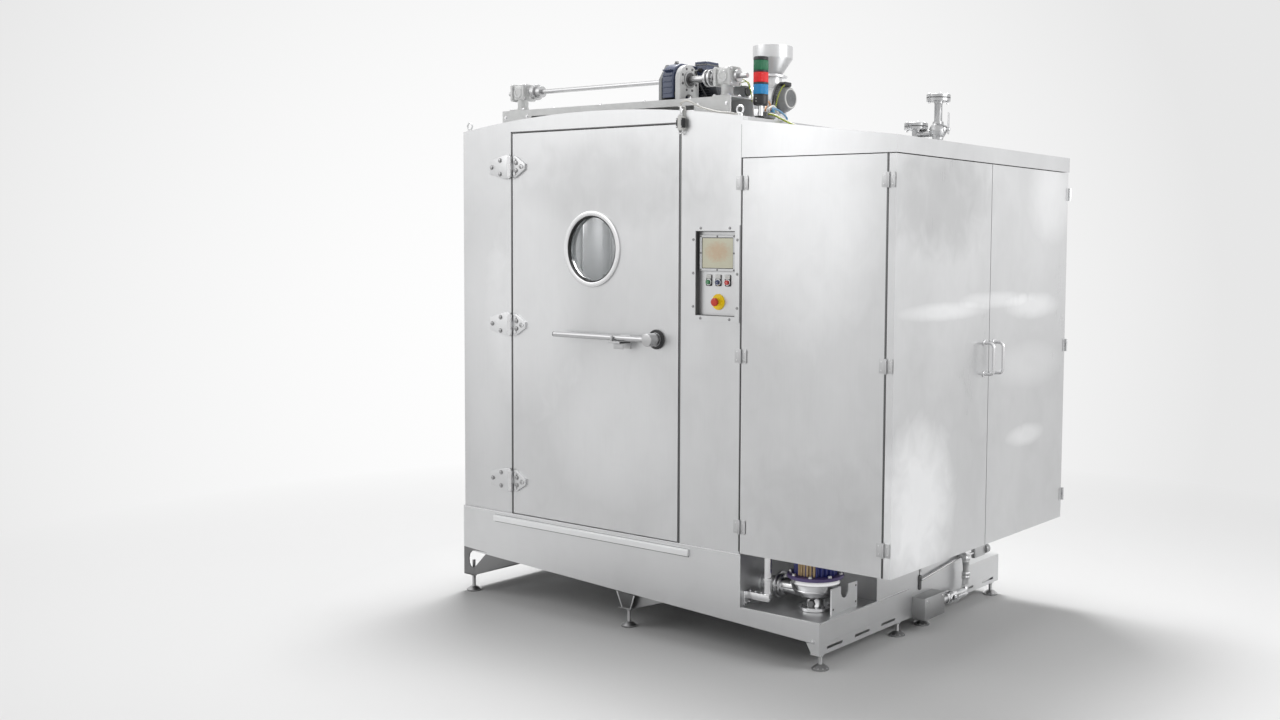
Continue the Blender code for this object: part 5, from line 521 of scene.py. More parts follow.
def bent_route(points: Sequence[Sequence[float]], radius: float, steps: int = 7) -> Points:
    """Straight runs joined by bends: each corner is a quadratic arc one radius long."""
    p = np.asarray(points, float)
    route = [p[:1]]
    t = np.linspace(0, 1, steps)[:, None]
    for k in range(1, len(p) - 1):
        back = p[k] + (p[k - 1] - p[k]) / np.linalg.norm(p[k - 1] - p[k]) * radius
        on = p[k] + (p[k + 1] - p[k]) / np.linalg.norm(p[k + 1] - p[k]) * radius
        route.append((1 - t) ** 2 * back + 2 * t * (1 - t) * p[k] + t ** 2 * on)
    return np.vstack(route + [p[-1:]])


class Sculpt:
    """Gathers surfaces as arrays and makes one mesh object of them."""

    def __init__(self, name: str, palette: Palette, finish: str) -> None:
        """Start an empty piece in its main finish."""
        self.name = name
        self.palette = palette
        self.finishes: list[str] = []
        self.points: list[Points] = []
        self.faces: list[tuple[np.ndarray, int]] = []
        self.count = 0
        self.use(finish)

    def use(self, finish: str) -> "Sculpt":
        """Give the surfaces that follow this finish."""
        if finish not in self.finishes:
            self.finishes.append(finish)
        self.current = self.finishes.index(finish)
        return self

    def surface(self, grid: Points, wrap_rows: bool = False) -> "Sculpt":
        """Add rings of points that run anticlockwise about the way the rows go.

        The last ring joins the first if wrap_rows is set; otherwise flat caps close both ends.
        """
        rows, columns = grid.shape[:2]
        index = np.arange(rows * columns).reshape(rows, columns) + self.count
        around = np.concatenate((index, index[:, :1]), axis=1)
        if wrap_rows:
            around = np.concatenate((around, around[:1]), axis=0)
        quads = np.stack((around[:-1, :-1], around[:-1, 1:], around[1:, 1:], around[1:, :-1]),
                         axis=-1).reshape(-1, 4)
        self.faces.append((quads, self.current))
        if not wrap_rows:
            self.faces.append((index[:1, ::-1], self.current))
            self.faces.append((index[-1:], self.current))
        self.points.append(grid.reshape(-1, 3))
        self.count += rows * columns
        return self

    def turned(self, profile: Sequence[tuple[float, float]], centre: Points, facing: Facing,
               sides: int = 48, closed: bool = False, phase: float = 0.0) -> "Sculpt":
        """Turn a profile about an axis: centre + r (u cos a + v sin a) + h w."""
        u, v, w = axes_of(facing)
        shape = np.array(profile, float)
        a = turns(sides, phase)[None, :, None]
        ring = np.cos(a) * u + np.sin(a) * v
        grid = centre + shape[:, 0, None, None] * ring + shape[:, 1, None, None] * w
        return self.surface(grid, wrap_rows=closed)

    def rings(self, rings: Sequence[tuple[Points, float]], centre: Points, facing: Facing,
              wrap_rows: bool = False) -> "Sculpt":
        """Surface through outlines, each at its height: centre + across u + up v + h w."""
        u, v, w = axes_of(facing)
        return self.surface(np.stack([centre + ring[:, :1] * u + ring[:, 1:] * v + h * w
                                      for ring, h in rings]), wrap_rows)

    def slab(self, outline: Points, centre: Points, facing: Facing, depth: float,
             bevel: float = 0.001, steps: int = 3, under: bool = False) -> "Sculpt":
        """Raise an anticlockwise outline to depth, its upper edge rounded by bevel.

        The rounding has this many steps; under rounds the lower edge as well.
        """
        a = np.linspace(0, math.pi / 2, steps + 1)
        ins = bevel * (1 - np.cos(a))
        high = depth - bevel * (1 - np.sin(a))
        rings = [(outline, 0.0)]
        if under:
            rings = [(inset(outline, i), depth - h) for i, h in zip(ins[::-1], high[::-1])]
        rings += [(inset(outline, i), h) for i, h in zip(ins, high)]
        return self.rings(rings, centre, facing)

    def frame_slab(self, outer: Points, inner: Points, centre: Points, facing: Facing,
                   depth: float, bevel: float = 0.001) -> "Sculpt":
        """Raise the band between two outlines of as many points, edges bevelled."""
        rings = [(outer, 0.0), (outer, depth - bevel), (inset(outer, bevel), depth),
                 (inset(inner, -bevel), depth), (inner, depth - bevel), (inner, 0.0)]
        return self.rings(rings, centre, facing, True)

    def box(self, low: Sequence[float], high: Sequence[float],
            bevel: float = 0.0015) -> "Sculpt":
        """Block between two corners, all its edges rounded."""
        low, high = np.array(low, float), np.array(high, float)
        size = high - low
        bevel = min(bevel, float(size.min()) * 0.45)
        centre = np.array((*((low + high) / 2)[:2], low[2]))
        return self.slab(rounded_rectangle(size[0], size[1], bevel, 2), centre, UP,
                         size[2], bevel, 2, under=True)

    def tube(self, path: Points, radius: Union[float, Points], sides: int = 18) -> "Sculpt":
        """Carry a circle along a path, square to it; the radius is one or one for each point."""
        tangent = np.gradient(path, axis=0)
        tangent /= np.linalg.norm(tangent, axis=1)[:, None]
        reference = np.eye(3)[int(np.argmin(np.abs(tangent).max(axis=0)))]
        u = np.cross(reference, tangent)
        u /= np.linalg.norm(u, axis=1)[:, None]
        v = np.cross(tangent, u)
        a = turns(sides)[None, :, None]
        radii = np.broadcast_to(np.asarray(radius, float), (len(path),))[:, None, None]
        grid = path[:, None, :] + radii * (np.cos(a) * u[:, None, :] + np.sin(a) * v[:, None, :])
        return self.surface(grid)

    def hexes(self, places: Iterable[Points], facing: Facing, radius: float,
              height: float, washer: float = 1.45) -> "Sculpt":
        """Hexagon bolt heads on washers: a chamfered six-sided turning on a flat disc."""
        thin = height * 0.22
        for place in places:
            self.turned([(radius * washer, 0), (radius * washer, thin * 0.6),
                         (radius * washer * 0.95, thin)], place, facing, 16)
            self.turned([(radius, thin * 0.5), (radius, height * 0.86),
                         (radius * 0.84, height)], place, facing, 6, phase=0.3)
        return self

    def domes(self, places: Iterable[Points], facing: Facing, radius: float,
              height: float) -> "Sculpt":
        """Round screw heads with a socket: an elliptic dome, sunk at its middle."""
        a = np.linspace(0, 1.15, 5)
        dome = [(radius * math.cos(t), height * (0.35 + 0.65 * math.sin(t))) for t in a]
        profile = [(radius, 0.0)] + dome + [(radius * 0.3, height * 0.93),
                                            (radius * 0.26, height * 0.5)]
        for place in places:
            self.turned(profile, place, facing, 14)
        return self

    def build(self, slot: str, *replaces: str, body: str = "cabin") -> None:
        """Make the mesh object: it rides on the body and stands for the replaced nodes."""
        mesh = bpy.data.meshes.new(self.name)
        points = np.concatenate(self.points).astype(np.float32)
        loops = np.concatenate([f.ravel() for f, _ in self.faces]).astype(np.int32)
        sizes = np.concatenate([np.full(len(f), f.shape[1]) for f, _ in self.faces])
        slots = np.concatenate([np.full(len(f), s) for f, s in self.faces]).astype(np.int32)
        mesh.vertices.add(len(points))
        mesh.vertices.foreach_set("co", points.ravel())
        mesh.loops.add(len(loops))
        mesh.loops.foreach_set("vertex_index", loops)
        mesh.polygons.add(len(sizes))
        starts = np.concatenate(([0], np.cumsum(sizes)[:-1])).astype(np.int32)
        mesh.polygons.foreach_set("loop_start", starts)
        for finish in self.finishes:
            mesh.materials.append(self.palette[finish])
        mesh.polygons.foreach_set("material_index", slots)
        mesh.update(calc_edges=True)
        mesh.shade_smooth()
        mesh.set_sharp_from_angle(angle=SHARP_EDGE)
        piece = bpy.data.objects.new(self.name, mesh)
        bpy.context.scene.collection.objects.link(piece)
        if replaces:
            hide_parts(*replaces)
        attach(piece, body)
        LOG.info("%s: %d faces on %s", self.name, len(sizes), body)


# ---------------------------------------------------------------------- sub-assemblies


@dataclass
class Assembly:
    """A part of the cabin that has its own sizes and dresses its own pieces."""

    palette: Palette

    def sculpt(self, name: str, finish: str) -> Sculpt:
        """Start a piece in its main finish."""
        return Sculpt(name, self.palette, finish)

    def make(self) -> None:
        """Build and dress the pieces."""
        raise NotImplementedError


DRESSED = {
    "satin_sheet": "chamber_front wash_door service_door cabinet_frame cabinet_roof control_frame",
    "satin_side_sheet": "side_door_front side_door_rear",
    "satin_wall_sheet": "chamber_walls cabinet_floor",
    "satin_plinth": "sump_tank left_leg_frame middle_leg_frame right_foot_rail",
    "roof_sheet": "chamber_roof",
    "leaf_sheet": "lever_catch",
    "inner_sheet": "floor_grate fan_casing fan_wheel pump_impeller",
    "black_sealing": "door_seal",
    "white_enamel": "drive_beam left_gearbox right_gearbox bearing_plate",
    "slate_enamel": "gear_reducer",
    "black_enamel": "drive_motor",
    "grey_enamel": "fan_motor",
    "blue_enamel": "pump_motor",
    "spun_sheet": "exhaust_stack steam_pipework drain_pipework",
    "bright_steel": "upper_hinge middle_hinge lower_hinge door_lever drive_shaft "
                    "spray_column_left spray_column_right front_pull_handle rear_pull_handle "
                    "pump_casing pump_riser drain_valve_lever window_rings",
    "black_moulding": "interlock_switch stack_light_post legend_plates",
    "tinted_glass": "window_glass",
    "green_lamp": "green_lens",
    "red_lamp": "red_lens",
    "blue_lamp": "blue_lens",
    "grey_jacket": "switch_conduit roof_hoses",
    "lit_screen": "hmi_panel",
    "green_key": "start_button",
    "navy_key": "reset_button",
    "red_key": "stop_button estop_mushroom",
    "yellow_disc": "estop_base",
}


@dataclass
class Shell(Assembly):
    """The frame's own nodes; the flat sheets among them keep their shapes."""

    def make(self) -> None:
        """Give every node of the frame its finish."""
        for finish, names in DRESSED.items():
            for name in names.split():
                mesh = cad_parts[name].data
                mesh.materials.clear()
                mesh.materials.append(self.palette[finish])


@dataclass
class WashDoor(Assembly):
    """Swing door: window, boss, lever and the three strap hinges."""

    window: tuple[float, float] = (0.963, 1.905)
    window_radius: float = 0.172
    pane_radius: float = 0.1666
    ring_radius: float = 0.193
    thickness: float = 0.045
    lever: tuple[float, float] = (1.4, 1.468)
    bar_length: float = 0.65
    bar_proud: float = 0.058
    bar_radius: float = 0.014
    hinge_x: float = 0.382
    knuckle: float = 0.035

    def make(self) -> None:
        """Build the window, the lever and the hinges."""
        self.window_rings()
        self.window_pane()
        self.boss_and_leaves()
        self.door_lever()
        self.lever_catch()
        for name, height in zip(("upper_hinge", "middle_hinge", "lower_hinge"), HINGE_HEIGHTS):
            self.fixed_hinge(name, height)

    def window_rings(self) -> None:
        """Two polished rings and their sleeve in one turning, and a dark gasket."""
        x, z = self.window
        out, sleeve, lip = self.ring_radius, self.window_radius - FIT, 0.167
        back = -self.thickness - FIT
        ring = [(sleeve, FIT), (out, FIT), (out, 0.005), (out - 0.002, 0.0078),
                (out - 0.006, 0.009), (lip + 0.007, 0.009), (lip + 0.002, 0.0078),
                (lip, 0.005), (lip, back - 0.009), (out, back - 0.009), (out, back),
                (sleeve, back)]
        s = self.sculpt("window_rings_polished", "bright_steel")
        s.turned(ring, at(x, 0, z), FRONT, 112, closed=True)
        # A thin sleeve in the darkest tone inside the lip: painted shade in the ring's bore.
        s.use("shadow_sheet")
        s.turned([(lip - 0.0008, back - 0.008), (lip - 0.0002, back - 0.008),
                  (lip - 0.0002, -0.0325), (lip - 0.0008, -0.0325)],
                 at(x, 0, z), FRONT, 112, closed=True)
        s.use("black_sealing")
        s.turned([(lip - 0.007, -0.012), (lip - 0.0002, -0.012), (lip - 0.0002, 0.004),
                  (lip - 0.005, 0.004)], at(x, 0, z), FRONT, 112, closed=True)
        s.build("polished_steel", "window_rings", body="wash_door")

    def window_pane(self) -> None:
        """Round pane with ground edges."""
        x, z = self.window
        s = self.sculpt("window_pane", "tinted_glass")
        s.slab(circle(self.pane_radius, 112), at(x, 0.0305, z), FRONT, 0.016, 0.0015)
        s.build("dark_glass", "window_glass", body="wash_door")

    def boss_and_leaves(self) -> None:
        """Dark washer round the lever's boss; polished skins on the door's hinge leaves."""
        x, z = self.lever
        s = self.sculpt("lever_washer", "black_moulding")
        s.turned([(0.0463, 0.0002), (0.0482, 0.0002), (0.0482, 0.0095), (0.0462, 0.01225),
                  (0.034, 0.01225), (0.034, 0.01205), (0.0463, 0.01205)],
                 at(x, 0, z), FRONT, 72, closed=True)
        s.build("black_rubber", body="wash_door")
        s = self.sculpt("door_hinge_leaves", "bright_steel")
        for height in HINGE_HEIGHTS:
            s.use("satin_sheet")
            leaf = np.array([(0.0145, -0.055), (0.037, -0.055), (0.1045, -0.015),
                             (0.1045, 0.015), (0.037, 0.055), (0.0145, 0.055)])
            s.slab(inset(leaf, -0.0006), at(self.hinge_x, -0.0004, height), FRONT,
                   0.0108, 0.002)
            s.use("bright_steel")
            s.turned([(0.0133, -self.knuckle / 2), (0.0133, self.knuckle / 2)],
                     at(self.hinge_x, -0.02, height), UP, 28)
            s.use("foot_steel")
            s.hexes([at(self.hinge_x + px, -0.0109, height + up)
                     for px, up in ((0.0425, 0.020), (0.0425, -0.020), (0.0765, 0.0))],
                    FRONT, 0.0102, 0.0068, 1.3)
        s.build("polished_steel", body="wash_door")

    def lever_catch(self) -> None:
        """Bent catch under the bar: a back plate, a shelf, a narrow lug and a skirt."""
        z, left, right = self.lever[1], 1.155, 1.23
        s = self.sculpt("lever_catch_bent", "leaf_sheet")
        s.box(at(left, -0.0063, z - 0.055), at(right, -FIT, z + 0.012), 0.001)
        s.box(at(left, -0.084, z - 0.026), at(right, -0.006, z - 0.016), 0.001)
        s.box(at(left + 0.012, -0.084, z - 0.0165), at(left + 0.022, -0.074, z + 0.012), 0.001)
        s.box(at(left + 0.012, -0.060, z - 0.055), at(right, -0.056, z - 0.0255), 0.0008)
        s.use("shadow_sheet")
        s.box(at(right - 0.004, -0.0835, z - 0.0258), at(right + 0.0006, -0.0065, z - 0.0165),
              0.0004)
        s.build("brushed_steel", "lever_catch", body="wash_door")

    def fixed_hinge(self, node: str, height: float) -> None:
        """Frame leaf with its two knuckles, the pin and three bolts."""
        half = self.knuckle / 2
        near, far = half + FIT, half + FIT + self.knuckle
        s = self.sculpt(node + "_satin", "bright_steel")
        pin = [(0.0045, -far - 0.008), (0.0062, -far - 0.006), (0.0062, -far),
               (0.012, -far), (0.013, -far + 0.001), (0.013, -near), (0.006, -near),
               (0.006, near), (0.013, near), (0.013, far - 0.001), (0.012, far),
               (0.0062, far), (0.0062, far + 0.006), (0.0045, far + 0.008)]
        s.turned(pin, at(self.hinge_x, -0.02, height), UP, 28)
        leaf = np.array([(-0.0145, 0.0625), (-0.052, 0.0625), (-0.1645, 0.035),
                         (-0.1645, -0.035), (-0.052, -0.0625), (-0.0145, -0.0625)])
        s.use("satin_sheet")
        s.slab(leaf, at(self.hinge_x, -FIT, height), FRONT, 0.01, 0.002)
        for low in (0.0187, -0.0522):
            s.box(at(self.hinge_x - 0.0165, -0.0103, height + low),
                  at(self.hinge_x - 0.004, -0.0013, height + low + 0.0335), 0.001)
        s.use("foot_steel")
        s.hexes([at(self.hinge_x + px, -0.0103, height + up)
                 for px, up in ((-0.082, 0.036), (-0.082, -0.036), (-0.1465, 0.0))],
                FRONT, 0.0098, 0.0062, 1.35)
        s.build("polished_steel", node)

    def door_lever(self) -> None:
        """Round bar with an end plug, stepped hub, shaft and inner cam."""
        x, z = self.lever
        start = x - self.bar_length
        s = self.sculpt("door_lever_turned", "bar_steel")
        span = np.array((start + 0.006, start + 0.3, x - 0.02))
        path = np.stack([at(px, -self.bar_proud, z) for px in span])
        s.tube(path, self.bar_radius, 32)
        s.turned([(0.012, -0.0555), (0.012, 0.0124), (0.031, 0.0124), (0.032, 0.0134),
                  (0.032, 0.030), (0.0295, 0.031), (0.0295, 0.034), (0.032, 0.035),
                  (0.032, 0.0755), (0.0305, 0.079), (0.027, 0.0804)],
                 at(x, 0, z), FRONT, 56)
        s.box(at(x, 0.0454, z - 0.018), at(x + 0.085, 0.0554, z + 0.018), 0.003)
        s.use("black_moulding")
        s.turned([(0.0095, -0.0005), (0.0135, 0.001), (0.0138, 0.007)],
                 at(start, -self.bar_proud, z), RIGHT, 32)
        s.build("polished_steel", "door_lever", body="door_lever")


@dataclass
class Interlock(Assembly):
    """Door interlock switch on its bracket, and the conduit that leaves it."""

    x: float = 1.561
    bottom: float = 2.475

    def make(self) -> None:
        """Build the switch and its conduit."""
        x, low = self.x, self.bottom
        s = self.sculpt("interlock_switch_detailed", "white_moulding")
        s.box(at(x - 0.015, -0.0043, low + 0.004), at(x + 0.015, -FIT, low + 0.115), 0.001)
        s.box(at(x - 0.015, -0.022, low + 0.111), at(x + 0.015, -FIT, low + 0.115), 0.001)
        s.use("black_moulding")
        for left, right in ((-0.019, -0.012), (0.011, 0.019)):
            s.box(at(x + left, -0.0323, low + 0.012), at(x + right, -0.0045, low + 0.058), 0.002)
        s.use("white_moulding")
        s.box(at(x - 0.012, -0.0305, low + 0.012), at(x + 0.011, -0.0045, low + 0.058), 0.002)
        s.box(at(x - 0.013, -0.029, low), at(x + 0.013, -0.0045, low + 0.07), 0.003)
        s.use("bolt_steel")
        s.turned([(0.0055, 0), (0.006, 0.001), (0.006, 0.044), (0.005, 0.0455)],
                 at(x, -0.0173, low + 0.07), UP, 20)
        s.hexes([at(x, -0.0173, low + 0.0705), at(x, -0.0173, low + 0.094)], UP,
                0.0098, 0.007, 1.25)
        s.domes([at(x + side * 0.0145, -0.0323, low + up) for side in (-1, 1)
                 for up in (0.018, 0.052)], FRONT, 0.0026, 0.0012)
        hook = near(at(x, -0.016, low), (0.008, 0, 0.01), (0.008, 0, -0.014),
                    (-0.014, 0, -0.014), (-0.014, 0, 0.002))
        s.tube(bent_route(hook, 0.009), 0.0032, 14)
        s.build("black_plastic", "interlock_switch")
        self.conduit(low + 0.115)

    def conduit(self, top: float) -> None:
        """Ribbed jacket along the route: its radius swells and narrows in turn."""
        route = smooth_route([at(self.x, -0.0173, top + 0.002), at(self.x, -0.0173, top + 0.015),
                              at(1.60, -0.012, top + 0.022), on_roof(1.66, 0.012, 0.02),
                              on_roof(1.74, 0.03, 0.006), on_roof(1.80, 0.05, 0.006),
                              on_roof(1.84, 0.09, 0.006)], 26)
        wave = 0.0046 + 0.0004 * (np.arange(len(route)) % 2)
        s = self.sculpt("switch_conduit_ribbed", "white_jacket").tube(route, wave, 14)
        s.build("cable_jacket", "switch_conduit")


def roof_height(x: float) -> float:
    """Height of the arched roof's top at x: edge + rise * (1 - share squared)."""
    share = (x - CHAMBER_WIDTH / 2) / (CHAMBER_WIDTH / 2)
    return PLINTH_TOP + WALL_HEIGHT + ROOF_RISE * (1 - share * share)


def cap_height(x: float) -> float:
    """Height of the service cabinet's sloping roof at x: a straight fall to the right."""
    return PLINTH_TOP + CAP_HEIGHT - CAP_FALL * (x - CHAMBER_WIDTH) / CABINET_WIDTH


def on_roof(x: float, y: float, lift: float) -> Points:
    """Point at a height over the chamber's roof."""
    return at(x, y, roof_height(x) + lift)


@dataclass
class RoofDrive(Assembly):
    """Spray drive across the roof: gearboxes, line shaft, reducer, motor and bearing."""

    y: float = 0.2
    shaft_z: float = 2.744
    beam_top: float = 2.6423
    columns: tuple[float, float] = (0.254, 1.668)
    reducer_left: float = 1.322

    def make(self) -> None:
        """Build the drive from left to right."""
        self.beam_trim()
        self.gearbox("left_gearbox", self.columns[0])
        self.gearbox("right_gearbox", self.columns[1])
        self.line_shaft()
        self.reducer()
        self.motor()
        self.bearing_plate()
        self.junction_box()
        for name, x in zip(("left", "right"), self.columns):
            self.spray_column(name, x)

    def beam_trim(self) -> None:
        """Bolts and folded lips along the beam's top and its two pads."""
        s = self.sculpt("beam_bolts", "bolt_steel")
        rows = [at(x, self.y + side * 0.074, self.beam_top) for side in (-1, 1)
                for x in (0.56, 0.9, 1.2, 1.50)]
        s.hexes(rows, UP, 0.0075, 0.006)
        s.hexes([at(x, self.y - 0.09, 2.607) for x in (0.215, 0.38, 1.56, 1.735)],
                FRONT, 0.007, 0.0055)
        s.use("white_enamel")
        for side in (-1, 1):
            s.box(at(1.7595, self.y + side * 0.09 - 0.004, 2.552),
                  at(1.7615, self.y + side * 0.09 + 0.004, 2.641), 0.0008)
        s.build("white_paint")

    def gearbox(self, node: str, x: float) -> None:
        """Cast cube on a flared post, a bolted square flange on each side."""
        y, z, base = self.y, self.shaft_z, self.beam_top
        s = self.sculpt(node + "_cast", "white_enamel")
        s.slab(rounded_rectangle(0.11, 0.11, 0.01), at(x, y, base), UP, 0.01, 0.002)
        s.turned([(0.040, 0.009), (0.034, 0.012), (0.030, 0.020), (0.029, 0.03),
                  (0.029, 0.066)], at(x, y, base), UP, 36)
        s.box(at(x - 0.037, y - 0.037, z - 0.037), at(x + 0.037, y + 0.037, z + 0.037), 0.009)
        s.turned([(0.029, 0.035), (0.029, 0.041), (0.026, 0.0435), (0.012, 0.0445)],
                 at(x, y, z), UP, 32)
        s.turned([(0.030, 0.035), (0.030, 0.041), (0.027, 0.0435), (0.016, 0.0435),
                  (0.014, 0.041)], at(x, y, z), FRONT, 32)
        sides = ((1, RIGHT), (-1, LEFT))
        for side, facing in sides:
            s.slab(rounded_rectangle(0.092, 0.092, 0.012), at(x + side * 0.0365, y, z), facing,
                   0.0145, 0.0025)
            s.turned([(0.027, 0.05), (0.027, 0.054), (0.024, 0.056)], at(x, y, z), facing, 32)
        s.use("bolt_steel")
        s.hexes(corners(at(x, y, base + 0.01), 0.043, 0.043, UP), UP, 0.007, 0.006, 1.3)
        for side, facing in sides:
            s.hexes(corners(at(x + side * 0.051, y, z), 0.035, 0.035), facing, 0.0062, 0.0055,
                    1.25)
        s.domes(around(at(x, y - 0.043, z), 0.0235, turns(6), FRONT), FRONT, 0.0032, 0.002)
        s.build("white_paint", node)

    def line_shaft(self) -> None:
        """Turned shaft: each step is (x where it starts, radius)."""
        steps = [(0.153, 0.0118), (0.233, 0.01), (0.269, 0.014), (0.275, 0.012),
                 (0.333, 0.03), (0.345, 0.042), (0.3565, 0.0405), (0.3575, 0.042),
                 (0.369, 0.03), (0.405, 0.0127), (1.292, 0.016), (1.533, 0.03),
                 (1.545, 0.042), (1.557, 0.03), (1.569, 0.042), (1.581, 0.03),
                 (1.593, 0.012), (1.647, 0.01), (1.683, 0.014), (1.689, 0.012),
                 (1.731, 0.03), (1.743, 0.012)]
        edge = 0.0008
        profile: list[tuple[float, float]] = [(steps[0][1] - edge, steps[0][0])]
        for (x, radius), (end, _) in zip(steps, steps[1:] + [(1.793, 0.0)]):
            if x > steps[0][0]:
                profile.append((radius - edge, x))
            profile += [(radius, x + edge), (radius, end - edge), (radius - edge, end)]
        s = self.sculpt("line_shaft_turned", "bar_steel")
        s.turned(profile, at(0, self.y, self.shaft_z), RIGHT, 44)
        s.use("dark_bolt")
        for x, facing in ((0.345, LEFT), (1.545, LEFT), (1.581, RIGHT)):
            s.hexes(around(at(x, self.y, self.shaft_z), 0.036, turns(6, 0.2)), facing, 0.004,
                    0.0045, 1.0)
        s.build("polished_steel", "drive_shaft", body="drive_shaft")

    def reducer(self) -> None:
        """Shaft-mounted gear case with ribs, cover bolts, a breather and its torque plate."""
        x, y, z = self.reducer_left, self.y, self.shaft_z
        case = np.vstack(([(-0.082, -0.09), (0.216, -0.09), (0.218, 0.03), (0.150, 0.080)],
                          polar(0.082, np.linspace(math.pi / 2, math.pi, 14))))
        s = self.sculpt("gear_reducer_cast", "slate_enamel")
        s.slab(case, at(x + 0.0005, y, z), RIGHT, 0.069, 0.006, under=True)
        s.turned([(0.058, 0.066), (0.058, 0.076), (0.052, 0.08), (0.03, 0.08),
                  (0.028, 0.077)], at(x, y, z), RIGHT, 48)
        s.turned([(0.072, 0.06), (0.074, 0.062), (0.074, 0.0698)], at(x, y + 0.163, z - 0.02),
                 RIGHT, 48)
        for k in range(5):
            height = z - 0.07 + 0.028 * k
            s.box(at(x + 0.006, y - 0.0865, height), at(x + 0.064, y - 0.07, height + 0.006),
                  0.002)
        s.use("dark_bolt")
        s.hexes(around(at(x + 0.0795, y, z), 0.044, turns(8, 0.39)), RIGHT, 0.0045, 0.004, 1.2)
        s.hexes([at(x + 0.035, y - 0.01, z + 0.082)], UP, 0.011, 0.012, 1.2)
        s.hexes([at(x + 0.0715, y - 0.062, z - 0.072)], RIGHT, 0.009, 0.006, 1.3)
        s.use("grey_enamel")
        plate = np.array([(-0.085, -0.1014), (0.085, -0.1014), (0.085, 0.0), (0.034, 0.077),
                          (-0.034, 0.077), (-0.085, 0.0)])
        s.slab(plate, at(x - 0.018, y, z), RIGHT, 0.019, 0.002, under=True)
        s.use("bolt_steel")
        s.hexes([at(x - 0.018, y + dy, z + dz) for dy, dz in
                 ((-0.07, -0.085), (0.07, -0.085), (-0.062, -0.01), (0.062, -0.01), (0, 0.062))],
                LEFT, 0.0075, 0.006, 1.3)
        s.build("slate_paint", "gear_reducer")

    def motor(self) -> None:
        """Finned case: the outline's radius steps between fins and grooves."""
        place = at(self.reducer_left + 0.0703, self.y + 0.163, self.shaft_z - 0.02)
        s = self.sculpt("drive_motor_finned", "black_enamel")
        s.turned([(0.066, 0), (0.070, 0.002), (0.070, 0.014), (0.062, 0.016)], place, RIGHT, 48)
        s.slab(finned(0.070, 0.0605, 30, 0.03), place + (0.015, 0, 0), RIGHT, 0.07, 0.0008)
        s.turned([(0.062, 0.083), (0.0705, 0.085), (0.0705, 0.121), (0.066, 0.128),
                  (0.05, 0.130), (0.045, 0.127)], place, RIGHT, 48)
        box = place + (0.04, -0.03, 0)
        for finish, deep, wide, low, high, bevel in (
                ("slate_enamel", 0.037, 0.046, 0.045, 0.104, 0.004),
                ("grey_moulding", 0.0395, 0.0495, 0.1, 0.108, 0.0025),
                ("slate_enamel", 0.0385, 0.048, 0.107, 0.1195, 0.004)):
            s.use(finish).box(*near(box, (-deep, -wide, low), (deep, wide, high)), bevel)
        s.use("black_moulding")
        s.turned([(0.012, 0), (0.012, 0.008), (0.009, 0.01), (0.009, 0.022), (0.005, 0.026)],
                 box + (0, -0.045, 0.075), FRONT, 6)
        lead = near(box, (0, -0.06, 0.075), (0.005, -0.09, 0.06), (0.02, -0.075, 0),
                    (0.045, -0.055, -0.06))
        s.tube(smooth_route(lead, 10), 0.0045, 12)
        s.use("bolt_steel")
        s.domes(corners(box + (0, 0, 0.1195), 0.033, 0.042, UP), UP, 0.0035, 0.0022)
        s.build("motor_black", "drive_motor")

    def bearing_plate(self) -> None:
        """Round-topped plate with a half-round notch, the bearing's ring and its bolts."""
        x, y, z = 1.4, self.y, self.shaft_z
        up = np.linspace(0, math.pi, 28)
        notch = polar(0.03, up[::2]) * (-1, 1) + (0, -0.1014)
        outline = np.vstack(([(-0.073, -0.1014)], notch, [(0.073, -0.1014)], polar(0.073, up)))
        s = self.sculpt("bearing_plate_cast", "white_enamel")
        s.slab(outline, at(x, y, z), RIGHT, 0.03, 0.002, under=True)
        s.use("pipe_sheet")
        s.turned([(0.0175, 0.01), (0.041, 0.01), (0.041, 0.036), (0.039, 0.038),
                  (0.034, 0.038), (0.033, 0.036), (0.0175, 0.036)],
                 at(x, y, z), RIGHT, 56, closed=True)
        s.use("shadow_sheet")
        s.turned([(0.018, 0.0355), (0.0325, 0.0355), (0.0325, 0.0367), (0.018, 0.0367)],
                 at(x, y, z), RIGHT, 56, closed=True)
        s.use("dark_bolt")
        for out, facing in ((0.03, RIGHT), (0.0, LEFT)):
            s.hexes(around(at(x + out, y, z), 0.055, turns(8, 0.39)), facing, 0.0052, 0.0045,
                    1.25)
        s.build("white_paint", "bearing_plate")

    def junction_box(self) -> None:
        """Small grey box behind the right gearbox with a knob and two earth wires."""
        s = self.sculpt("drive_junction_box", "grey_moulding")
        s.box(at(1.66, 0.255, self.beam_top), at(1.735, 0.288, self.beam_top + 0.062), 0.004)
        s.use("black_moulding")
        s.turned([(0.021, 0), (0.022, 0.002), (0.022, 0.009), (0.019, 0.011), (0.008, 0.011)],
                 at(1.735, 0.271, self.beam_top + 0.034), RIGHT, 32)
        s.use("earth_jacket")
        for k in range(2):
            loop = near(at(1.70, 0.25, self.beam_top), (0, 0.012 + 0.012 * k, 0.06),
                        (0.015, 0, 0.09 - 0.015 * k), (0.052, 0.01 * k, 0.075),
                        (0.062, 0.02, 0.02), (0.052, 0.0395, -0.02))
            s.tube(smooth_route(loop, 9), 0.0022, 10)
        s.build("black_plastic")

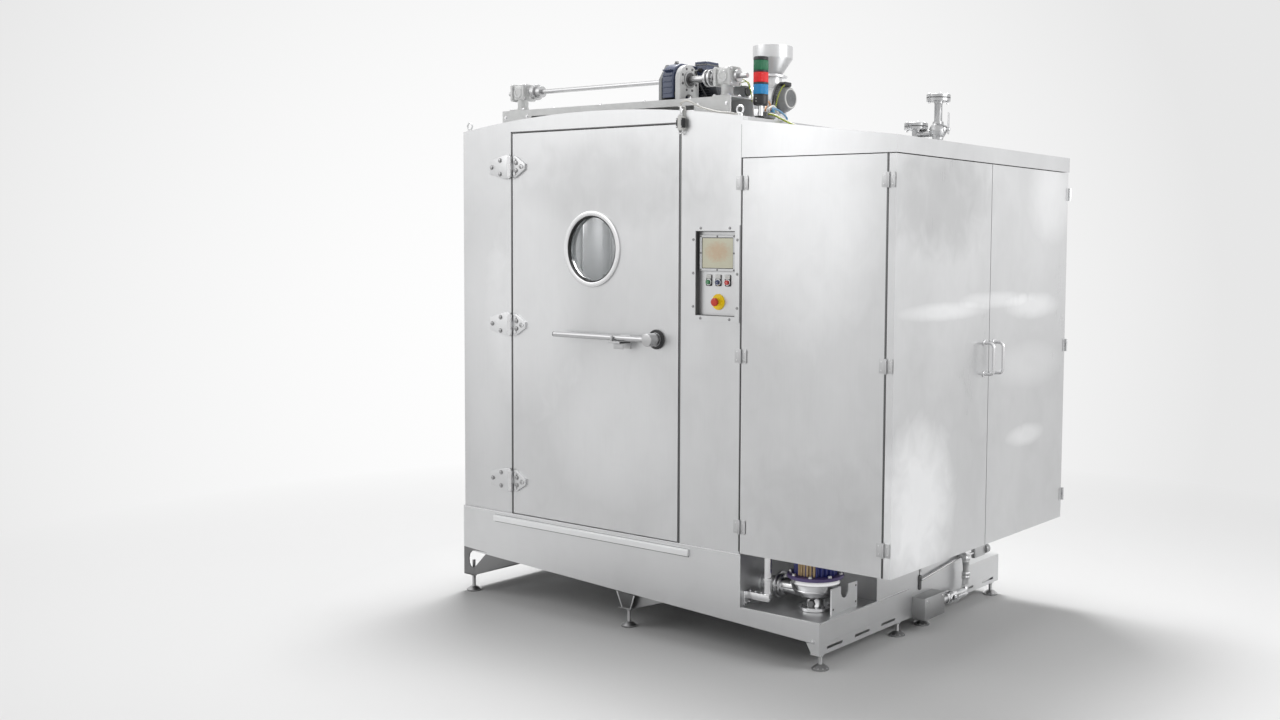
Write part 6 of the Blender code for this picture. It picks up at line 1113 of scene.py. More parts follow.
    def spray_column(self, side: str, x: float) -> None:
        """Spray pipe with capped ends, its nozzles and the shaft through the roof."""
        node = "spray_column_" + side
        s = self.sculpt(node + "_piped", "bright_steel")
        s.turned([(0.018, 0.54), (0.022, 0.545), (0.022, 2.44), (0.018, 2.45), (0.012, 2.452),
                  (0.012, 2.723), (0.0195, 2.7235), (0.0135, 2.729)],
                 at(x, self.y, 0), UP, 32)
        for z in np.linspace(0.66, 2.33, 8):
            s.turned([(0.009, 0.0), (0.009, 0.035), (0.0075, 0.045), (0.003, 0.045),
                      (0.002, 0.040)], at(x, self.y, z), BACK, 16)
        s.build("polished_steel", node, body=node)


@dataclass
class SignalTower(Assembly):
    """Stack light: foot, pole, base, three ribbed lenses, collars and cap."""

    x: float = 1.86
    y: float = 0.215
    seat: float = 2.5417

    def make(self) -> None:
        """Build the dark post, then the lenses."""
        base = self.seat + 0.056
        s = self.sculpt("signal_tower_post", "black_moulding")
        s.turned([(0.030, 0), (0.030, 0.004), (0.027, 0.006), (0.014, 0.006)],
                 at(self.x, self.y, self.seat), UP, 32)
        s.use("bolt_steel")
        s.turned([(0.012, 0.004), (0.012, 0.058)], at(self.x, self.y, self.seat), UP, 24)
        s.use("black_moulding")
        s.turned([(0.030, 0), (0.034, 0.004), (0.036, 0.010), (0.036, 0.045), (0.0345, 0.046),
                  (0.0345, 0.048), (0.036, 0.049), (0.036, 0.052), (0.0122, 0.0522)],
                 at(self.x, self.y, base), UP, 48)
        for low in (2.6973, 2.7538):
            s.turned([(0.0122, -0.003), (0.034, 0.0), (0.036, 0.001), (0.036, 0.008),
                      (0.034, 0.009), (0.0122, 0.009)], at(self.x, self.y, low), UP, 48)
        s.turned([(0.034, 0.0), (0.036, 0.001), (0.036, 0.012), (0.033, 0.0165),
                  (0.024, 0.018)], at(self.x, self.y, 2.8105), UP, 48)
        s.use("white_moulding")
        for up in (0.018, 0.032):
            for x, y, facing in ((0.0, -0.036, FRONT), (0.0284, -0.005, RIGHT)):
                s.turned([(0.0022, 0), (0.0022, 0.0012), (0.0014, 0.0016)],
                         at(self.x + x, self.y + y, base + up), facing, 12)
        s.build("black_plastic", "stack_light_post")
        for name, finish, low in (("blue_lens", "blue_lamp", 2.65),
                                  ("red_lens", "red_lamp", 2.7066),
                                  ("green_lens", "green_lamp", 2.7632)):
            a = turns(216)
            s = self.sculpt(name + "_ribbed", finish)
            s.slab(polar(0.0353 + 0.0006 * np.cos(36 * a), a), at(self.x, self.y, low), UP,
                   0.047, 0.0012, under=True)
            s.build(name, name)


@dataclass
class Exhaust(Assembly):
    """Roof fan: casing, flanged neck, tapered motor and the open stack above."""

    x: float = 1.535
    y: float = 0.75
    axis_z: float = 2.693

    def make(self) -> None:
        """Build casing, stack and motor."""
        self.casing()
        self.stack()
        self.motor()

    def casing(self) -> None:
        """Drum with rolled seams, its foot, and the neck up to the stack's flange."""
        s = self.sculpt("fan_drum", "spun_sheet")
        left, right = self.x - 0.155, self.x + 0.052
        s.turned([(0.070, left), (0.0745, left + 0.001), (0.076, left + 0.004),
                  (0.0745, left + 0.007), (0.0735, left + 0.009), (0.0735, right - 0.009),
                  (0.0745, right - 0.007), (0.076, right - 0.004), (0.0745, right - 0.001),
                  (0.070, right)], at(0, self.y, self.axis_z), RIGHT, 56)
        s.turned([(0.0495, 0.0), (0.0495, 0.112), (0.044, 0.112), (0.044, 0.0)],
                 at(self.x, self.y, self.axis_z), UP, 48, closed=True)
        s.use("satin_plinth")
        s.box(at(left + 0.003, self.y - 0.06, 2.5775), at(right - 0.003, self.y + 0.06, 2.643),
              0.002)
        s.use("bolt_steel")
        s.hexes([at(px, self.y - 0.06, 2.615) for px in (left + 0.02, right - 0.02)],
                FRONT, 0.006, 0.005)
        s.build("brushed_steel", "fan_casing")

    def stack(self) -> None:
        """Thin spun cone and cylinder with a rolled rim, on a bolted flange."""
        low = 2.8053
        wall = [(0.047, low), (0.0770, low), (0.0770, low + 0.008), (0.051, low + 0.008),
                (0.050, low + 0.010), (0.050, low + 0.016), (0.1045, low + 0.0955),
                (0.105, low + 0.098), (0.105, low + 0.159), (0.1035, low + 0.159),
                (0.102, low + 0.157), (0.102, low + 0.0965), (0.047, low + 0.016)]
        s = self.sculpt("exhaust_stack_spun", "spun_sheet")
        s.turned(wall, at(self.x, self.y, 0), UP, 84, closed=True)
        s.use("bolt_steel")
        s.hexes(around(at(self.x, self.y, low + 0.008), 0.066, turns(8, 0.3), UP), UP, 0.0055,
                0.005, 1.25)
        s.build("brushed_steel", "exhaust_stack")

    def motor(self) -> None:
        """Finned body, tapering cowl and the end grille of rings and spokes."""
        place = at(self.x + 0.0523, self.y, self.axis_z)
        s = self.sculpt("fan_motor_cast", "grey_enamel")
        s.turned([(0.073, 0), (0.076, 0.002), (0.076, 0.010), (0.073, 0.012), (0.066, 0.013)],
                 place, RIGHT, 56)
        s.slab(finned(0.070, 0.0635, 32), place + (0.012, 0, 0), RIGHT, 0.018, 0.0008)
        s.turned([(0.068, 0.028), (0.070, 0.030), (0.0695, 0.034), (0.054, 0.064),
                  (0.050, 0.066)], place, RIGHT, 56)
        s.use("white_moulding")
        s.turned([(0.044, 0.062), (0.0505, 0.062), (0.0515, 0.065), (0.0500, 0.068),
                  (0.0450, 0.068)], place, RIGHT, 56, closed=True)
        s.use("black_moulding")
        s.turned([(0.0448, 0.063), (0.0448, 0.0655)], place, RIGHT, 40)
        s.use("grey_moulding")
        for ring in (0.009, 0.018, 0.027, 0.036):
            s.turned([(ring - 0.0011, 0.0655), (ring + 0.0011, 0.0655), (ring + 0.0011, 0.0675),
                      (ring - 0.0011, 0.0675)], place, RIGHT, 40, closed=True)
        for spoke in around(np.zeros(3), 1.0, turns(14)):
            s.tube(np.stack([place + (0.0665, 0, 0) + spoke * r for r in (0.008, 0.026, 0.0445)]),
                   0.0009, 6)
        s.use("black_moulding")
        s.box(*near(place, (0.016, -0.035, 0.062), (0.056, 0.02, 0.083)), 0.003)
        lead = near(place, (0.03, -0.033, 0.072), (0.03, -0.062, 0.066), (0.026, -0.088, 0.02),
                    (0.012, -0.092, -0.05))
        s.tube(smooth_route(lead + [on_roof(1.60, 0.62, 0.006)], 9), 0.0045, 12)
        s.use("earth_jacket")
        earth = near(place, (0.05, -0.03, 0.068), (0.054, -0.066, 0.045), (0.04, -0.083, -0.01))
        s.tube(smooth_route(earth + [on_roof(1.63, 0.63, 0.004)], 9), 0.0026, 10)
        s.build("motor_grey", "fan_motor")


@dataclass
class SteamPipes(Assembly):
    """Steam riser and branch on the cabinet's roof, with flanges and a globe valve."""

    x: float = 2.3
    y: float = 1.15
    branch: float = 0.13
    pipe: float = 0.021
    rim: float = 0.062

    def column(self, s: Sculpt, x: float, end: float, valve: Optional[float]) -> None:
        """One upright: pipe, valve body if it has one, a flange pair and its bolts."""
        seat = cap_height(x - self.pipe) + FIT
        profile = [(self.pipe + 0.004, seat), (self.pipe + 0.002, seat + 0.004),
                   (self.pipe, seat + 0.005)]
        if valve:
            profile += [(self.pipe, valve - 0.046), (0.028, valve - 0.046),
                        (0.029, valve - 0.034), (0.036, valve - 0.026), (0.0455, valve - 0.008),
                        (0.0455, valve + 0.008), (0.036, valve + 0.026),
                        (0.029, valve + 0.034), (0.028, valve + 0.046), (self.pipe, valve + 0.046)]
        low, rim = end - 0.034, self.rim
        profile += [(self.pipe, low - 0.012), (self.pipe + 0.006, low), (rim - 0.001, low),
                    (rim, low + 0.001), (rim, low + 0.014), (rim - 0.001, low + 0.015),
                    (rim - 0.006, low + 0.015), (rim - 0.006, low + 0.019),
                    (rim - 0.001, low + 0.019), (rim, low + 0.020), (rim, end - 0.001),
                    (rim - 0.001, end)]
        s.use("pipe_sheet").turned(profile, at(x, self.y, 0), UP, 48)
        s.use("shadow_sheet")
        s.turned([(rim - 0.0065, low + 0.0148), (rim - 0.0004, low + 0.0148),
                  (rim - 0.0004, low + 0.0192), (rim - 0.0065, low + 0.0192)],
                 at(x, self.y, 0), UP, 48, closed=True)
        s.use("bolt_steel")
        for place in around(at(x, self.y, 0), 0.048, turns(4, math.pi / 4), UP):
            s.turned([(0.005, low - 0.014), (0.005, end + 0.006)], place, UP, 12)
            s.hexes([place + (0, 0, end)], UP, 0.0085, 0.007, 1.2)
            s.hexes([place + (0, 0, low)], DOWN, 0.0085, 0.007, 1.2)

    def make(self) -> None:
        """Build both uprights, the cross pipe and the valve's spindle and lever."""
        s = self.sculpt("steam_pipework_flanged", "pipe_sheet")
        valve = 2.53
        self.column(s, self.x, 2.714, valve)
        self.column(s, self.x - self.branch, 2.574, None)
        s.use("pipe_sheet")
        cross = near(at(self.x, self.y, valve - 0.0105), (-self.branch, 0, 0),
                     (-self.branch / 2, 0, 0), (0, 0, 0))
        s.tube(np.stack(cross), self.pipe - 0.002, 32)
        s.turned([(0.020, 0.03), (0.020, 0.046), (0.014, 0.05), (0.010, 0.052), (0.010, 0.066)],
                 at(self.x, self.y, valve + 0.006), RIGHT, 24)
        s.use("bar_steel")
        s.slab(rounded_rectangle(0.014, 0.11, 0.006), at(self.x + 0.058, self.y, valve + 0.035),
               RIGHT, 0.005, 0.0015)
        s.use("bolt_steel")
        s.hexes([at(self.x + 0.064, self.y, valve + 0.006)], RIGHT, 0.008, 0.006, 1.2)
        s.build("brushed_steel", "steam_pipework")


@dataclass
class RoofHoses(Assembly):
    """Terminal block on the roof and the hoses and wires that leave it."""

    left: float = 1.785
    front: float = 0.29

    def make(self) -> None:
        """Build the block, three hoses back to the fan and two wires to the right."""
        bottom = roof_height(self.left) + FIT
        right, back, top = self.left + 0.055, self.front + 0.075, bottom + 0.03
        middle = ((self.left + right) / 2, (self.front + back) / 2)
        s = self.sculpt("roof_hoses_coloured", "grey_moulding")
        s.box(at(self.left, self.front, bottom), at(right, back, top), 0.003)
        s.use("blue_jacket")
        s.turned([(0.011, -0.004), (0.011, 0.010), (0.008, 0.012)],
                 at(middle[0] + 0.016, middle[1] + 0.028, top), UP, 24)
        for finish, shift, rise, end in (
                ("orange_jacket", -0.016, 0.09, (1.700, 0.520)),
                ("white_jacket", 0.0, 0.07, (1.715, 0.560)),
                ("blue_jacket", 0.016, 0.05, (1.735, 0.600))):
            x, y = middle[0] + shift, middle[1] + 0.02 + shift / 2
            s.use(finish)
            s.tube(smooth_route([at(x, y, top - 0.005), at(x, y, top + 0.02),
                                 on_roof((x + end[0]) / 2, (y + end[1]) / 2, rise),
                                 on_roof(*end, rise / 2), on_roof(*end, 0.005)], 10),
                   0.0048, 14)
            s.use("bolt_steel")
            s.turned([(0.0085, -0.001), (0.0085, 0.007), (0.0065, 0.009)],
                     at(x, y, top), UP, 6)
        for finish, shift in (("earth_jacket", 0.0), ("white_jacket", 0.016)):
            y = self.front + 0.014 + shift
            s.use(finish)
            s.tube(smooth_route([at(right - 0.005, y, top - 0.01),
                                 at(1.87, y + 0.004, bottom + 0.012),
                                 on_roof(1.905, y + 0.006, 0.012),
                                 at(1.945, y + 0.008, cap_height(1.945) + 0.018),
                                 at(1.985, y + 0.01, cap_height(1.985) + 0.006)], 9),
                   0.0045, 12)
        s.build("cable_jacket", "roof_hoses")


@dataclass
class CabinetDoors(Assembly):
    """Pull handles and hinge skins of the service cabinet's folding doors."""

    width: float = 2.75
    split: float = 0.89
    heights: tuple[float, ...] = (2.22, 1.415, 0.608)

    def handle(self, node: str, y: float, body: str) -> None:
        """Round D handle: a bent rod on two foot discs."""
        low, high, out = 1.325, 1.475, self.width + 0.052
        s = self.sculpt(node + "_bent", "bright_steel")
        s.tube(bent_route([at(self.width + 0.0015, y, low), at(out, y, low), at(out, y, high),
                           at(self.width + 0.0015, y, high)], 0.025, 10), 0.008, 22)
        for z in (low, high):
            s.turned([(0.015, FIT), (0.015, 0.004), (0.0135, 0.0053), (0.009, 0.0055)],
                     at(self.width, y, z), RIGHT, 30)
        s.build("polished_steel", node, body=body)

    def hinge_skins(self) -> None:
        """Thin leaf skins with screws and round knuckle sleeves on each butt hinge."""
        for name, body, pins, leaves, screws in (
                ("butt_hinge_skins", "cabin", (1.92,), (1.8985,), (1.8975,)),
                ("service_leaf_skins", "service_door", (2.713,), (1.9415, 2.6915),
                 (1.9425, 2.6905)),
                ("corner_leaf_skins", "side_door_front", (), (2.7345,), (2.7355,))):
            s = self.sculpt(name, "leaf_sheet")
            for z in self.heights:
                s.use("leaf_sheet")
                for x in pins:
                    s.turned([(0.0063, -0.0335), (0.0066, -0.0325), (0.0066, 0.0325),
                              (0.0063, 0.0335)], at(x, -0.0075, z), UP, 20)
                for x in leaves:
                    s.slab(rounded_rectangle(0.026, 0.062, 0.002), at(x, -0.0031, z), FRONT,
                           0.0012, 0.0004)
                s.use("bolt_steel")
                s.domes([at(x, -0.0043, z + up) for x in screws for up in (-0.018, 0.018)],
                        FRONT, 0.0036, 0.0014)
            s.build("polished_steel", body=body)

    def make(self) -> None:
        """Build both handles and the hinge skins."""
        self.handle("front_pull_handle", self.split - 0.05, "side_door_front")
        self.handle("rear_pull_handle", self.split + 0.05, "side_door_rear")
        self.hinge_skins()


@dataclass
class ControlPanel(Assembly):
    """Screen, push-buttons and emergency stop in their framed pocket."""

    middle: float = 1.764
    bottom: float = 1.57
    height: float = 0.455
    width: float = 0.292
    pitch: float = 0.057
    button_z: float = 1.756
    stop_z: float = 1.663
    screen_z: float = 1.894
    seat: float = 0.0237

    def make(self) -> None:
        """Build the frame's screws, the screen, the buttons and the stop."""
        self.screws()
        self.screen()
        self.buttons()
        self.emergency_stop()

    def screws(self) -> None:
        """Ten screw heads round the frame and a band of painted shade inside it."""
        left, right = self.middle - self.width / 2, self.middle + self.width / 2
        front = -0.0053
        places = [at(x, front, self.bottom + self.height * share)
                  for x in (left + 0.0135, right - 0.0135) for share in (0.15, 0.5, 0.85)]
        places += [at(left + self.width * share, front, z) for share in (0.2, 0.8)
                   for z in (self.bottom + 0.0135, self.bottom + self.height - 0.0135)]
        s = self.sculpt("panel_screws", "dark_bolt")
        s.domes(places, FRONT, 0.0068, 0.0038)
        s.build("polished_steel")
        inner = rounded_rectangle(self.width - 0.0545, self.height - 0.0545, 0.002)
        # Painted shade along the pocket's inner edge.
        s = self.sculpt("pocket_painted_shade", "shadow_sheet")
        s.frame_slab(inner, inset(inner, 0.002),
                     at(self.middle, self.seat + 0.0002, self.bottom + self.height / 2),
                     FRONT, 0.0235, 0.0004)
        s.build("black_plastic")

    def screen(self) -> None:
        """Grey bezel with a stepped rim round the lit screen."""
        z, outer = self.screen_z, rounded_rectangle(0.215, 0.172, 0.006)
        place = at(self.middle, self.seat, z)
        s = self.sculpt("screen_bezel", "cast_steel")
        s.frame_slab(outer, rounded_rectangle(0.189, 0.146, 0.003), place, FRONT, 0.012,
                     0.0015)
        s.use("black_moulding")
        s.frame_slab(rounded_rectangle(0.190, 0.147, 0.003),
                     rounded_rectangle(0.184, 0.141, 0.002), place, FRONT, 0.0098, 0.0006)
        s.use("lit_screen")
        s.slab(rounded_rectangle(0.1845, 0.1415, 0.002), place, FRONT, 0.009, 0.0005)
        s.use("dark_bolt")
        s.domes([at(self.middle + px, self.seat - 0.0118, z + up)
                 for px in (-0.1, 0.0, 0.1) for up in (-0.079, 0.0, 0.079) if px or up],
                FRONT, 0.0046, 0.0022)
        s.build("cream_screen", "hmi_panel")

    def buttons(self) -> None:
        """Holders with a blank white label and a bezel, and three domed caps."""
        s = self.sculpt("button_holders", "black_moulding")
        centres = [self.middle + self.pitch * k for k in (-1, 0, 1)]
        for x in centres:
            s.use("black_moulding")
            outline = rounded_rectangle(0.034, 0.055, 0.006)
            s.frame_slab(outline, hole_like(outline, 0.0119, (0, -0.009)),
                         at(x, self.seat, self.button_z + 0.009), FRONT, 0.004, 0.0008)
            s.use("bright_steel")
            s.turned([(0.0120, 0.0035), (0.0158, 0.0035), (0.0158, 0.006), (0.0145, 0.0075),
                      (0.0120, 0.0075)], at(x, self.seat, self.button_z), FRONT, 36,
                     closed=True)
            s.use("white_moulding")
            s.slab(rounded_rectangle(0.031, 0.020, 0.004),
                   at(x, self.seat, self.button_z + 0.0262), FRONT, 0.0062, 0.0006)
        s.build("black_plastic", "legend_plates")
        for node, finish, slot, x in zip(("start_button", "reset_button", "stop_button"),
                                         ("green_key", "navy_key", "red_key"),
                                         ("green_cap", "blue_cap", "red_cap"), centres):
            s = self.sculpt(node + "_cap", finish)
            s.turned([(0.0114, 0), (0.0114, 0.0105), (0.0108, 0.0122), (0.009, 0.0129),
                      (0.0085, 0.0126), (0.003, 0.0124)],
                     at(x, 0.0206, self.button_z), FRONT, 36)
            s.use("white_moulding")
            s.slab(rounded_rectangle(0.007, 0.0016, 0.0007, 3), at(x, 0.0206, self.button_z),
                   FRONT, 0.0128, 0.0002)
            s.build(slot, node, body=node)

    def emergency_stop(self) -> None:
        """Yellow disc and collar; red mushroom with a fluted rim."""
        s = self.sculpt("stop_disc", "yellow_disc")
        s.turned([(0.018, 0), (0.038, 0), (0.038, 0.003), (0.0372, 0.004), (0.0195, 0.004),
                  (0.018, 0.006), (0.018, 0.0172), (0.017, 0.0179), (0.0095, 0.0179),
                  (0.0095, 0)], at(self.middle, self.seat, self.stop_z), FRONT, 64,
                 closed=True)
        s.build("yellow_disc", "estop_base")
        disc, collar, travel = 0.004, 0.014, 0.005
        back = self.seat - disc - collar - travel - 0.0004
        a = turns(96)
        heights = np.array([0.0, 0.0015, 0.005, 0.0085, 0.0115, 0.0132, 0.014])
        radii = np.array([0.0172, 0.0188, 0.0192, 0.0196, 0.0188, 0.0165, 0.011])
        flute = np.array([0.0, 1.0, 1.0, 1.0, 0.6, 0.2, 0.0]) * 0.0004
        ring = radii[:, None] + flute[:, None] * np.cos(24 * a)[None, :]
        grid = np.stack((ring * np.cos(a), np.broadcast_to(-heights[:, None], ring.shape),
                         ring * np.sin(a)), axis=-1) + at(self.middle, back, self.stop_z)
        s = self.sculpt("stop_mushroom", "stop_red")
        s.surface(grid)
        s.turned([(0.0088, -0.0135), (0.0088, 0.002)], at(self.middle, back, self.stop_z),
                 FRONT, 24)
        s.build("red_cap", "estop_mushroom", body="estop_mushroom")


@dataclass
class WashPump(Assembly):
    """Upright pump in its bay: bowl, clamped suction, flange, ribbed motor and riser."""

    x: float = 2.22
    y: float = 0.2
    tray: float = 0.225
    suction_z: float = 0.3093
    wall: float = 1.93

    def make(self) -> None:
        """Build the pump and the riser beside it."""
        self.casing()
        self.motor()
        self.riser()
        self.suction_skins()

    def casing(self) -> None:
        """Bowl turned with seams, a bolted base ring and the suction's clamp."""
        base = self.tray + FIT
        low, high = base + 0.054, base + 0.154
        bowl = [(0.077, base), (0.080, base + 0.002), (0.080, base + 0.016),
                (0.078, base + 0.018), (0.046, base + 0.018), (0.045, base + 0.020),
                (0.045, low - 0.003), (0.060, low + 0.003), (0.084, low + 0.013),
                (0.097, low + 0.026), (0.1085, low + 0.043), (0.1105, low + 0.047),
                (0.1095, low + 0.049), (0.113, low + 0.056), (0.1195, low + 0.074),
                (0.1215, low + 0.078), (0.1215, low + 0.082), (0.1195, low + 0.086),
                (0.120, high - 0.002), (0.117, high)]
        s = self.sculpt("pump_bowl", "bright_steel")
        s.turned(bowl, at(self.x, self.y, 0), UP, 84)
        split = self.wall + 0.1015
        s.turned([(0.050, split), (0.056, split + 0.003), (0.056, split + 0.009),
                  (0.048, split + 0.013), (0.038, split + 0.014), (0.038, self.x - 0.085)],
                 at(0, self.y, self.suction_z), RIGHT, 56)
        s.use("dark_bolt")
        s.turned([(0.018, 0.0), (0.020, 0.002), (0.020, 0.012), (0.017, 0.015)],
                 at(self.x + 0.012, self.y - 0.043, base + 0.034), FRONT, 6)
        s.hexes(around(at(self.x, self.y, base + 0.018), 0.066, np.linspace(-2.6, 0.4, 5), UP),
                UP, 0.0065, 0.006, 1.3)
        s.build("polished_steel", "pump_casing")

    def suction_skins(self) -> None:
        """Second clamp flange, with the clamp's bolt, on the tank's own suction pipe."""
        split = self.wall + 0.0985
        s = self.sculpt("suction_clamp", "bright_steel")
        s.turned([(0.0385, split - 0.0145), (0.056, split - 0.0135), (0.066, split - 0.009),
                  (0.066, split - 0.002), (0.060, split), (0.0385, split)],
                 at(0, self.y, self.suction_z), RIGHT, 56, closed=True)
        s.use("bolt_steel")
        s.turned([(0.006, -0.02), (0.006, 0.02)], at(split - 0.004, self.y - 0.06,
                                                     self.suction_z + 0.01), RIGHT, 12)
        s.build("polished_steel")

    def motor(self) -> None:
        """Bolted flange, finned case with six copper ribs in front, and a domed top."""
        low = self.tray + 0.1546
        place = at(self.x, self.y, 0)
        s = self.sculpt("pump_motor_ribbed", "violet_enamel")
        s.turned([(0.131, low), (0.134, low + 0.002), (0.134, low + 0.016), (0.131, low + 0.018),
                  (0.100, low + 0.018)], place, UP, 72)
        s.use("blue_enamel")
        s.slab(finned(0.104, 0.091, 26), at(self.x, self.y, low + 0.017), UP, 0.268, 0.001)
        s.turned([(0.098, low + 0.282), (0.104, low + 0.286), (0.104, low + 0.305),
                  (0.098, low + 0.315), (0.080, low + 0.3175)], place, UP, 56)
        s.use("copper_enamel")
        for foot in around(place, 0.1, np.radians(255.0 + 9.0 * np.arange(6)), UP):
            s.tube(np.stack([foot + (0, 0, low + up) for up in (0.02, 0.12, 0.22)]), 0.0064, 10)
        s.use("bolt_steel")
        s.hexes(around(at(self.x, self.y, low + 0.018), 0.12, turns(8, math.pi / 8), UP), UP,
                0.0092, 0.0095, 1.2)
        s.build("motor_blue", "pump_motor")

    def riser(self) -> None:
        """Square arm on a bolted bracket plate, and the delivery pipe with its collar."""
        x, y = 2.055, 0.045
        arm = self.tray + 0.04
        s = self.sculpt("pump_riser_welded", "bright_steel")
        s.box(at(self.wall + FIT, y - 0.025, arm - 0.032),
              at(self.wall + 0.0083, y + 0.025, arm + 0.036), 0.002)
        s.box(at(self.wall + 0.004, y - 0.017, arm), at(x + 0.017, y + 0.017, arm + 0.034),
              0.004)
        s.turned([(0.021, arm + 0.032), (0.0225, arm + 0.035), (0.021, arm + 0.038),
                  (0.019, arm + 0.039), (0.019, arm + 0.10), (0.024, arm + 0.102),
                  (0.024, arm + 0.112), (0.019, arm + 0.114), (0.019, 0.48)],
                 at(x, y, 0), UP, 36)
        s.use("bolt_steel")
        s.hexes([at(px, y, arm + 0.034) for px in (1.955, 1.985, 2.02)], UP, 0.0055,
                0.005, 1.2)
        s.hexes([at(self.wall + 0.0083, y + side, arm - 0.022) for side in (-0.014, 0.014)],
                RIGHT, 0.0055, 0.004, 1.2)
        s.build("polished_steel", "pump_riser")


@dataclass
class Base(Assembly):
    """Levelling feet, drain pipework, its valve, the dump valve and the plinth's bolts."""

    leg_feet: tuple[tuple[float, float], ...] = ((0.034, 0.03), (0.034, 1.74), (1.195, 0.03),
                                                 (1.195, 1.74))
    rail_feet: tuple[tuple[float, float], ...] = ((2.36, 0.042), (2.36, 0.72), (2.36, 0.965),
                                                  (2.36, 1.728))
    drain: tuple[float, float, float] = (2.43, 1.13, 0.122)

    def make(self) -> None:
        """Build feet, drain, valve lever, dump valve and the plinth's small parts."""
        self.feet()
        self.drain_pipes()
        self.lever()
        self.dump_valve()
        self.plinth_bolts()

    def feet(self) -> None:
        """Disc, cone, threaded stem and lock nut under each leg; the thread is ridged."""
        s = self.sculpt("foot_discs", "foot_steel")
        for feet, under in ((self.leg_feet, 0.095), (self.rail_feet, 0.075)):
            for x, y in feet:
                s.turned([(0.0385, 0.0), (0.0405, 0.002), (0.0405, 0.0085), (0.038, 0.0104),
                          (0.0175, 0.0248), (0.0165, 0.0248)], at(x, y, 0), UP, 40)
                z = np.arange(0.024, under - 0.012, 0.002)
                thread = [(0.0092 + 0.0007 * (k % 2), h) for k, h in enumerate(z)]
                s.turned(thread, at(x, y, 0), UP, 18)
                s.turned([(0.0150, under - 0.0125), (0.0166, under - 0.0112),
                          (0.0166, under - 0.0012), (0.0150, under - 0.0002)],
                         at(x, y, 0), UP, 6, phase=0.4)
        for x, y in self.leg_feet:
            s.turned([(0.0085, 0.1015), (0.0085, 0.170), (0.007, 0.172)], at(x, y, 0),
                     UP, 18)
        s.build("polished_steel")

    def drain_pipes(self) -> None:
        """Drain box with its two bolts, bent pipe, ball valve with hexagon ends."""
        x, y, z = self.drain
        wall = 2.3853
        s = self.sculpt("drain_pipework_bent", "leg_sheet")
        # The drain box is in a darker tone: painted shade.
        s.box(at(wall, 0.82, 0.067), at(wall + 0.076, 1.02, 0.179), 0.002)
        s.use("spun_sheet")
        s.tube(bent_route([at(x, 1.0, z), at(x, 1.3, z), at(x, 1.3, 0.31), at(wall, 1.3, 0.31)],
                          0.035, 9), 0.019, 30)
        for low in (0.185, 0.205, 0.285):
            s.turned([(0.0235, low), (0.0245, low + 0.002), (0.0245, low + 0.012),
                      (0.0235, low + 0.014)], at(x, 1.3, 0), UP, 6)
        s.use("bright_steel")
        s.turned([(0.020, -0.031), (0.030, -0.029), (0.034, -0.014), (0.034, 0.014),
                  (0.030, 0.029), (0.020, 0.031)], at(x, y, z), BACK, 36)
        for start in (-0.047, 0.0285):
            s.turned([(0.026, start), (0.028, start + 0.002), (0.028, start + 0.0165),
                      (0.026, start + 0.0185)], at(x, y, z), BACK, 6)
        s.turned([(0.013, 0.028), (0.013, 0.036), (0.008, 0.037), (0.008, 0.054)],
                 at(x, y, z), RIGHT, 20)
        s.use("bolt_steel")
        s.hexes([at(wall + 0.076, along, 0.16) for along in (0.84, 1.0)], RIGHT, 0.006, 0.005)
        s.build("brushed_steel", "drain_pipework")

    def lever(self) -> None:
        """Flat valve lever with a round eye, its edges rounded."""
        x, y, z = self.drain
        start = x + 0.039
        s = self.sculpt("valve_lever_pressed", "bright_steel")
        ring = circle(0.0215, 40)
        s.frame_slab(ring, ring * (0.0085 / 0.0215), at(start, y, z), RIGHT, 0.005,
                     0.0008)
        s.slab(rounded_rectangle(0.105, 0.021, 0.009), at(start, y + 0.0675, z), RIGHT,
               0.005, 0.001, under=True)
        s.build("polished_steel", "drain_valve_lever", body="drain_valve_lever")

    def dump_valve(self) -> None:
        """Dump valve's actuator: body, turned head, bent link, long rod and the rod's plate."""
        s = self.sculpt("dump_valve_actuator", "cast_steel")
        s.box(at(2.3852, 1.44, 0.262), at(2.412, 1.56, 0.322), 0.006)
        s.use("pipe_sheet")
        s.turned([(0.024, 0.0), (0.026, 0.003), (0.026, 0.034), (0.022, 0.038)],
                 at(2.398, 1.56, 0.292), BACK, 30)
        s.use("bright_steel")
        s.tube(np.stack([at(2.398, 1.44, 0.292), at(2.398, 1.40, 0.292), at(2.398, 1.33, 0.31)]),
               0.008, 16)
        s.tube(np.stack([at(2.396, 0.891, 0.2527), at(2.396, 1.323, 0.2964)]), 0.007, 14)
        # The rod's plate in the darkest tone: painted shade.
        s.use("dim_sheet")
        s.slab(rounded_rectangle(0.022, 0.075, 0.006), at(2.3855, 0.891, 0.238), RIGHT,
               0.006, 0.001)
        s.build("brushed_steel")

    def plinth_bolts(self) -> None:
        """Bolts beside the tank's seam and on the rail's front."""
        s = self.sculpt("plinth_bolts", "bolt_steel")
        s.hexes([at(2.385, 0.905, 0.30), at(2.385, 0.905, 0.345)], RIGHT, 0.008, 0.006)
        s.hexes([at(2.35, -0.006, 0.135)], FRONT, 0.008, 0.006)
        s.build("polished_steel")


